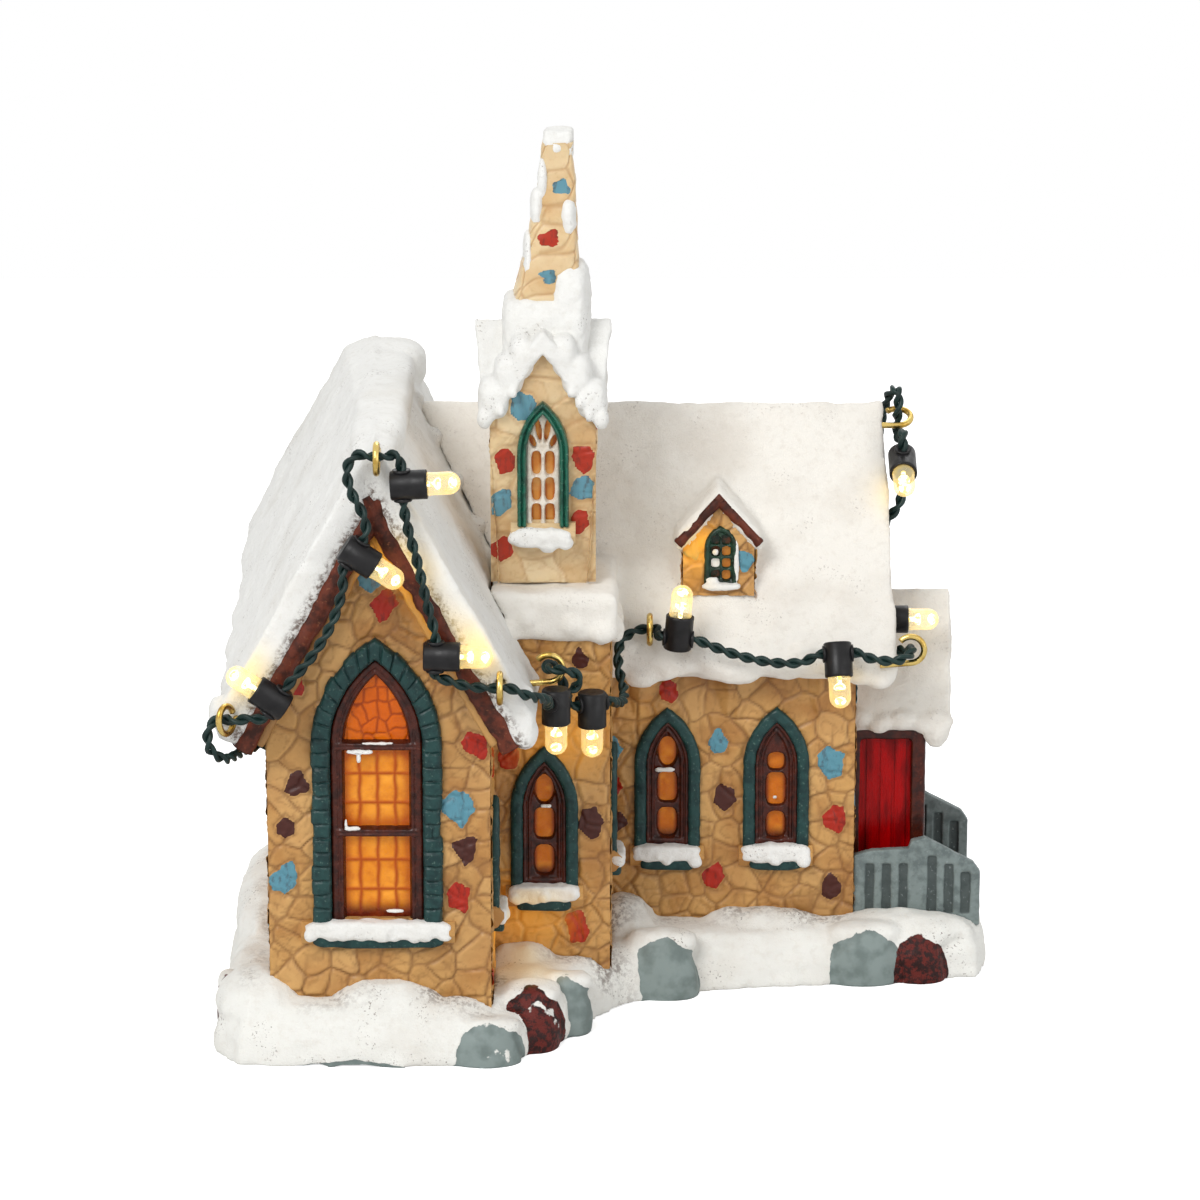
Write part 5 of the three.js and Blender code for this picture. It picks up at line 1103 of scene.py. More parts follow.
@dataclass
class StoneWall:
    """Facing of a wall: crazy paving that stands out by half a millimetre over the casting.

    A point at u along the wall and z up it lies out from the wall by the stone's height times
    a smooth step of its distance to the joint, plus a tilt for each stone, a raised rim along
    the joint, finer stones in patches, thin chisel lines, and noise.
    """

    name: str
    start: Plan
    end: Plan
    top: Callable[[Array], Array]
    foot: float = 9.2
    arches: Sequence[Arch] = ()
    holes: Sequence[Plan] = ()
    daubs: Sequence[Daub] = ()
    folds: Sequence[float] = ()
    spacing: float = 0.42
    stone: float = 5.9
    seed: int = 5
    finish: Finish = Finish.STONE
    slot: str = "stone_wall"
    relief: float = 0.5
    rim: float = 0.16
    split_depth: float = 0.22
    chisel_depth: float = 0.2
    daub_groove: float = 0.3
    fold_proud: float = 1.3
    fold_foot: float = 56.5
    taper: Callable[[Array], Array] = lambda z: np.zeros_like(z)

    def build(self) -> bpy.types.Object:
        """Makes the piece."""
        start, end = np.array(self.start), np.array(self.end)
        length = float(np.linalg.norm(end - start))
        along = (end - start) / length
        out = np.array([along[1], -along[0]])
        u = np.linspace(-0.3, length + 0.3, int(length / self.spacing) + 2)
        highest = float(np.max(self.top(np.linspace(0, length, 41))))
        z = np.linspace(self.foot, highest, int((highest - self.foot) / self.spacing) + 2)
        u, z = np.meshgrid(u, z)
        axis = int(abs(along[1]) > 0.5)
        world = start[axis] + u * along[axis]
        place = flat(u, z, 7.0 * self.seed)
        warp_u = u + 1.3 * rough(place, 4.6, self.seed)
        warp_z = z + 1.3 * rough(place, 4.6, self.seed + 9)
        joint, stone, middle_u, middle_z = paving(warp_u, warp_z, self.stone, self.seed)
        small, _, _, _ = paving(warp_u + 31, warp_z, self.stone * 0.55, self.seed + 50)
        split = smoothstep(rough(place, 9.0, self.seed + 20), -0.05, 0.12)
        pad = smoothstep(joint, 0.0, 0.5)
        fine = 1 - split * (1 - smoothstep(small, 0.0, 0.35))
        rim = np.exp(-((joint - 0.8) / 0.35) ** 2)
        tilt = 0.055 * ((warp_u - middle_u) * np.sin(stone * 9) + (warp_z - middle_z) * np.cos(stone * 9))
        chisel = 1 - smoothstep(np.abs(rough(place, 2.7, self.seed + 3)), 0.0, 0.09)
        lift = 0.1 + self.relief * pad * (0.75 + 0.25 * stone) + tilt * pad + self.rim * rim
        lift = lift - self.split_depth * (1 - fine) * pad - self.chisel_depth * chisel * pad
        paint, groove = self._paint(world, z, stone, joint)
        lift = lift - self.daub_groove * groove + 0.08 * rough(place, 1.1, self.seed + 4, 2)
        for fold in self.folds:
            width = np.maximum(2.4 * (z - self.fold_foot) / 7, 0.05)
            fade = smoothstep(z, self.fold_foot, self.fold_foot + 6.5)
            lift = lift + self.fold_proud * np.clip(1 - np.abs(world - fold) / width, 0, 1) * fade
        lift = np.maximum(lift, 0.04)
        points = np.concatenate([start + u[..., None] * along + out * (lift - self.taper(z))[..., None],
                                 z[..., None]], -1)
        middle_x = (u[:-1, :-1] + u[1:, 1:]) / 2
        middle_z = (z[:-1, :-1] + z[1:, 1:]) / 2
        world_x = start[axis] + middle_x * along[axis]
        keep = middle_z < self.top(middle_x)
        for arch in self.arches:
            keep &= ~arch.inside(world_x, middle_z, 0.8)
        for hole_at, hole_z in self.holes:
            keep &= np.hypot(world_x - hole_at, middle_z - hole_z) > 1.9
        skin = Skin().grid(points, keep=keep)
        piece = skin.mesh(self.name)
        relief = pad * (1 - 0.5 * chisel) * (1 - 0.45 * (1 - fine)) * (1 - 0.8 * groove)
        attribute(piece, "relief", relief.ravel()[skin.used])
        attribute(piece, "tone", stone.ravel()[skin.used])
        attribute(piece, "paint", paint.reshape(-1, 4)[skin.used])
        attribute(piece, "glow", lamplight(points_of(piece), normals_of(piece)))
        return dress(piece, self.finish)

    def _paint(self, along: Array, z: Array, stone: Array, joint: Array) -> tuple[Array, Array]:
        """Colour and cover at each point, and the groove round each coloured stone. Whole
        stones are coloured at random where the wall has no daubs of its own."""
        paint = np.zeros((*z.shape, 4))
        groove = np.zeros(z.shape)
        for daub in self.daubs:
            inner = daub.edge(along, z) + 0.25 * rough(flat(along, z), 1.2, 77)
            cover = smoothstep(inner, -0.1, 0.25)
            chosen = cover > paint[..., 3]
            paint[..., :3] = np.where(chosen[..., None], daub.colour, paint[..., :3])
            paint[..., 3] = np.maximum(paint[..., 3], cover)
            groove = np.maximum(groove, np.exp(-((inner + 0.3) / 0.25) ** 2))
        if not self.daubs:
            for low, colour in ((0.93, RED_STONE), (0.87, BLUE_STONE), (0.81, BROWN_STONE)):
                chosen = (stone > low) & (stone <= low + 0.06)
                paint[..., :3] = np.where(chosen[..., None], colour, paint[..., :3])
                paint[..., 3] = np.where(chosen, smoothstep(joint, 0.1, 0.5), paint[..., 3])
        return paint, groove


@dataclass
class Moulding:
    """A profile carried round an arch, open at the sill. Each point of the profile has an
    inset into the arch and a height out of the wall; the arch at that inset gives its line."""

    name: str
    arch: Arch
    face: Face
    finish: Finish = Finish.TEAL
    slot: str = "stone_wall"

    def _build(self, outline: Array, height: Array, ragged: float) -> bpy.types.Object:
        """Makes the mesh from outlines and heights, a closed section."""
        points = self.face.points(outline[..., 0], height, outline[..., 1])
        points = points + ragged * np.stack([rough(points, 1.5, SEED + axis, 2) for axis in range(3)], -1)
        skin = Skin().grid(points, around=True, start=points[0].mean(0), end=points[-1].mean(0))
        return dress(skin.mesh(self.name), self.finish)

    def beads(self, outer: float, inner: float, count: int, proud: float) -> bpy.types.Object:
        """Round beads side by side from one inset to another."""
        t = np.linspace(0, 1, 8 * count + 1)
        ridges = np.abs(np.sin(math.pi * count * t)) ** 0.6
        inset = np.concatenate([outer + (inner - outer) * t, [inner, outer]])
        height = np.concatenate([proud - 1.0 * (1 - ridges), [-0.6, -0.6]])
        return self._build(self.arch.loop(inset, 0.5), height, 0.06)

    def band(self, width: float, proud: float) -> bpy.types.Object:
        """A flat band with rounded edges, its outer edge uneven."""
        t = np.linspace(0, 1, 9)
        shoulder, outer, inner = 1.45, -0.5, width + 0.15
        inset = np.concatenate([outer + (inner - outer) * t, [inner, outer]])
        height = np.concatenate([shoulder + (proud - shoulder) * (1 - np.abs(2 * t - 1) ** 4), [-0.2, -0.2]])
        return self._build(self.arch.loop(inset, 0.45), height, 0.13)

    def voussoirs(self, width: float, proud: float, stones: int) -> bpy.types.Object:
        """A band of separate stones. Heights fall a little at each joint, and each stone has
        its own width, height and tilt.

        Args:
            width: Width of the band.
            proud: Height of the stones.
            stones: How many there are round the arch.

        Returns:
            The piece.
        """
        t = np.linspace(0, 1, 13)
        shoulder, outer, inner = 1.5, -0.6, width + 0.15
        inset = np.concatenate([outer + (inner - outer) * t, [inner, outer]])
        crown = np.concatenate([1 - np.abs(2 * t - 1) ** 6, [0, 0]])
        base = np.concatenate([np.full(13, shoulder), [-0.2, -0.2]])
        outline = self.arch.loop(inset, 0.28)
        along = np.concatenate([[0], np.cumsum(np.linalg.norm(np.diff(outline[:, 6], axis=0), axis=1))])
        share = along / along[-1] * stones
        number = np.floor(np.clip(share, 0, stones - 1e-6))
        gap = np.abs(share - np.round(share)) * along[-1] / stones
        body = smoothstep(gap, 0.0, 0.34)
        size, tall, slope = (lattice(flat(number, 0 * number), SEED + place) for place in range(3))
        stone = 0.1 + 0.9 * body[:, None] * (1 + 0.25 * tall[:, None])
        height = base[None] + (proud - shoulder) * crown[None] * stone
        height += 0.3 * (slope * (share - number - 0.5) * body)[:, None] * crown[None]
        away = unit(outline - np.array([self.arch.centre, (self.arch.sill + self.arch.spring) / 2]))
        rim = (inset < 0.4 * width)[None, :, None]
        outline = outline + away * (0.35 * size * body - 0.2 * (1 - body))[:, None, None] * rim
        return self._build(outline, height, 0.1)


WING_FACE, TOWER_FACE, NAVE_FACE, SHAFT_FACE = Face(-46.0), Face(-19.0), Face(8.0), Face(-15.6)
WING_SIDE, TOWER_SIDE = Face(-25.9, True), Face(-0.3, True)
WING_ARCH = Arch(-49.8, 13.3, 29.5, 68.5, 92)
TOWER_ARCH = Arch(-14.4, 6.9, 28.8, 46.5, 60)
NAVE_ARCHES = (Arch(12.9, 6.9, 29.4, 48, 61), Arch(37.3, 6.9, 29.4, 48, 61))
SHAFT_ARCH = Arch(-14.5, 5.4, 109.5, 125.5, 136.8)
DORMER_ARCH = Arch(24.6, 3.9, 90, 98.5, 103.6)
BLIND_WING, BLIND_TOWER = Arch(-33, 4.6, 29, 43, 53), Arch(-6, 4.6, 33, 47, 57)


@dataclass
class Walls:
    """The stone walls of wing, tower base and nave."""

    wing: tuple[float, float, float] = (-49.4, 23.5, -46.0)
    wing_peak: float = 125.0
    wing_pitch: float = 1.8
    nave: tuple[float, float, float] = (8.0, 50.0, 54.6)
    nave_peak: float = 116.0
    nave_pitch: float = 1.9
    tower: tuple[float, float, float] = (-25.7, -0.3, -19.0)
    tower_top: float = 88.0

    def build(self) -> None:
        """Makes the facings of all walls, from the wing's front round to its left side."""
        centre, half, front = self.wing
        near, far, right = self.nave
        left, tower_right, tower_front = self.tower
        wing_eave = self.wing_peak - self.wing_pitch * half
        nave_eave = self.nave_peak - self.nave_pitch * (far - near) / 2
        west, east = centre - half, centre + half

        def wing_gable(u: Array) -> Array:
            return self.wing_peak - self.wing_pitch * np.abs(u - half)

        def nave_gable(u: Array) -> Array:
            return self.nave_peak - self.nave_pitch * np.abs(u - (far - near) / 2)

        def level(top: float) -> Callable[[Array], Array]:
            return lambda u: np.full_like(u, top)

        StoneWall("wing_front_stones", (west, front), (east, front), wing_gable, arches=[WING_ARCH], seed=3, daubs=[
            Daub(-50.7, 105.7, BLUE_STONE), Daub(-47.8, 100, RED_STONE, 2.7), Daub(-66.6, 82.2, RED_STONE, 1.9),
            Daub(-66.8, 60.3, BROWN_STONE), Daub(-28.8, 69, RED_STONE, 2.6),
            Daub(-32.9, 54.9, BLUE_STONE, 3.0), Daub(-31.1, 45.5, BROWN_STONE, 2.5),
            Daub(-32.2, 35, RED_STONE, 2.5), Daub(-69.1, 50.5, BROWN_STONE, 2.1),
            Daub(-69.7, 38.8, BLUE_STONE, 2.9)]).build()
        StoneWall("wing_right_stones", (east, front), (east, tower_front), level(wing_eave), seed=13,
                  arches=[BLIND_WING]).build()
        StoneWall("tower_front_stones", (left, tower_front), (tower_right, tower_front), level(self.tower_top),
                  arches=[TOWER_ARCH], seed=23, daubs=[
            Daub(-22.5, 58.1, RED_STONE), Daub(-6.5, 80.2, BROWN_STONE, 2.0), Daub(-4, 43.3, BROWN_STONE, 2.6),
            Daub(-7.3, 18.8, RED_STONE, 2.7)]).build()
        StoneWall("tower_right_stones", (tower_right, tower_front), (tower_right, near), level(self.tower_top),
                  arches=[BLIND_TOWER], seed=33).build()
        StoneWall("nave_front_stones", (tower_right, near), (right, near), level(nave_eave), seed=43,
                  arches=NAVE_ARCHES, folds=(6.7, 26.4, 28.7, 46.9), daubs=[
            Daub(0.2, 51.6, BLUE_STONE, 2.1), Daub(0.6, 43, RED_STONE, 2.2), Daub(1, 34.7, BROWN_STONE, 2.4),
            Daub(13.4, 65.6, RED_STONE, 2.1), Daub(24.2, 53.5, BLUE_STONE, 2.4), Daub(25.4, 40.4, BROWN_STONE, 2.3),
            Daub(49.6, 47.9, BLUE_STONE, 2.9), Daub(50.6, 35.2, RED_STONE, 2.4), Daub(23.3, 22, RED_STONE, 2.3),
            Daub(50.1, 19.4, BROWN_STONE, 2.1)]).build()
        StoneWall("nave_right_stones", (right, near), (right, far), nave_gable, seed=53, spacing=0.6).build()
        StoneWall("nave_back_stones", (right, far), (east, far), level(nave_eave), seed=63, spacing=0.6,
                  holes=[(44, 64)]).build()
        StoneWall("wing_back_stones", (east, far), (west, far), wing_gable, seed=73, spacing=0.6).build()
        StoneWall("wing_left_stones", (west, far), (west, front), level(wing_eave), seed=83, spacing=0.6,
                  holes=[(-39, 66.6)]).build()


# Windows ---------------------------------------------------------------------------------


@dataclass(frozen=True)
class Opening:
    """A pane's opening in a frame: middle, half sizes, the power of its outline, and how far
    it leans to one side for each millimetre up."""

    along: float
    height: float
    half_along: float
    half_height: float
    power: float = 3.0
    lean: float = 0.0

    def reach(self, u: Array, z: Array) -> Array:
        """Less than 1 inside the outline |x / a|^p + |z / b|^p = 1."""
        up = z - self.height
        return (np.abs((u - self.along - self.lean * up) / self.half_along) ** self.power
                + np.abs(up / self.half_height) ** self.power)


@dataclass
class Casement:
    """A window frame as a relief over its arch, and the lit glass behind it. The frame's
    height is read from its profile by the distance in from the band, openings are sunk into
    it, and it is left out where it lies behind the glass."""

    name: str
    arch: Arch
    face: Face
    margin: float
    profile: Sequence[Plan]
    openings: Sequence[Opening] = ()
    transoms: Sequence[float] = ()
    finish: Finish = Finish.BROWN
    slot: str = "brown_paint"
    step: float = 0.27
    glass_out: float = -1.3
    sill_rim: float = 1.9

    def build(self, light: Callable[[Array, Array], tuple[Array, Array]], replaces: Sequence[str]) -> None:
        """Makes frame and glass.

        Args:
            light: Gives the glass its colours and heights at places along and up the wall.
            replaces: CAD nodes that the frame stands for.
        """
        arch = self.arch
        u, z = np.meshgrid(np.arange(-arch.half - 0.5, arch.half + 0.5, self.step),
                           np.arange(arch.sill - 0.8, arch.peak + 0.6, self.step))
        depth = arch.depth(u + arch.centre, z) - self.margin
        distance, height = np.array(self.profile).T
        out = np.interp(depth, distance, height)
        for transom in self.transoms:
            away = np.abs(z - transom)
            bar = 1.05 * (1 - smoothstep(away, 0.6, 1.05)) - 0.35 * np.exp(-(away / 0.16) ** 2)
            out = np.where(depth > 0.5, np.maximum(out, np.where(away < 1.05, bar, -9)), out)
        above = z - arch.sill
        rim = 0.9 * (1 - smoothstep(above, self.sill_rim - 0.5, self.sill_rim))
        out = np.where(depth > 0.5, np.maximum(out, rim - 2 * (above > self.sill_rim)), out)
        for opening in self.openings:
            out = out - 2.6 * (1 - smoothstep(opening.reach(u, z), 1.0, 1.7))
        out = out + 0.1 * rough(flat(u + arch.centre, z), 1.5, SEED, 2)
        top = np.maximum.reduce([out[:-1, :-1], out[1:, :-1], out[:-1, 1:], out[1:, 1:]])
        keep = (top > self.glass_out - 0.3) & (depth[:-1, :-1] > -0.9)
        skin = Skin().grid(self.face.points(u + arch.centre, out, z), keep=keep)
        dress(skin.mesh(f"{self.name}_casement"), self.finish, replaces)
        colours, raised = light(u, z)
        sheet = Skin().grid(self.face.points(u + arch.centre, self.glass_out + raised, z),
                            keep=(depth[:-1, :-1] > 0.4) & (z[:-1, :-1] > arch.sill))
        glass = sheet.mesh(f"{self.name}_glass")
        attribute(glass, "paint", np.concatenate([colours, np.ones((*u.shape, 1))], -1).reshape(-1, 4)[sheet.used])
        dress(glass, Finish.GLASS)


def blend(colours: Array, colour: Colour, share: Array) -> Array:
    """Colours mixed with one colour by a share at each place."""
    share = np.clip(share, 0, 1)[..., None]
    return colours * (1 - share) + np.array(colour) * share


@dataclass
class Windows:
    """Surrounds, frames, glass and snowy sills of the windows."""

    def build(self) -> None:
        """Makes the parts of each window."""
        self.wing_window()
        for name, arch, face, rows in (
                ("tower_window", TOWER_ARCH, TOWER_FACE,
                 ((34.4, 1.95, 3.0, 3.0), (42.8, 2.0, 3.2, 4.0), (50.6, 1.75, 2.75, 2.0))),
                ("nave_window_1", NAVE_ARCHES[0], NAVE_FACE,
                 ((34.6, 1.95, 3.0, 3.0), (42.8, 2.0, 3.2, 4.0), (51.0, 1.75, 2.9, 2.0))),
                ("nave_window_2", NAVE_ARCHES[1], NAVE_FACE,
                 ((33.9, 1.9, 2.8, 3.0), (42.3, 2.0, 3.5, 4.0), (48.8, 1.7, 1.8, 3.0)))):
            self.lancet(name, arch, face, [Opening(0, *row) for row in rows])
        for name, arch, face in (("wing_side", BLIND_WING, WING_SIDE), ("tower_side", BLIND_TOWER, TOWER_SIDE)):
            Moulding(f"{name}_band", arch, face).band(1.4, 1.9)
            self.sill(name, arch, face, 5.6, 2)
        streaks = Cast("frame_snow", cell=0.25, smooth=2, heights=(0.12, 0.1, 0.06), sizes=(2.0, 1.0, 0.6))
        for along, height, half_along, half_height, at in (
                (-53.2, 67.5, 2.9, 0.5, -46.9), (-53.5, 66.0, 0.4, 1.0, -46.9), (-55, 50.4, 1.8, 0.45, -46.9),
                (-56.4, 51.6, 0.4, 1.0, -46.9), (-46.2, 31.9, 1.9, 0.3, -46.8), (12.4, 47.1, 2.2, 0.55, 7.2),
                (37.1, 40.3, 0.5, 0.45, 8.4), (-14.0, 47.0, 1.2, 0.4, -19.8), (-49.6, 69.4, 3.6, 0.3, -46.9)):
            streaks.lump((along, at, height), (half_along, 0.45, half_height), 0.8)
        streaks.build()

    def wing_window(self) -> None:
        """The large window: teal stones, a brown frame of two beads, and amber leaded glass."""
        Moulding("wing_window_stones", WING_ARCH, WING_FACE).voussoirs(3.3, 2.5, 41)
        profile = [(-.7, -1.2), (-.1, .1), (.15, .85), (.5, 1), (1.2, .95), (1.45, .45), (1.65, .4), (1.9, .75),
                   (2.3, .8), (2.55, .5), (2.8, -.2), (3.05, -1.9)]
        Casement("wing_window", WING_ARCH, WING_FACE, 3.5, profile, transoms=(68.6, 49.4), sill_rim=0.4).build(
            self._leaded, ["wing_window_frame"])
        self.sill("wing_window", WING_ARCH, WING_FACE, 16.0, 7)

    @staticmethod
    def _leaded(u: Array, z: Array) -> tuple[Array, Array]:
        """Colours and heights of the large window's glass: ridges exp(-(d / 0.42)^2) along the leads, painted shade
        towards the frame's sides and the transoms, darker towards the foot, and an orange head with crackle."""
        colours = np.broadcast_to(np.array(tint("dc8f2c")), (*u.shape, 3))
        colours = blend(colours, tint("c87618"), 0.5 + 0.5 * rough(flat(u, z), 3.2, 5, 2))
        lines = [u + 3.7 + 0.12 * np.sin(z), u - 0.1 + 0.1 * np.sin(z + 1), u - 3.9 - 0.12 * np.sin(z)]
        lines += [z - at for at in (62.2, 55.7, 42.9, 36.3)]
        leads = np.maximum.reduce([np.exp(-(line / 0.42) ** 2) for line in lines]) * (z < 68)
        colours = blend(colours, tint("963c04"), leads)
        # Painted shade: the glass darkens towards the sides of the frame and along both transoms, where the frame
        # shades the light behind it.
        edge = smoothstep(np.abs(u), 4.6, 6.9) + np.exp(-((z - 51) / 1.4) ** 2) + np.exp(-((z - 66.8) / 1.2) ** 2)
        colours = blend(colours, tint("a84c06"), edge * 0.8 * (z < 68))
        joint, stone, _, _ = paving(u + 40, z + 0.7 * rough(flat(u, z), 2.0, 8), 3.1, 12)
        head = z > 68
        colours = np.where(head[..., None], blend(blend(colours, tint("bf5604"), np.ones(u.shape)),
                                                  tint("8a3402"), 1 - smoothstep(joint, 0.05, 0.4)), colours)
        colours = np.where(head[..., None], blend(colours, tint("cf6c0c"), 0.5 * smoothstep(stone, 0, 1)), colours)
        colours = blend(colours, tint("521404"), (1 - smoothstep(z, 30.5, 34.5)))
        return colours, 0.3 * leads - 0.2 * head * (1 - smoothstep(joint, 0.0, 0.5))

    def lancet(self, name: str, arch: Arch, face: Face, openings: Sequence[Opening]) -> None:
        """A small window: teal band, brown frame with three openings, and a snowy sill."""
        Moulding(f"{name}_band", arch, face).band(2.0, 2.0)
        profile = [(-.7, -1.2), (-.1, .2), (.15, 1.1), (.85, 1.15), (1.05, .35), (1.2, .3), (1.4, .85), (1.8, .8),
                   (2, .25), (2.2, .15), (6, .15)]

        def light(u: Array, z: Array) -> tuple[Array, Array]:
            colours = np.broadcast_to(np.array(tint("b4600f")), (*u.shape, 3))
            colours = blend(colours, tint("cf8226"), 0.6 * rough(flat(u + arch.centre, z), 2.2, 3, 2))
            # Painted shade: the glass darkens towards the sides, where the frame shades it. It is also darker
            # towards the foot.
            colours = blend(colours, tint("6a2404"), smoothstep(np.abs(u), 1.2, 2.2))
            return blend(colours, tint("3a0f04"), 1 - smoothstep(z, 30.5, 34)), 0.12 * rough(flat(u, z), 1.5, 4)

        Casement(name, arch, face, 2.0, profile, openings, step=0.25).build(light, [f"{name}_frame"])
        self.sill(name, arch, face, 7.8, int(arch.centre) % 5)

    def sill(self, name: str, arch: Arch, face: Face, half: float, seed: int) -> None:
        """A teal ledge under the window and the long slab of snow that lies on it.

        Args:
            name: The window.
            arch: Its outline.
            face: The wall that it is in.
            half: Half the length of the snow.
            seed: Picks the lumps.
        """
        body, foot, top = pillow(face.place(arch.centre, 0.9, arch.sill - 3.6),
                                 face.size(half - 1.8, 2.0, 1.9), 0.35)
        body = body + 0.2 * np.stack([rough(body, 2.0, SEED + axis) for axis in range(3)], -1)
        shelf = Skin().grid(body, around=True, start=foot, end=top)
        dress(shelf.mesh(f"{name}_ledge"), Finish.TEAL)
        snow = Cast(f"{name}_sill_snow", cell=0.4, smooth=3, heights=(0.25, 0.22, 0.12), sizes=(4.0, 1.8, 0.9))
        snow.lump(face.place(arch.centre, 1.9, arch.sill - 1.4), face.size(half, 1.9, 2.0), 0.5)
        count = max(6, int(half / 1.1))
        for place in range(count):
            share = (place + 0.5) / count * 2 - 1
            wave, other = math.sin(seed * 3.1 + place * 2.3), math.cos(seed + place * 1.7)
            snow.lump(face.place(arch.centre + share * (half - 0.5), 2.4 + 0.5 * other,
                                 arch.sill - 2.2 - 0.8 * wave),
                      face.size(half / count * 1.1 + 0.4, 1.4, 1.3 + 0.4 * other), 0.9)
        snow.build()


# Upper tower, spire and dormer -----------------------------------------------------------


@dataclass
class UpperTower:
    """The pale shaft with its window, the cross gabled snow roof, and the spire."""

    centre: Plan = (-14.5, -4.5)
    top_half: float = 11.1
    foot_half: float = 9.3
    foot: float = 96.3
    spring: float = 125.5
    inner: float = 148.4
    pitch: float = 1.45
    reach: float = 13.2

    def build(self) -> None:
        """Makes the facings, the window and the spire."""
        self.facings()
        self.window()
        self.roof()
        self.spire()

    def facings(self) -> None:
        """Pale stone on the four sides, leaning in towards the foot."""
        x, y = self.centre
        half = self.top_half

        def gable(u: Array) -> Array:
            return self.inner - self.pitch * np.abs(u - half)

        def taper(z: Array) -> Array:
            return np.interp(z, [self.foot, self.spring], [self.top_half - self.foot_half, 0.0])

        daubs = [Daub(-18.5, 136.1, BLUE_STONE, 2.7), Daub(-22.9, 123.9, RED_STONE),
                 Daub(-23.6, 114.4, BLUE_STONE, 2.4), Daub(-23.6, 103.7, RED_STONE, 2.5),
                 Daub(-5.9, 124.6, RED_STONE, 2.6), Daub(-6.1, 117.3, BLUE_STONE, 2.2),
                 Daub(-6.5, 109.9, RED_STONE, 2.1)]
        corners = {"front": ((x - half, y - half), (x + half, y - half)),
                   "right": ((x + half, y - half), (x + half, y + half)),
                   "back": ((x + half, y + half), (x - half, y + half)),
                   "left": ((x - half, y + half), (x - half, y - half))}
        for place, (side, (start, end)) in enumerate(corners.items()):
            front = side == "front"
            StoneWall(f"shaft_{side}_stones", start, end, gable, foot=self.foot, seed=90 + place * 10,
                      finish=Finish.PALE_STONE, slot="pale_stone", relief=0.26, stone=8.0, taper=taper,
                      daubs=daubs if front else (), arches=[SHAFT_ARCH] if front else ()).build()

    def window(self) -> None:
        """Green double bead, white tracery with a fan, lit glass and a snowy sill."""
        Moulding("shaft_window_bead", SHAFT_ARCH, SHAFT_FACE, Finish.GREEN, "green_frame").beads(-0.2, 1.9, 2, 2.5)
        openings = [Opening(side * 1.45, height, 1.02, half) for side in (-1, 1)
                    for height, half in ((111.9, 2.1), (117.3, 2.45), (123.1, 2.45))]
        openings += [Opening(side * 0.95, 130.4, 0.6, 2.2, 2, side * 0.14) for side in (-1, 1)]
        openings += [Opening(side * 2.3, 128.0, 0.62, 1.3, 2, side * 0.3) for side in (-1, 1)]
        profile = [(-.6, -1.2), (-.1, -.2), (.15, .75), (1.0, .8), (6, .7)]

        def light(u: Array, z: Array) -> tuple[Array, Array]:
            colours = np.broadcast_to(np.array(tint("b87a34")), (*u.shape, 3))
            # Painted shade: each column of glass is lighter in its middle and darker towards the tracery on either
            # side.
            colours = blend(colours, tint("8c4408"), smoothstep(np.abs(np.abs(u) - 1.45), 0.3, 1.0))
            return blend(colours, tint("c89c60"), 0.6 * rough(flat(u, z), 2.0, 6, 2)), 0 * u

        Casement("shaft_window", SHAFT_ARCH, SHAFT_FACE, 1.8, profile, openings, finish=Finish.WHITE,
                 slot="white_paint", step=0.2, sill_rim=0.6).build(light, ["shaft_window_frame"])
        snow = Cast("shaft_window_sill_snow", cell=0.4, smooth=3, heights=(0.2, 0.2, 0.1), sizes=(3.0, 1.6, 0.9))
        snow.lump((-14.9, -16.9, 107.0), (6.9, 2.5, 2.2), 0.5)
        for x, z, half in ((-20.4, 106.8, 1.3), (-17.6, 107.4, 1.6), (-13.4, 105.6, 1.8), (-9.8, 106.0, 1.7)):
            snow.lump((x, -17.9, z), (half + 0.4, 1.6, half), 0.9)
        snow.build()

    def roof(self) -> None:
        """Snow over the four gables, with drips at the feet."""
        x, y = self.centre
        snow = Cast("tower_roof_snow", cell=0.55, smooth=4, heights=(0.35, 0.22, 0.1))
        snow.node("tower_roof")
        for side_x in (-1, 1):
            for side_y in (-1, 1):
                snow.lump((x + side_x * 12.6, y + side_y * 12.4, 133.4), (1.5, 1.7, 2.4))
                for across, z, half in ((10.6, 137.5, 3.4), (7.4, 142.6, 3.2), (4.6, 146.8, 2.6)):
                    snow.lump((x + side_x * across, y + side_y * 9.4, z), (half, 4.6, 4.6), 0.7)
        for place_x, z in ((-8.3, 139.6), (-6.6, 137.0), (-4.6, 134.2), (-20.9, 139.4), (-23.6, 135.4)):
            snow.lump((place_x, y - 13.6, z), (0.9, 0.9, 1.3))
        snow.build(["tower_roof"])

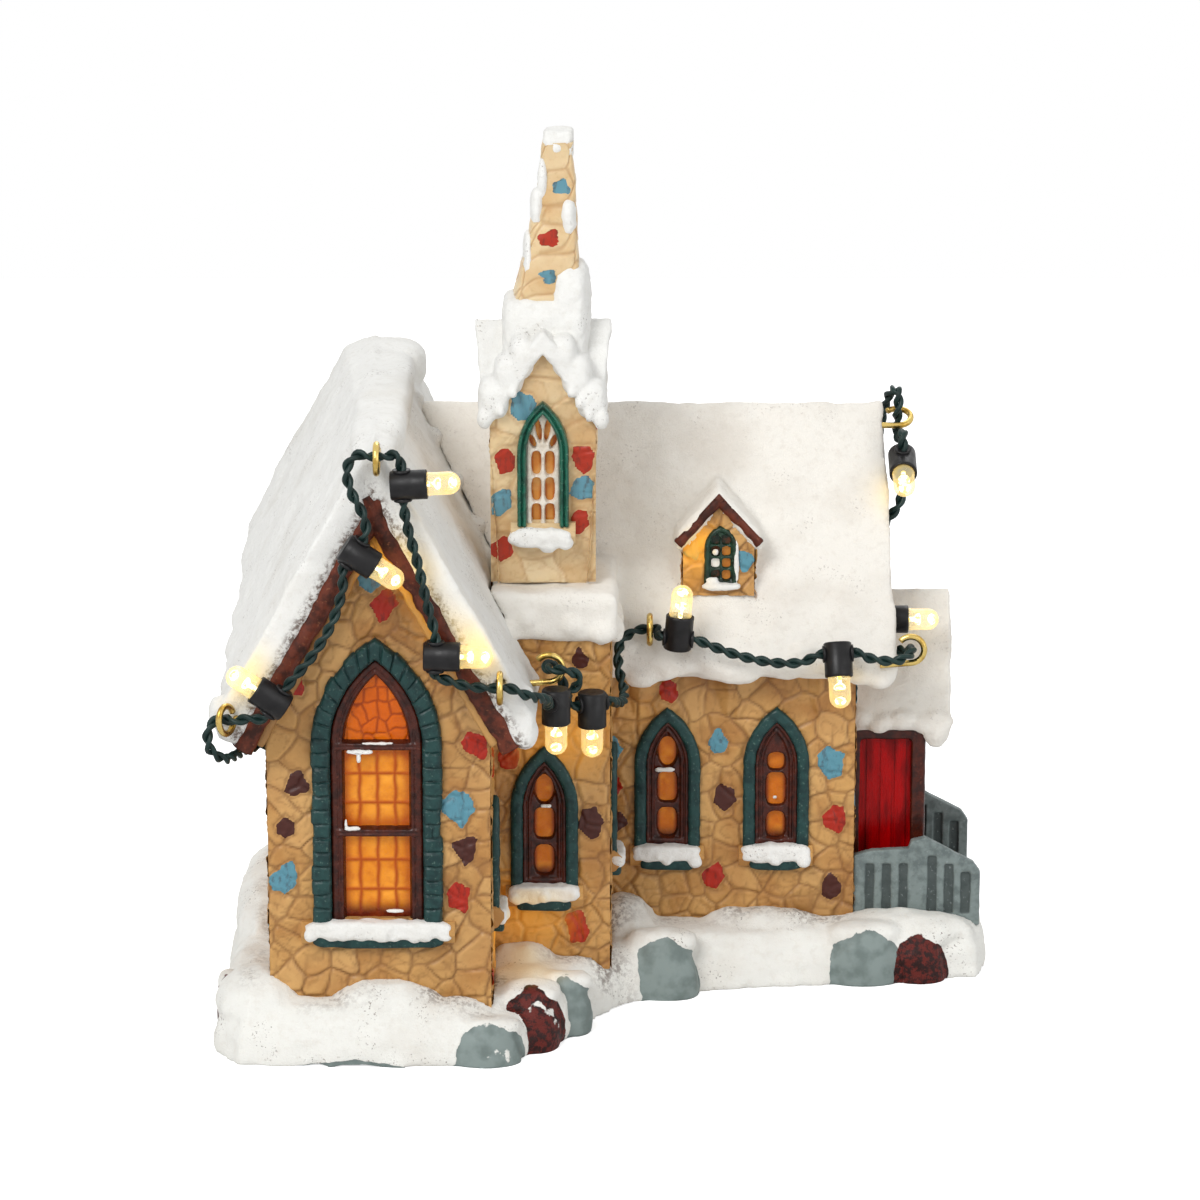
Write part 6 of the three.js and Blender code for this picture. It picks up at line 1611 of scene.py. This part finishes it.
    def spire(self) -> None:
        """The leaning square spire: its half width and its middle are read off by height, its
        corners are rounded, and its sides are uneven; snow lies on its cap, sides and foot."""
        y = self.centre[1]
        rings, sides, square = 150, 120, 0.35
        z = np.linspace(137.8, 191.6, rings)
        half = np.interp(z, [137.8, 152.8, 160, 168, 175, 183, 188, 192],
                         [7.6, 7.8, 6.9, 5.5, 4.7, 3.8, 3.1, 3.0])
        middle = np.interp(z, [152.8, 160, 168, 175, 183, 188, 192],
                           [-14.3, -13.4, -12.6, -12.1, -11.4, -11.5, -11.1])
        angle = np.linspace(0, 2 * math.pi, sides, endpoint=False)
        ring = np.stack([np.cos(angle), np.sin(angle)], -1)
        ring = np.sign(ring) * np.abs(ring) ** square
        axis = np.stack([middle, np.full(z.shape, y)], -1)[:, None]
        body = np.concatenate([axis + half[:, None, None] * ring[None],
                               np.broadcast_to(z[:, None, None], (rings, sides, 1))], -1)
        around = angle[None] * half[:, None] * 1.25
        height = np.broadcast_to(z[:, None], around.shape)
        joint, stone, _, _ = paving(around, height, 6.4, 17)
        pad = smoothstep(joint, 0.0, 0.7)
        uneven = 0.25 * pad + 0.3 * rough(body, 5.0, 19) + 0.14 * rough(body, 1.6, 20)
        body[..., :2] += uneven[..., None] * ring[None]
        skin = Skin().grid(body, around=True, start=body[0].mean(0), end=body[-1].mean(0))
        piece = skin.mesh("spire_stone")
        places = points_of(piece)
        paint = np.zeros((len(places), 4))
        for centre, size, colour in (
                ((-10.6, -8.5, 182.3), 2.0, BLUE_STONE), ((-12.9, -9.4, 171.1), 2.5, RED_STONE),
                ((-13.5, -10.4, 163.5), 2.1, BLUE_STONE), ((-7.2, -3, 172), 2.2, RED_STONE),
                ((-11.6, 0.5, 178), 2.2, BLUE_STONE), ((-13.0, 1.2, 166), 2.2, RED_STONE)):
            reach = np.linalg.norm((places - np.array(centre)) * np.array([1, 0.6, 1.15]), axis=1)
            blot = 1 - smoothstep(reach + 0.7 * rough(places, 1.1, 31), size - 0.5, size + 0.2)
            chosen = blot > paint[:, 3]
            paint[chosen, :3] = colour
            paint[:, 3] = np.maximum(paint[:, 3], blot)
        attribute(piece, "relief", np.append(pad.ravel(), [1, 1])[skin.used])
        attribute(piece, "tone", np.append(stone.ravel(), [0, 0])[skin.used])
        attribute(piece, "glow", np.zeros(len(places)))
        attribute(piece, "paint", paint)
        dress(piece, Finish.PALE_STONE, ["spire"])
        snow = Cast("spire_snow", cell=0.42, smooth=3, heights=(0.3, 0.26, 0.12), sizes=(6.0, 2.2, 1.0))
        for centre, size, square in (
                ((-11.1, y, 192.4), (3.3, 3.3, 1.9), 0.4), ((-11.3, y - 1.2, 190.6), (1.6, 2.4, 1.6), 0.8),
                ((-8.6, y, 190.2), (0.9, 3.0, 2.4), 0.8), ((-14.6, y - 2.2, 184.0), (1.1, 2.6, 4.6), 0.9),
                ((-15.8, y - 2.4, 177.6), (1.4, 3.0, 4.4), 0.9), ((-9.0, y - 3.6, 175.5), (1.6, 2.6, 4.2), 0.9),
                ((-17.6, y - 2.0, 166.4), (1.1, 4.4, 6.0), 0.8), ((-8.6, y, 156.0), (4.4, 8.6, 9.8), 0.6),
                ((-14.0, y, 149.5), (9.4, 9.4, 7.4), 0.35), ((-14.6, y, 153.5), (8.6, 8.8, 5.0), 0.4),
                ((-13.5, y + 5.6, 164.0), (5.0, 1.6, 9.0), 0.8), ((-12.0, y + 4.4, 182.0), (2.6, 1.2, 5.0), 0.8)):
            snow.lump(centre, size, square)
        snow.build()


@dataclass
class Roofs:
    """The snow on wing, nave and porch, the boards under it, and the dormer."""

    wing_front: float = -54.0
    wing_centre: float = -49.4
    wing_inner: float = 125.3
    wing_pitch: float = 1.8
    wing_reach: float = 30.0

    def build(self) -> None:
        """Makes all of them."""
        self.wing()
        self.verge_boards()
        self.nave()
        self.dormer()
        self.porch()

    def wing(self) -> None:
        """Snow on the wing, with a rounded blob at its right foot and lumps in the valley."""
        def soiled(points: Array) -> dict[str, Array]:
            out = points[:, 2] - (self.wing_inner - self.wing_pitch * np.abs(points[:, 0] - self.wing_centre))
            return {"dirt": (1 - smoothstep(out, 1.5, 5.0)) * (points[:, 1] < -50) * 0.9}

        snow = Cast("wing_roof_snow", cell=0.8, smooth=5, heights=(0.5, 0.25, 0.1), marks=soiled)
        snow.node("wing_roof")
        for centre, half in (((-19.4, -50.0, 76.4), (3.4, 4.2, 6.2)), ((-18.2, -50.6, 73.0), (3.0, 3.6, 3.4)),
                             ((-18.4, -44, 77), (3.0, 6.0, 4.6)), ((-82.6, -50.5, 77.5), (2.4, 3.6, 3.4))):
            snow.lump(centre, half)
        for x, y, z in ((-44.3, 29, 127), (-40, 24.9, 119.3), (-35, 20.2, 110.3), (-30, 15.5, 101.3),
                        (-26, 11.6, 94.1), (-40, 33.1, 119.3), (-35, 37.8, 110.3),
                        (-30, 42.5, 101.3), (-26, 46.4, 94.1)):
            snow.lump((x, y, z), (2.6, 2.6, 2.4))
        ridge = float(snow.shells[0][0][:, 2].max())
        snow.lump((-49.6, 1.0, ridge - 4.4), (5.8, 55.0, 4.3), 0.6)
        snow.lump((-49.2, 50.0, ridge - 5.2), (7.6, 9.0, 5.4), 0.7)
        snow.build(["wing_roof"])

    def plank(self, skin: Skin, apex: Point, pitch: float, reach: float, section: Sequence[Plan],
              ragged: float, gouge: float) -> None:
        """Adds two boards that meet at an apex, one down each slope. The section is carried
        along each slope; its first value runs out of the roof, its second towards the viewer.

        Args:
            skin: Where they are added.
            apex: Where the two meet.
            pitch: Fall of each slope for one along.
            reach: How far they run to each side.
            section: Outline of a board.
            ragged: How far the lower edge wanders.
            gouge: Depth of the marks along the board.
        """
        steep = math.hypot(1, pitch)
        down = np.linspace(-0.5, reach * steep, int(reach * steep * 2.4))
        across = np.array(section)
        for side in (-1, 1):
            direction = np.array([side, 0, -pitch]) / steep
            normal = np.array([side * pitch, 0, 1]) / steep
            path = np.array(apex) + down[:, None] * direction
            points = path[:, None] + across[None, :, :1] * normal - across[None, :, 1:] * np.array([0, 1.0, 0])
            streak = rough(points * np.array([0.35, 1, 0.2]), 1.1, SEED + side)
            points[..., 1] -= gouge * streak * (across[:, 1] > 0.5)[None]
            wander = rough(points, 2.4, SEED + 5, 2)
            points += ragged * wander[..., None] * normal * (across[:, 0] < 0.1)[None, :, None]
            skin.grid(points[:, ::-1] if side < 0 else points, around=True, start=points[0].mean(0),
                      end=points[-1].mean(0))

    def verge_boards(self) -> None:
        """Two carved boards under the wing's snow, and a thin pale step inside them, with a painted shadow of the
        board down its left slope.
        """
        apex = (self.wing_centre, self.wing_front + 3.0, self.wing_inner)
        boards, steps = Skin(), Skin()
        self.plank(boards, apex, self.wing_pitch, self.wing_reach + 0.3, (
            (0.3, 0.0), (0.3, 1.2), (0.0, 2.2), (-1.0, 2.9), (-2.6, 3.0), (-3.8, 2.6), (-4.2, 1.8),
            (-4.2, 0.0)), 0.45, 0.4)
        self.plank(steps, apex, self.wing_pitch, self.wing_reach - 0.8, (
            (-3.8, -0.4), (-3.8, 0.8), (-4.4, 1.1), (-5.6, 0.9), (-5.9, 0.2), (-5.8, -0.4)), 0.3, 0.15)
        dress(boards.mesh("wing_verge_boards"), Finish.BOARDS)
        piece = steps.mesh("wing_verge_step")
        points = points_of(piece)
        attribute(piece, "glow", lamplight(points, normals_of(piece)))
        # Painted shadow: the step is darker down the left slope, through the joint colour, as if the board above
        # shades it.
        attribute(piece, "relief", smoothstep(points[:, 0], self.wing_centre - 4, self.wing_centre + 6) * 0.8)
        for name, values in (("tone", np.zeros(len(points))), ("paint", np.zeros((len(points), 4)))):
            attribute(piece, name, values)
        dress(piece, Finish.STONE)

    def nave(self) -> None:
        """Snow on the nave, the cap on the tower base and its drips."""
        snow = Cast("nave_roof_snow", Finish.NAVE_SNOW, cell=0.8, smooth=5, heights=(0.45, 0.25, 0.1))
        snow.node("nave_roof")
        for x, z, half in ((-22.5, 86.5, 2.6), (-18.0, 89.5, 2.2), (-8.5, 88.4, 2.4), (-2.0, 86.6, 2.8)):
            snow.lump((x, -20.6, z), (half, 2.0, 2.8))
        for y in (-16, -9, -2):
            snow.lump((1.0, y, 86.2), (2.0, 3.2, 3.0))
        for x, z, half in ((2.5, 77.5, 3.4), (7.0, 70.5, 4.2), (13.0, 72.5, 4.5), (20, 75.5, 4), (30, 71.4, 4.5),
                           (35, 73, 3.5), (43, 75, 4), (50, 73, 4), (56, 71.4, 4.5), (60, 70.4, 3.4)):
            snow.lump((x, 2.4, z), (half, 2.2, 3.0))
        snow.build(["nave_roof"])

    def dormer(self) -> None:
        """Dormer: tan walls, carved boards, and a small dark window with one lit column."""
        x, face, arch = 24.1, 7.6, DORMER_ARCH
        StoneWall("dormer_stones", (x - 7.6, face), (x + 7.6, face), lambda u: 109.4 - 1.1 * np.abs(u - 7.6),
                  foot=87.5, seed=131, spacing=0.36, stone=5.0, arches=[arch], daubs=[
            Daub(18.4, 97.5, tint("4f8a66"), 1.7), Daub(30.1, 95.5, BLUE_STONE, 1.7)]).build()
        for place, (wall_x, start, end) in enumerate(((x - 7.8, 20.0, face), (x + 7.8, face, 20.0))):
            StoneWall(f"dormer_side_{place + 1}", (wall_x, start), (wall_x, end), lambda u: np.full_like(u, 101.0),
                      foot=84.0, seed=141 + place, stone=5.0).build()
        boards = Skin()
        self.plank(boards, (x, face - 0.2, 110.2), 1.1, 9.4, (
            (0.6, 0), (0.6, 1.6), (-0.4, 2.2), (-1.3, 1.8), (-1.5, 0)), 0.45, 0.2)
        dress(boards.mesh("dormer_boards"), Finish.BOARDS)
        openings = [Opening(side * 1.2, height, 0.85, 0.95) for side in (-1, 1)
                    for height in (92.2, 94.9, 97.6, 100.2)]

        def light(u: Array, z: Array) -> tuple[Array, Array]:
            colours = np.broadcast_to(np.array(tint("16261c")), (*u.shape, 3))
            colours = blend(colours, tint("b07028"), (u > 0) * (z < 99))
            return blend(colours, tint("e8e4da"), (u < 0) * (np.abs(z - 94.9) < 1.2)), 0 * u

        profile = [(-.6, -.8), (-.1, .2), (.2, 1.1), (.9, 1.1), (1.2, .5), (6, .5)]
        Casement("dormer_window", arch, Face(face), 0.3, profile, openings, finish=Finish.DARK_GREEN,
                 slot="green_frame", step=0.22, glass_out=-0.5, sill_rim=1.2).build(light, ["dormer_window"])
        snow = Cast("dormer_window_snow", cell=0.33, smooth=2, heights=(0.15, 0.15, 0.08), sizes=(3.0, 1.5, 0.8))
        for centre, half in (
                ((arch.centre, face - 1.4, 89.8), (4.4, 1.2, 0.9)), ((28.0, face - 0.7, 95.4), (0.6, 0.6, 5.0)),
                ((22.6, face - 0.9, 91.2), (1.4, 0.7, 0.7)), ((23.4, face - 0.9, 97.6), (0.7, 0.4, 0.7))):
            snow.lump(centre, half, 0.8)
        snow.build()

    def porch(self) -> None:
        """Snow on the porch, and its frame with softened edges."""
        snow = Cast("porch_roof_snow", Finish.NAVE_SNOW, cell=0.65, smooth=5, heights=(0.4, 0.25, 0.1))
        snow.node("porch_roof")
        for x, z, half in ((56.5, 56.6, 2.6), (61, 55.2, 2.8), (66, 56.2, 3.0), (71, 55.0, 3.0), (75.2, 55.6, 2.4)):
            snow.lump((x, 16.0, z), (half, 1.8, 2.2))
        snow.build(["porch_roof"])
        Cast("porch_frame_cast", Finish.BROWN, "brown_paint", cell=0.5, smooth=2, heights=(0.1, 0.08, 0.05)).node(
            "porch_frame").build(["porch_frame"])


# Ground ----------------------------------------------------------------------------------


GREY_ROCKS = (((-26.6, -52.7, 0.6), (7.4, 5.0, 7.6)), ((-9.6, -33.3, 3.0), (5.6, 5.0, 8.6)),
              ((11.6, -10.3, 2.6), (7.6, 4.6, 10.6)), ((57.0, -1.3, 2.0), (8.0, 4.0, 9.8)))
RED_ROCKS = (((-17.0, -42.7, 2.0), (6.4, 6.0, 10.0)), ((68.6, 0.1, 1.6), (6.4, 3.6, 8.4)),
             ((-83.4, -35.3, 5.0), (2.2, 6.0, 7.0)))


def near_rocks(points: Array, rocks: Sequence[tuple[Point, Point]]) -> Array:
    """How nearly each point lies on the skin of a rock: 0.8 less its distance from the
    ellipsoid, taken as the radius towards the point times the relative distance.

    Args:
        points: Shape (n, 3).
        rocks: Middle and half sizes of each.

    Returns:
        The greatest value over the rocks, shape (n).
    """
    best = np.full(len(points), -9.0)
    for centre, half in rocks:
        ray = points - np.array(centre)
        relative = np.linalg.norm(ray / np.array(half), axis=1)
        distance = np.linalg.norm(ray, axis=1) * np.abs(1 - 1.07 / np.maximum(relative, 1e-6))
        best = np.maximum(best, 0.8 - distance)
    return best


@dataclass
class Ground:
    """Snow over the base, drifts against the walls, the rocks in the bank, and the stonework
    of the entrance."""

    rock_growth: float = 1.06

    def build(self) -> None:
        """Makes the bank and the entrance."""
        snow = Cast("ground_snow", Finish.GROUND_SNOW, cell=0.85, smooth=4, heights=(0.5, 0.3, 0.12),
                    marks=self._marks)
        snow.node("ground_casting")
        for centre, half in (
                ((-76, -42, 10), (10, 12, 8)), ((-48, -46, 10.4), (13, 7.6, 6.6)), ((-20, -19, 10), (9, 8, 6)),
                ((3, 3, 10), (8, 10, 9)), ((34, 6, 10), (16, 7, 5.4)), ((66, 6, 10), (17, 7, 4.6)),
                ((76, 30, 10), (9.6, 22, 4)), ((-78, 26, 10), (7.6, 36, 8.6)), ((-20, 56, 10), (46, 5, 5))):
            snow.lump(centre, tuple(size - 1.0 for size in half))
        for centre, half in GREY_ROCKS + RED_ROCKS:
            snow.lump(centre, tuple(size * self.rock_growth for size in half))
            snow.lump((centre[0], centre[1] + 0.35 * half[1], centre[2] + 0.9 * half[2]),
                      (half[0] * 1.05, half[1] * 0.85, half[2] * 0.28), 0.8)
        for centre, half in (((-22, -47, 3), (4.6, 5.6, 6.4)), ((-13.2, -37.8, 4), (4.6, 5, 7)),
                             ((62.9, 0.6, 3), (4, 3.6, 7))):
            snow.lump(centre, half, 0.8)
        snow.build(["ground_casting"])
        for name in ("entrance_steps", "front_balustrade", "rear_balustrade"):
            # The balustrades get painted shade between their slats.
            Cast(f"{name}_cast", Finish.GREY, "grey_paint", cell=0.28, smooth=1,
                 heights=(0.08, 0.06, 0.04), marks=self._groove_shade).node(name).build([name])

    @staticmethod
    def _groove_shade(points: Array) -> dict[str, Array]:
        """Painted shade between the slats of a balustrade, which lie back from both its faces: the gaps are
        coloured darker as if in shade. A piece that is thicker than a balustrade gets none."""
        low, high = points[:, 1].min(), points[:, 1].max()
        x, y, z = points.T
        rail = 26.6 - 6.6 * np.clip((x - 71) / 15, 0, 1) + 1.6 * (x > 71)
        sunk = smoothstep(y, low + 0.2, low + 0.5) * smoothstep(high - y, 0.2, 0.5)
        return {"groove": sunk * (high - low < 4) * (z < rail) * (x < 84.8)}

    @staticmethod
    def _marks(points: Array) -> dict[str, Array]:
        """Grey and red rocks, a grey edge along the foot at the left, and soiled snow by the
        walls."""
        foot = 1.9 - points[:, 2] - 0.14 * np.abs(points[:, 0] + 55)
        edge = np.where(points[:, 1] < -40, np.minimum(foot, 0.6) - 0.1, -9.0)
        rock = np.maximum(near_rocks(points, GREY_ROCKS), edge)
        away = plan_distance(points)
        dirt = (1 - smoothstep(away, 1.0, 9.0)) * smoothstep(rough(points, 9.0, 61, 2), -0.3, 0.6) * 0.75
        return {"rock": rock, "crag": near_rocks(points, RED_ROCKS), "dirt": dirt}


# Light chain -----------------------------------------------------------------------------


def on_far_slope(x: float, y: float) -> Point:
    """A place on the nave's far slope, the cord's thickness above the snow."""
    return (x, y, 127 - 1.9 * (y - 29) + 2.2 * math.hypot(1, 1.9))


@dataclass
class LightChain:
    """The cord of two twisted wires, its sockets and lenses, and the eyes that hold it."""

    strand: float = 0.6
    pitch: float = 7.0
    diameter: float = 2.4

    def route(self) -> Array:
        """The points that the cord passes, from the battery box to the battery box."""
        mouths = [lamp.mouths() for lamp in LAMPS]
        lead, reach = 16.6, 8.5
        return np.array([
            (-49.4 - reach, 6, lead), (-50.4 - reach, -8, lead), (-60.6, -17, lead + 2), (-63.4, -26, 26),
            (-65.4, -33, 40), (-66, -37.4, 54), (-66.6, -38.8, 62.6), (-68.3, -39, 66.6), (-74.1, -39, 66.6),
            (-77.5, -43, 67), (-79.6, -50, 67.6), (-81.8, -55.4, 68.6), (-84.4, -57.6, 71.6), (-84.4, -58, 75.6),
            *EYES["left_eave_eye"].mouths(-1), (-76.2, -58.8, 78.4), *mouths[0],
            (-62.9, -58, 91.2), (-58.6, -58, 98.2), (-55.9, -58.2, 106.2), *mouths[1],
            (-51.2, -58.2, 121.6), (-53.9, -58.2, 127.4), (-54.6, -58.2, 132.2), (-52.6, -58.1, 135),
            *EYES["ridge_eye"].mouths(-1, 0.5), (-44.4, -58.4, 135), *mouths[2],
            (-42.2, -58.2, 119.6), (-40.2, -58, 111.8), (-38.5, -58, 103.8), *mouths[3],
            (-34.6, -58, 86.6), (-29.8, -58, 85.2), *EYES["right_eave_eye"].mouths(-1),
            (-17.4, -57.6, 83), (-13.8, -51, 80.4), (-13.2, -45, 77.8), *mouths[4],
            (-7.6, -32.6, 77.6), (-7, -34.6, 80.8), (-9.6, -35.8, 82.4), *EYES["tower_hook"].mouths(-1, 0.4),
            (-11.2, -27, 80.4), (-9.8, -28.4, 76.2), *mouths[5],
            (1.2, -24.6, 72), (2.8, -18, 70.6), (3, -12, 71.6), (1.9, -7.6, 75.2), (2.2, -3.6, 79), (4.6, -0.6, 81),
            *EYES["nave_left_eye"].mouths(-1), *mouths[6],
            (21.4, -4.2, 79.4), (28.6, -4.2, 76.8), (36.2, -4.2, 75.2), (42.4, -4.4, 75.4), *mouths[7],
            (57.2, -4, 76.2), (63, -4.2, 75.6), *EYES["nave_right_hook"].mouths(-1, -0.3),
            (66.4, 6.6, 75), (62.8, 10.4, 74.6), *mouths[8],
            (60.2, 18.6, 87.6), (59.4, 21.4, 94), (61.6, 23.2, 99.6), (65, 22.8, 105), *mouths[9],
            (65.4, 21, 121.2), (65.3, 24.8, 119.8), (64.8, 28, 118.6), *EYES["nave_ridge_hook"].mouths(1),
            (64.6, 29.6, 129), (62.6, 34.4, 126.4),
            on_far_slope(60, 39), on_far_slope(57, 45.6), on_far_slope(54, 52), on_far_slope(51.6, 56.2),
            (50, 60.2, 74.4), (48.4, 60.2, 69), (46, 57.6, 65), (44, 51.2, 64), (44, 45.4, 64),
            (43.4, 43, 60.4), (39.4, 41.6, 48), (31, 39.4, 33), (18, 36.6, 20), (2, 33, 14), (-14, 28.4, 14),
            (-26, 22.4, 17.4), (-34, 15.6, lead + 1), (-49.4 + reach, 10, lead),
        ], float)

    def build(self) -> None:
        """Makes the cord first, then what is on it. Each strand's middle turns about the path:
        path + r (cos p N + sin p B), with p one turn for each pitch."""
        path = smooth_path(self.route(), 0.5)
        normal, binormal = path_frame(path)
        along = np.concatenate([[0], np.cumsum(np.linalg.norm(np.diff(path, axis=0), axis=1))])
        phase = 2 * math.pi * along / self.pitch
        angle = np.linspace(0, 2 * math.pi, 10, endpoint=False)[None, :, None]
        ring = np.cos(angle) * normal[:, None] + np.sin(angle) * binormal[:, None]
        skin = Skin()
        for turn in (0, math.pi):
            middle = path + self.strand * (np.cos(phase + turn)[:, None] * normal
                                           + np.sin(phase + turn)[:, None] * binormal)
            skin.grid(middle[:, None] + self.strand * ring, around=True, start=middle[0], end=middle[-1])
        cord = dress(skin.mesh("twisted_cord"), Finish.CORD, ["light_chain"])
        pieces = [piece for number, lamp in enumerate(LAMPS, 1) for piece in self.lamp(lamp, number)]
        log.info("cord length %.1f mm", along[-1])
        for name, eye in EYES.items():
            body, start, end = tube(eye.path(), 0.7, 14)
            wire = Skin().grid(body, around=True, start=start, end=end)
            dress(wire.mesh(f"{name}_wire"), Finish.BRASS, [name])

    def lamp(self, lamp: Lamp, number: int) -> list[bpy.types.Object]:
        """One lamp: black socket with a rim and two cord holes, clear lens with its lit core."""
        lens, side, cord = lamp.axes()
        middle = np.array(lamp.at) + 1.3 * lens
        socket = Skin()
        outline = [(2.5, -3.8), (2.8, -3.8), (3.1, -3.5), (3.1, 3.0), (3.12, 3.3), (3.1, 3.8), (2.85, 3.95),
                   (2.6, 3.8), (2.5, 3.2)]
        body, start, end = lathe(outline, middle, lens, side, 40)
        socket.grid(body, around=True, start=start, end=end)
        for sign in (-1, 1):
            collar = [(1.75, 2.6), (1.95, 3.0), (1.9, 3.35), (1.65, 3.4)]
            body, start, end = lathe(collar, np.array(lamp.at), sign * cord, side, 24)
            socket.grid(body, around=True, start=start, end=end - sign * cord * 0.5)
        case = dress(socket.mesh(f"socket_{number}"), Finish.SOCKET, [f"lamp_socket_{number}"])
        dome = np.linspace(0, math.pi / 2, 10)[1:-1]
        outline = [(2.0, 2.0), (2.2, 3.6), (2.5, 3.9), (2.52, 4.5), (2.42, 4.8), (2.42, 8.4)]
        outline += [(2.42 * math.cos(a), 8.4 + 2.42 * math.sin(a)) for a in dome]
        body, start, _ = lathe(outline, middle, lens, side, 32)
        glass = Skin().grid(body, around=True, start=start, end=middle + 10.82 * lens).shell()
        core = Skin()
        for profile in ([(0.5, 3.4), (0.5, 5.2), (1.2, 5.8), (1.35, 6.4), (0.9, 6.7), (0.55, 6.5), (0.3, 6.4)],
                        [(0.3, 8.3), (1.0, 8.6), (1.3, 9.2), (0.9, 9.9), (0.3, 10.1)]):
            body, start, end = lathe(profile, middle, lens, side, 20)
            core.grid(body, around=True, start=start, end=end)
        piece = mesh_object(f"lens_{number}", joined([glass, core.shell()]))
        lit = np.repeat([0, 1], [len(glass[2]), len(core.shell()[2])]).astype(np.int32)
        dress(piece, [Finish.LENS, Finish.CHIP], [f"lamp_lens_{number}"])
        piece.data.polygons.foreach_set("material_index", lit)
        return [case, piece]


# CAD nodes that stay, and the stage ------------------------------------------------------


def finish_nodes() -> None:
    """Gives each CAD node that still shows a finish of its own."""
    finishes = {
        "wall_casting": Finish.PLAIN_STONE, "tower_shaft": Finish.PLAIN_PALE, "porch_boards": Finish.RED,
        "wing_window_pane": Finish.PANE, "tower_window_pane": Finish.PANE, "nave_window_1_pane": Finish.PANE,
        "nave_window_2_pane": Finish.PANE, "shaft_window_pane": Finish.PANE, "interior_lamp": Finish.LENS,
        "battery_box": Finish.CASE, "battery_cover": Finish.CASE, "switch_slider": Finish.CASE,
        "battery_1": Finish.SLEEVE, "battery_2": Finish.SLEEVE, "battery_3": Finish.SLEEVE,
    }
    for name, finish in finishes.items():
        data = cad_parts[name].data
        data.materials.clear()
        data.materials.append(material(finish))


@dataclass
class Stage:
    """Camera, lamps, floor and background."""

    aim: Point = (-2.2, -3.0, 89.2)
    distance: float = 1100.0
    elevation: float = 15.0

    def camera(self) -> None:
        """Camera at the photograph's viewing angle; 150 mm lens on a 36 mm sensor."""
        tilt = math.radians(self.elevation)
        back = np.array([0.0, -math.cos(tilt), math.sin(tilt)])
        data = bpy.data.cameras.new("camera")
        data.lens, data.sensor_width = 150.0, 36.0
        data.clip_start, data.clip_end = 0.05, 20.0
        camera = bpy.data.objects.new("camera", data)
        camera.location = Vector(((np.array(self.aim) + back * self.distance) * MM).tolist())
        camera.rotation_euler = Vector(back.tolist()).to_track_quat("Z", "Y").to_euler()
        bpy.context.scene.collection.objects.link(camera)
        bpy.context.scene.camera = camera

    def lamp(self, name: str, place: Point, size: float, power: float) -> None:
        """A soft square lamp that points at the church."""
        data = bpy.data.lights.new(name, "AREA")
        data.size, data.energy = size, power
        lamp = bpy.data.objects.new(name, data)
        lamp.location = place
        lamp.rotation_euler = (Vector(place) - Vector((0, 0, 0.08))).to_track_quat("Z", "Y").to_euler()
        bpy.context.scene.collection.objects.link(lamp)

    def build(self) -> None:
        """Lights the church softly, key from the upper left, on a white floor."""
        bpy.context.scene.view_settings.view_transform = "Standard"
        self.world()
        self.lamp("key", (-0.55, -0.9, 0.95), 0.6, 11.0)
        self.lamp("fill", (0.9, -0.8, 0.5), 0.9, 3.6)
        self.lamp("rear", (0.2, 0.9, 0.9), 0.8, 4.5)
        self.floor()

    def world(self) -> None:
        """An even white surround: full white where it is seen, softer where it gives light."""
        world = bpy.data.worlds.new("studio")
        bpy.context.scene.world = world
        world.use_nodes = True
        tree = world.node_tree
        tree.nodes.clear()
        path, either, mix, end = (tree.nodes.new(kind) for kind in (
            "ShaderNodeLightPath", "ShaderNodeMath", "ShaderNodeMixShader", "ShaderNodeOutputWorld"))
        either.operation = "MAXIMUM"
        tree.links.new(path.outputs["Is Camera Ray"], either.inputs[0])
        tree.links.new(path.outputs["Is Glossy Ray"], either.inputs[1])
        tree.links.new(either.outputs[0], mix.inputs[0])
        for place, (colour, strength) in enumerate((((0.97, 0.985, 1, 1), 0.5), ((1, 1, 1, 1), 1.0))):
            shade = tree.nodes.new("ShaderNodeBackground")
            shade.inputs["Color"].default_value = colour
            shade.inputs["Strength"].default_value = strength
            tree.links.new(shade.outputs[0], mix.inputs[1 + place])
        tree.links.new(mix.outputs[0], end.inputs["Surface"])

    def floor(self) -> None:
        """A white floor that keeps a faint shadow."""
        corners = np.array([(-1, -1, 0), (1, -1, 0), (1, 1, 0), (-1, 1, 0)]) * 800.0
        floor = mesh_object("floor", (corners, np.arange(4), np.array([4])))
        s = Shader("floor_white")
        seen = s.node("ShaderNodeLightPath", {}, {}, "Is Camera Ray")
        colour = s.mix(s.noise(40, 2).above(0.2, 0.8), (0.80, 0.80, 0.80), (0.82, 0.82, 0.82))
        emission = s.mix(seen, BLACK, (0.62, 0.62, 0.62))
        floor.data.materials.append(s.finish(Base_Color=colour, Roughness=0.9, Emission_Color=emission,
                                             Emission_Strength=1.0))


def main() -> None:
    """Builds the stage, the chain and the church, in that order."""
    logging.basicConfig(level=logging.INFO, format="%(name)s %(message)s")
    stage = Stage()
    stage.camera()
    LightChain().build()
    Walls().build()
    Windows().build()
    UpperTower().build()
    Roofs().build()
    Ground().build()
    finish_nodes()
    stage.build()


if __name__ == "__main__":
    main()
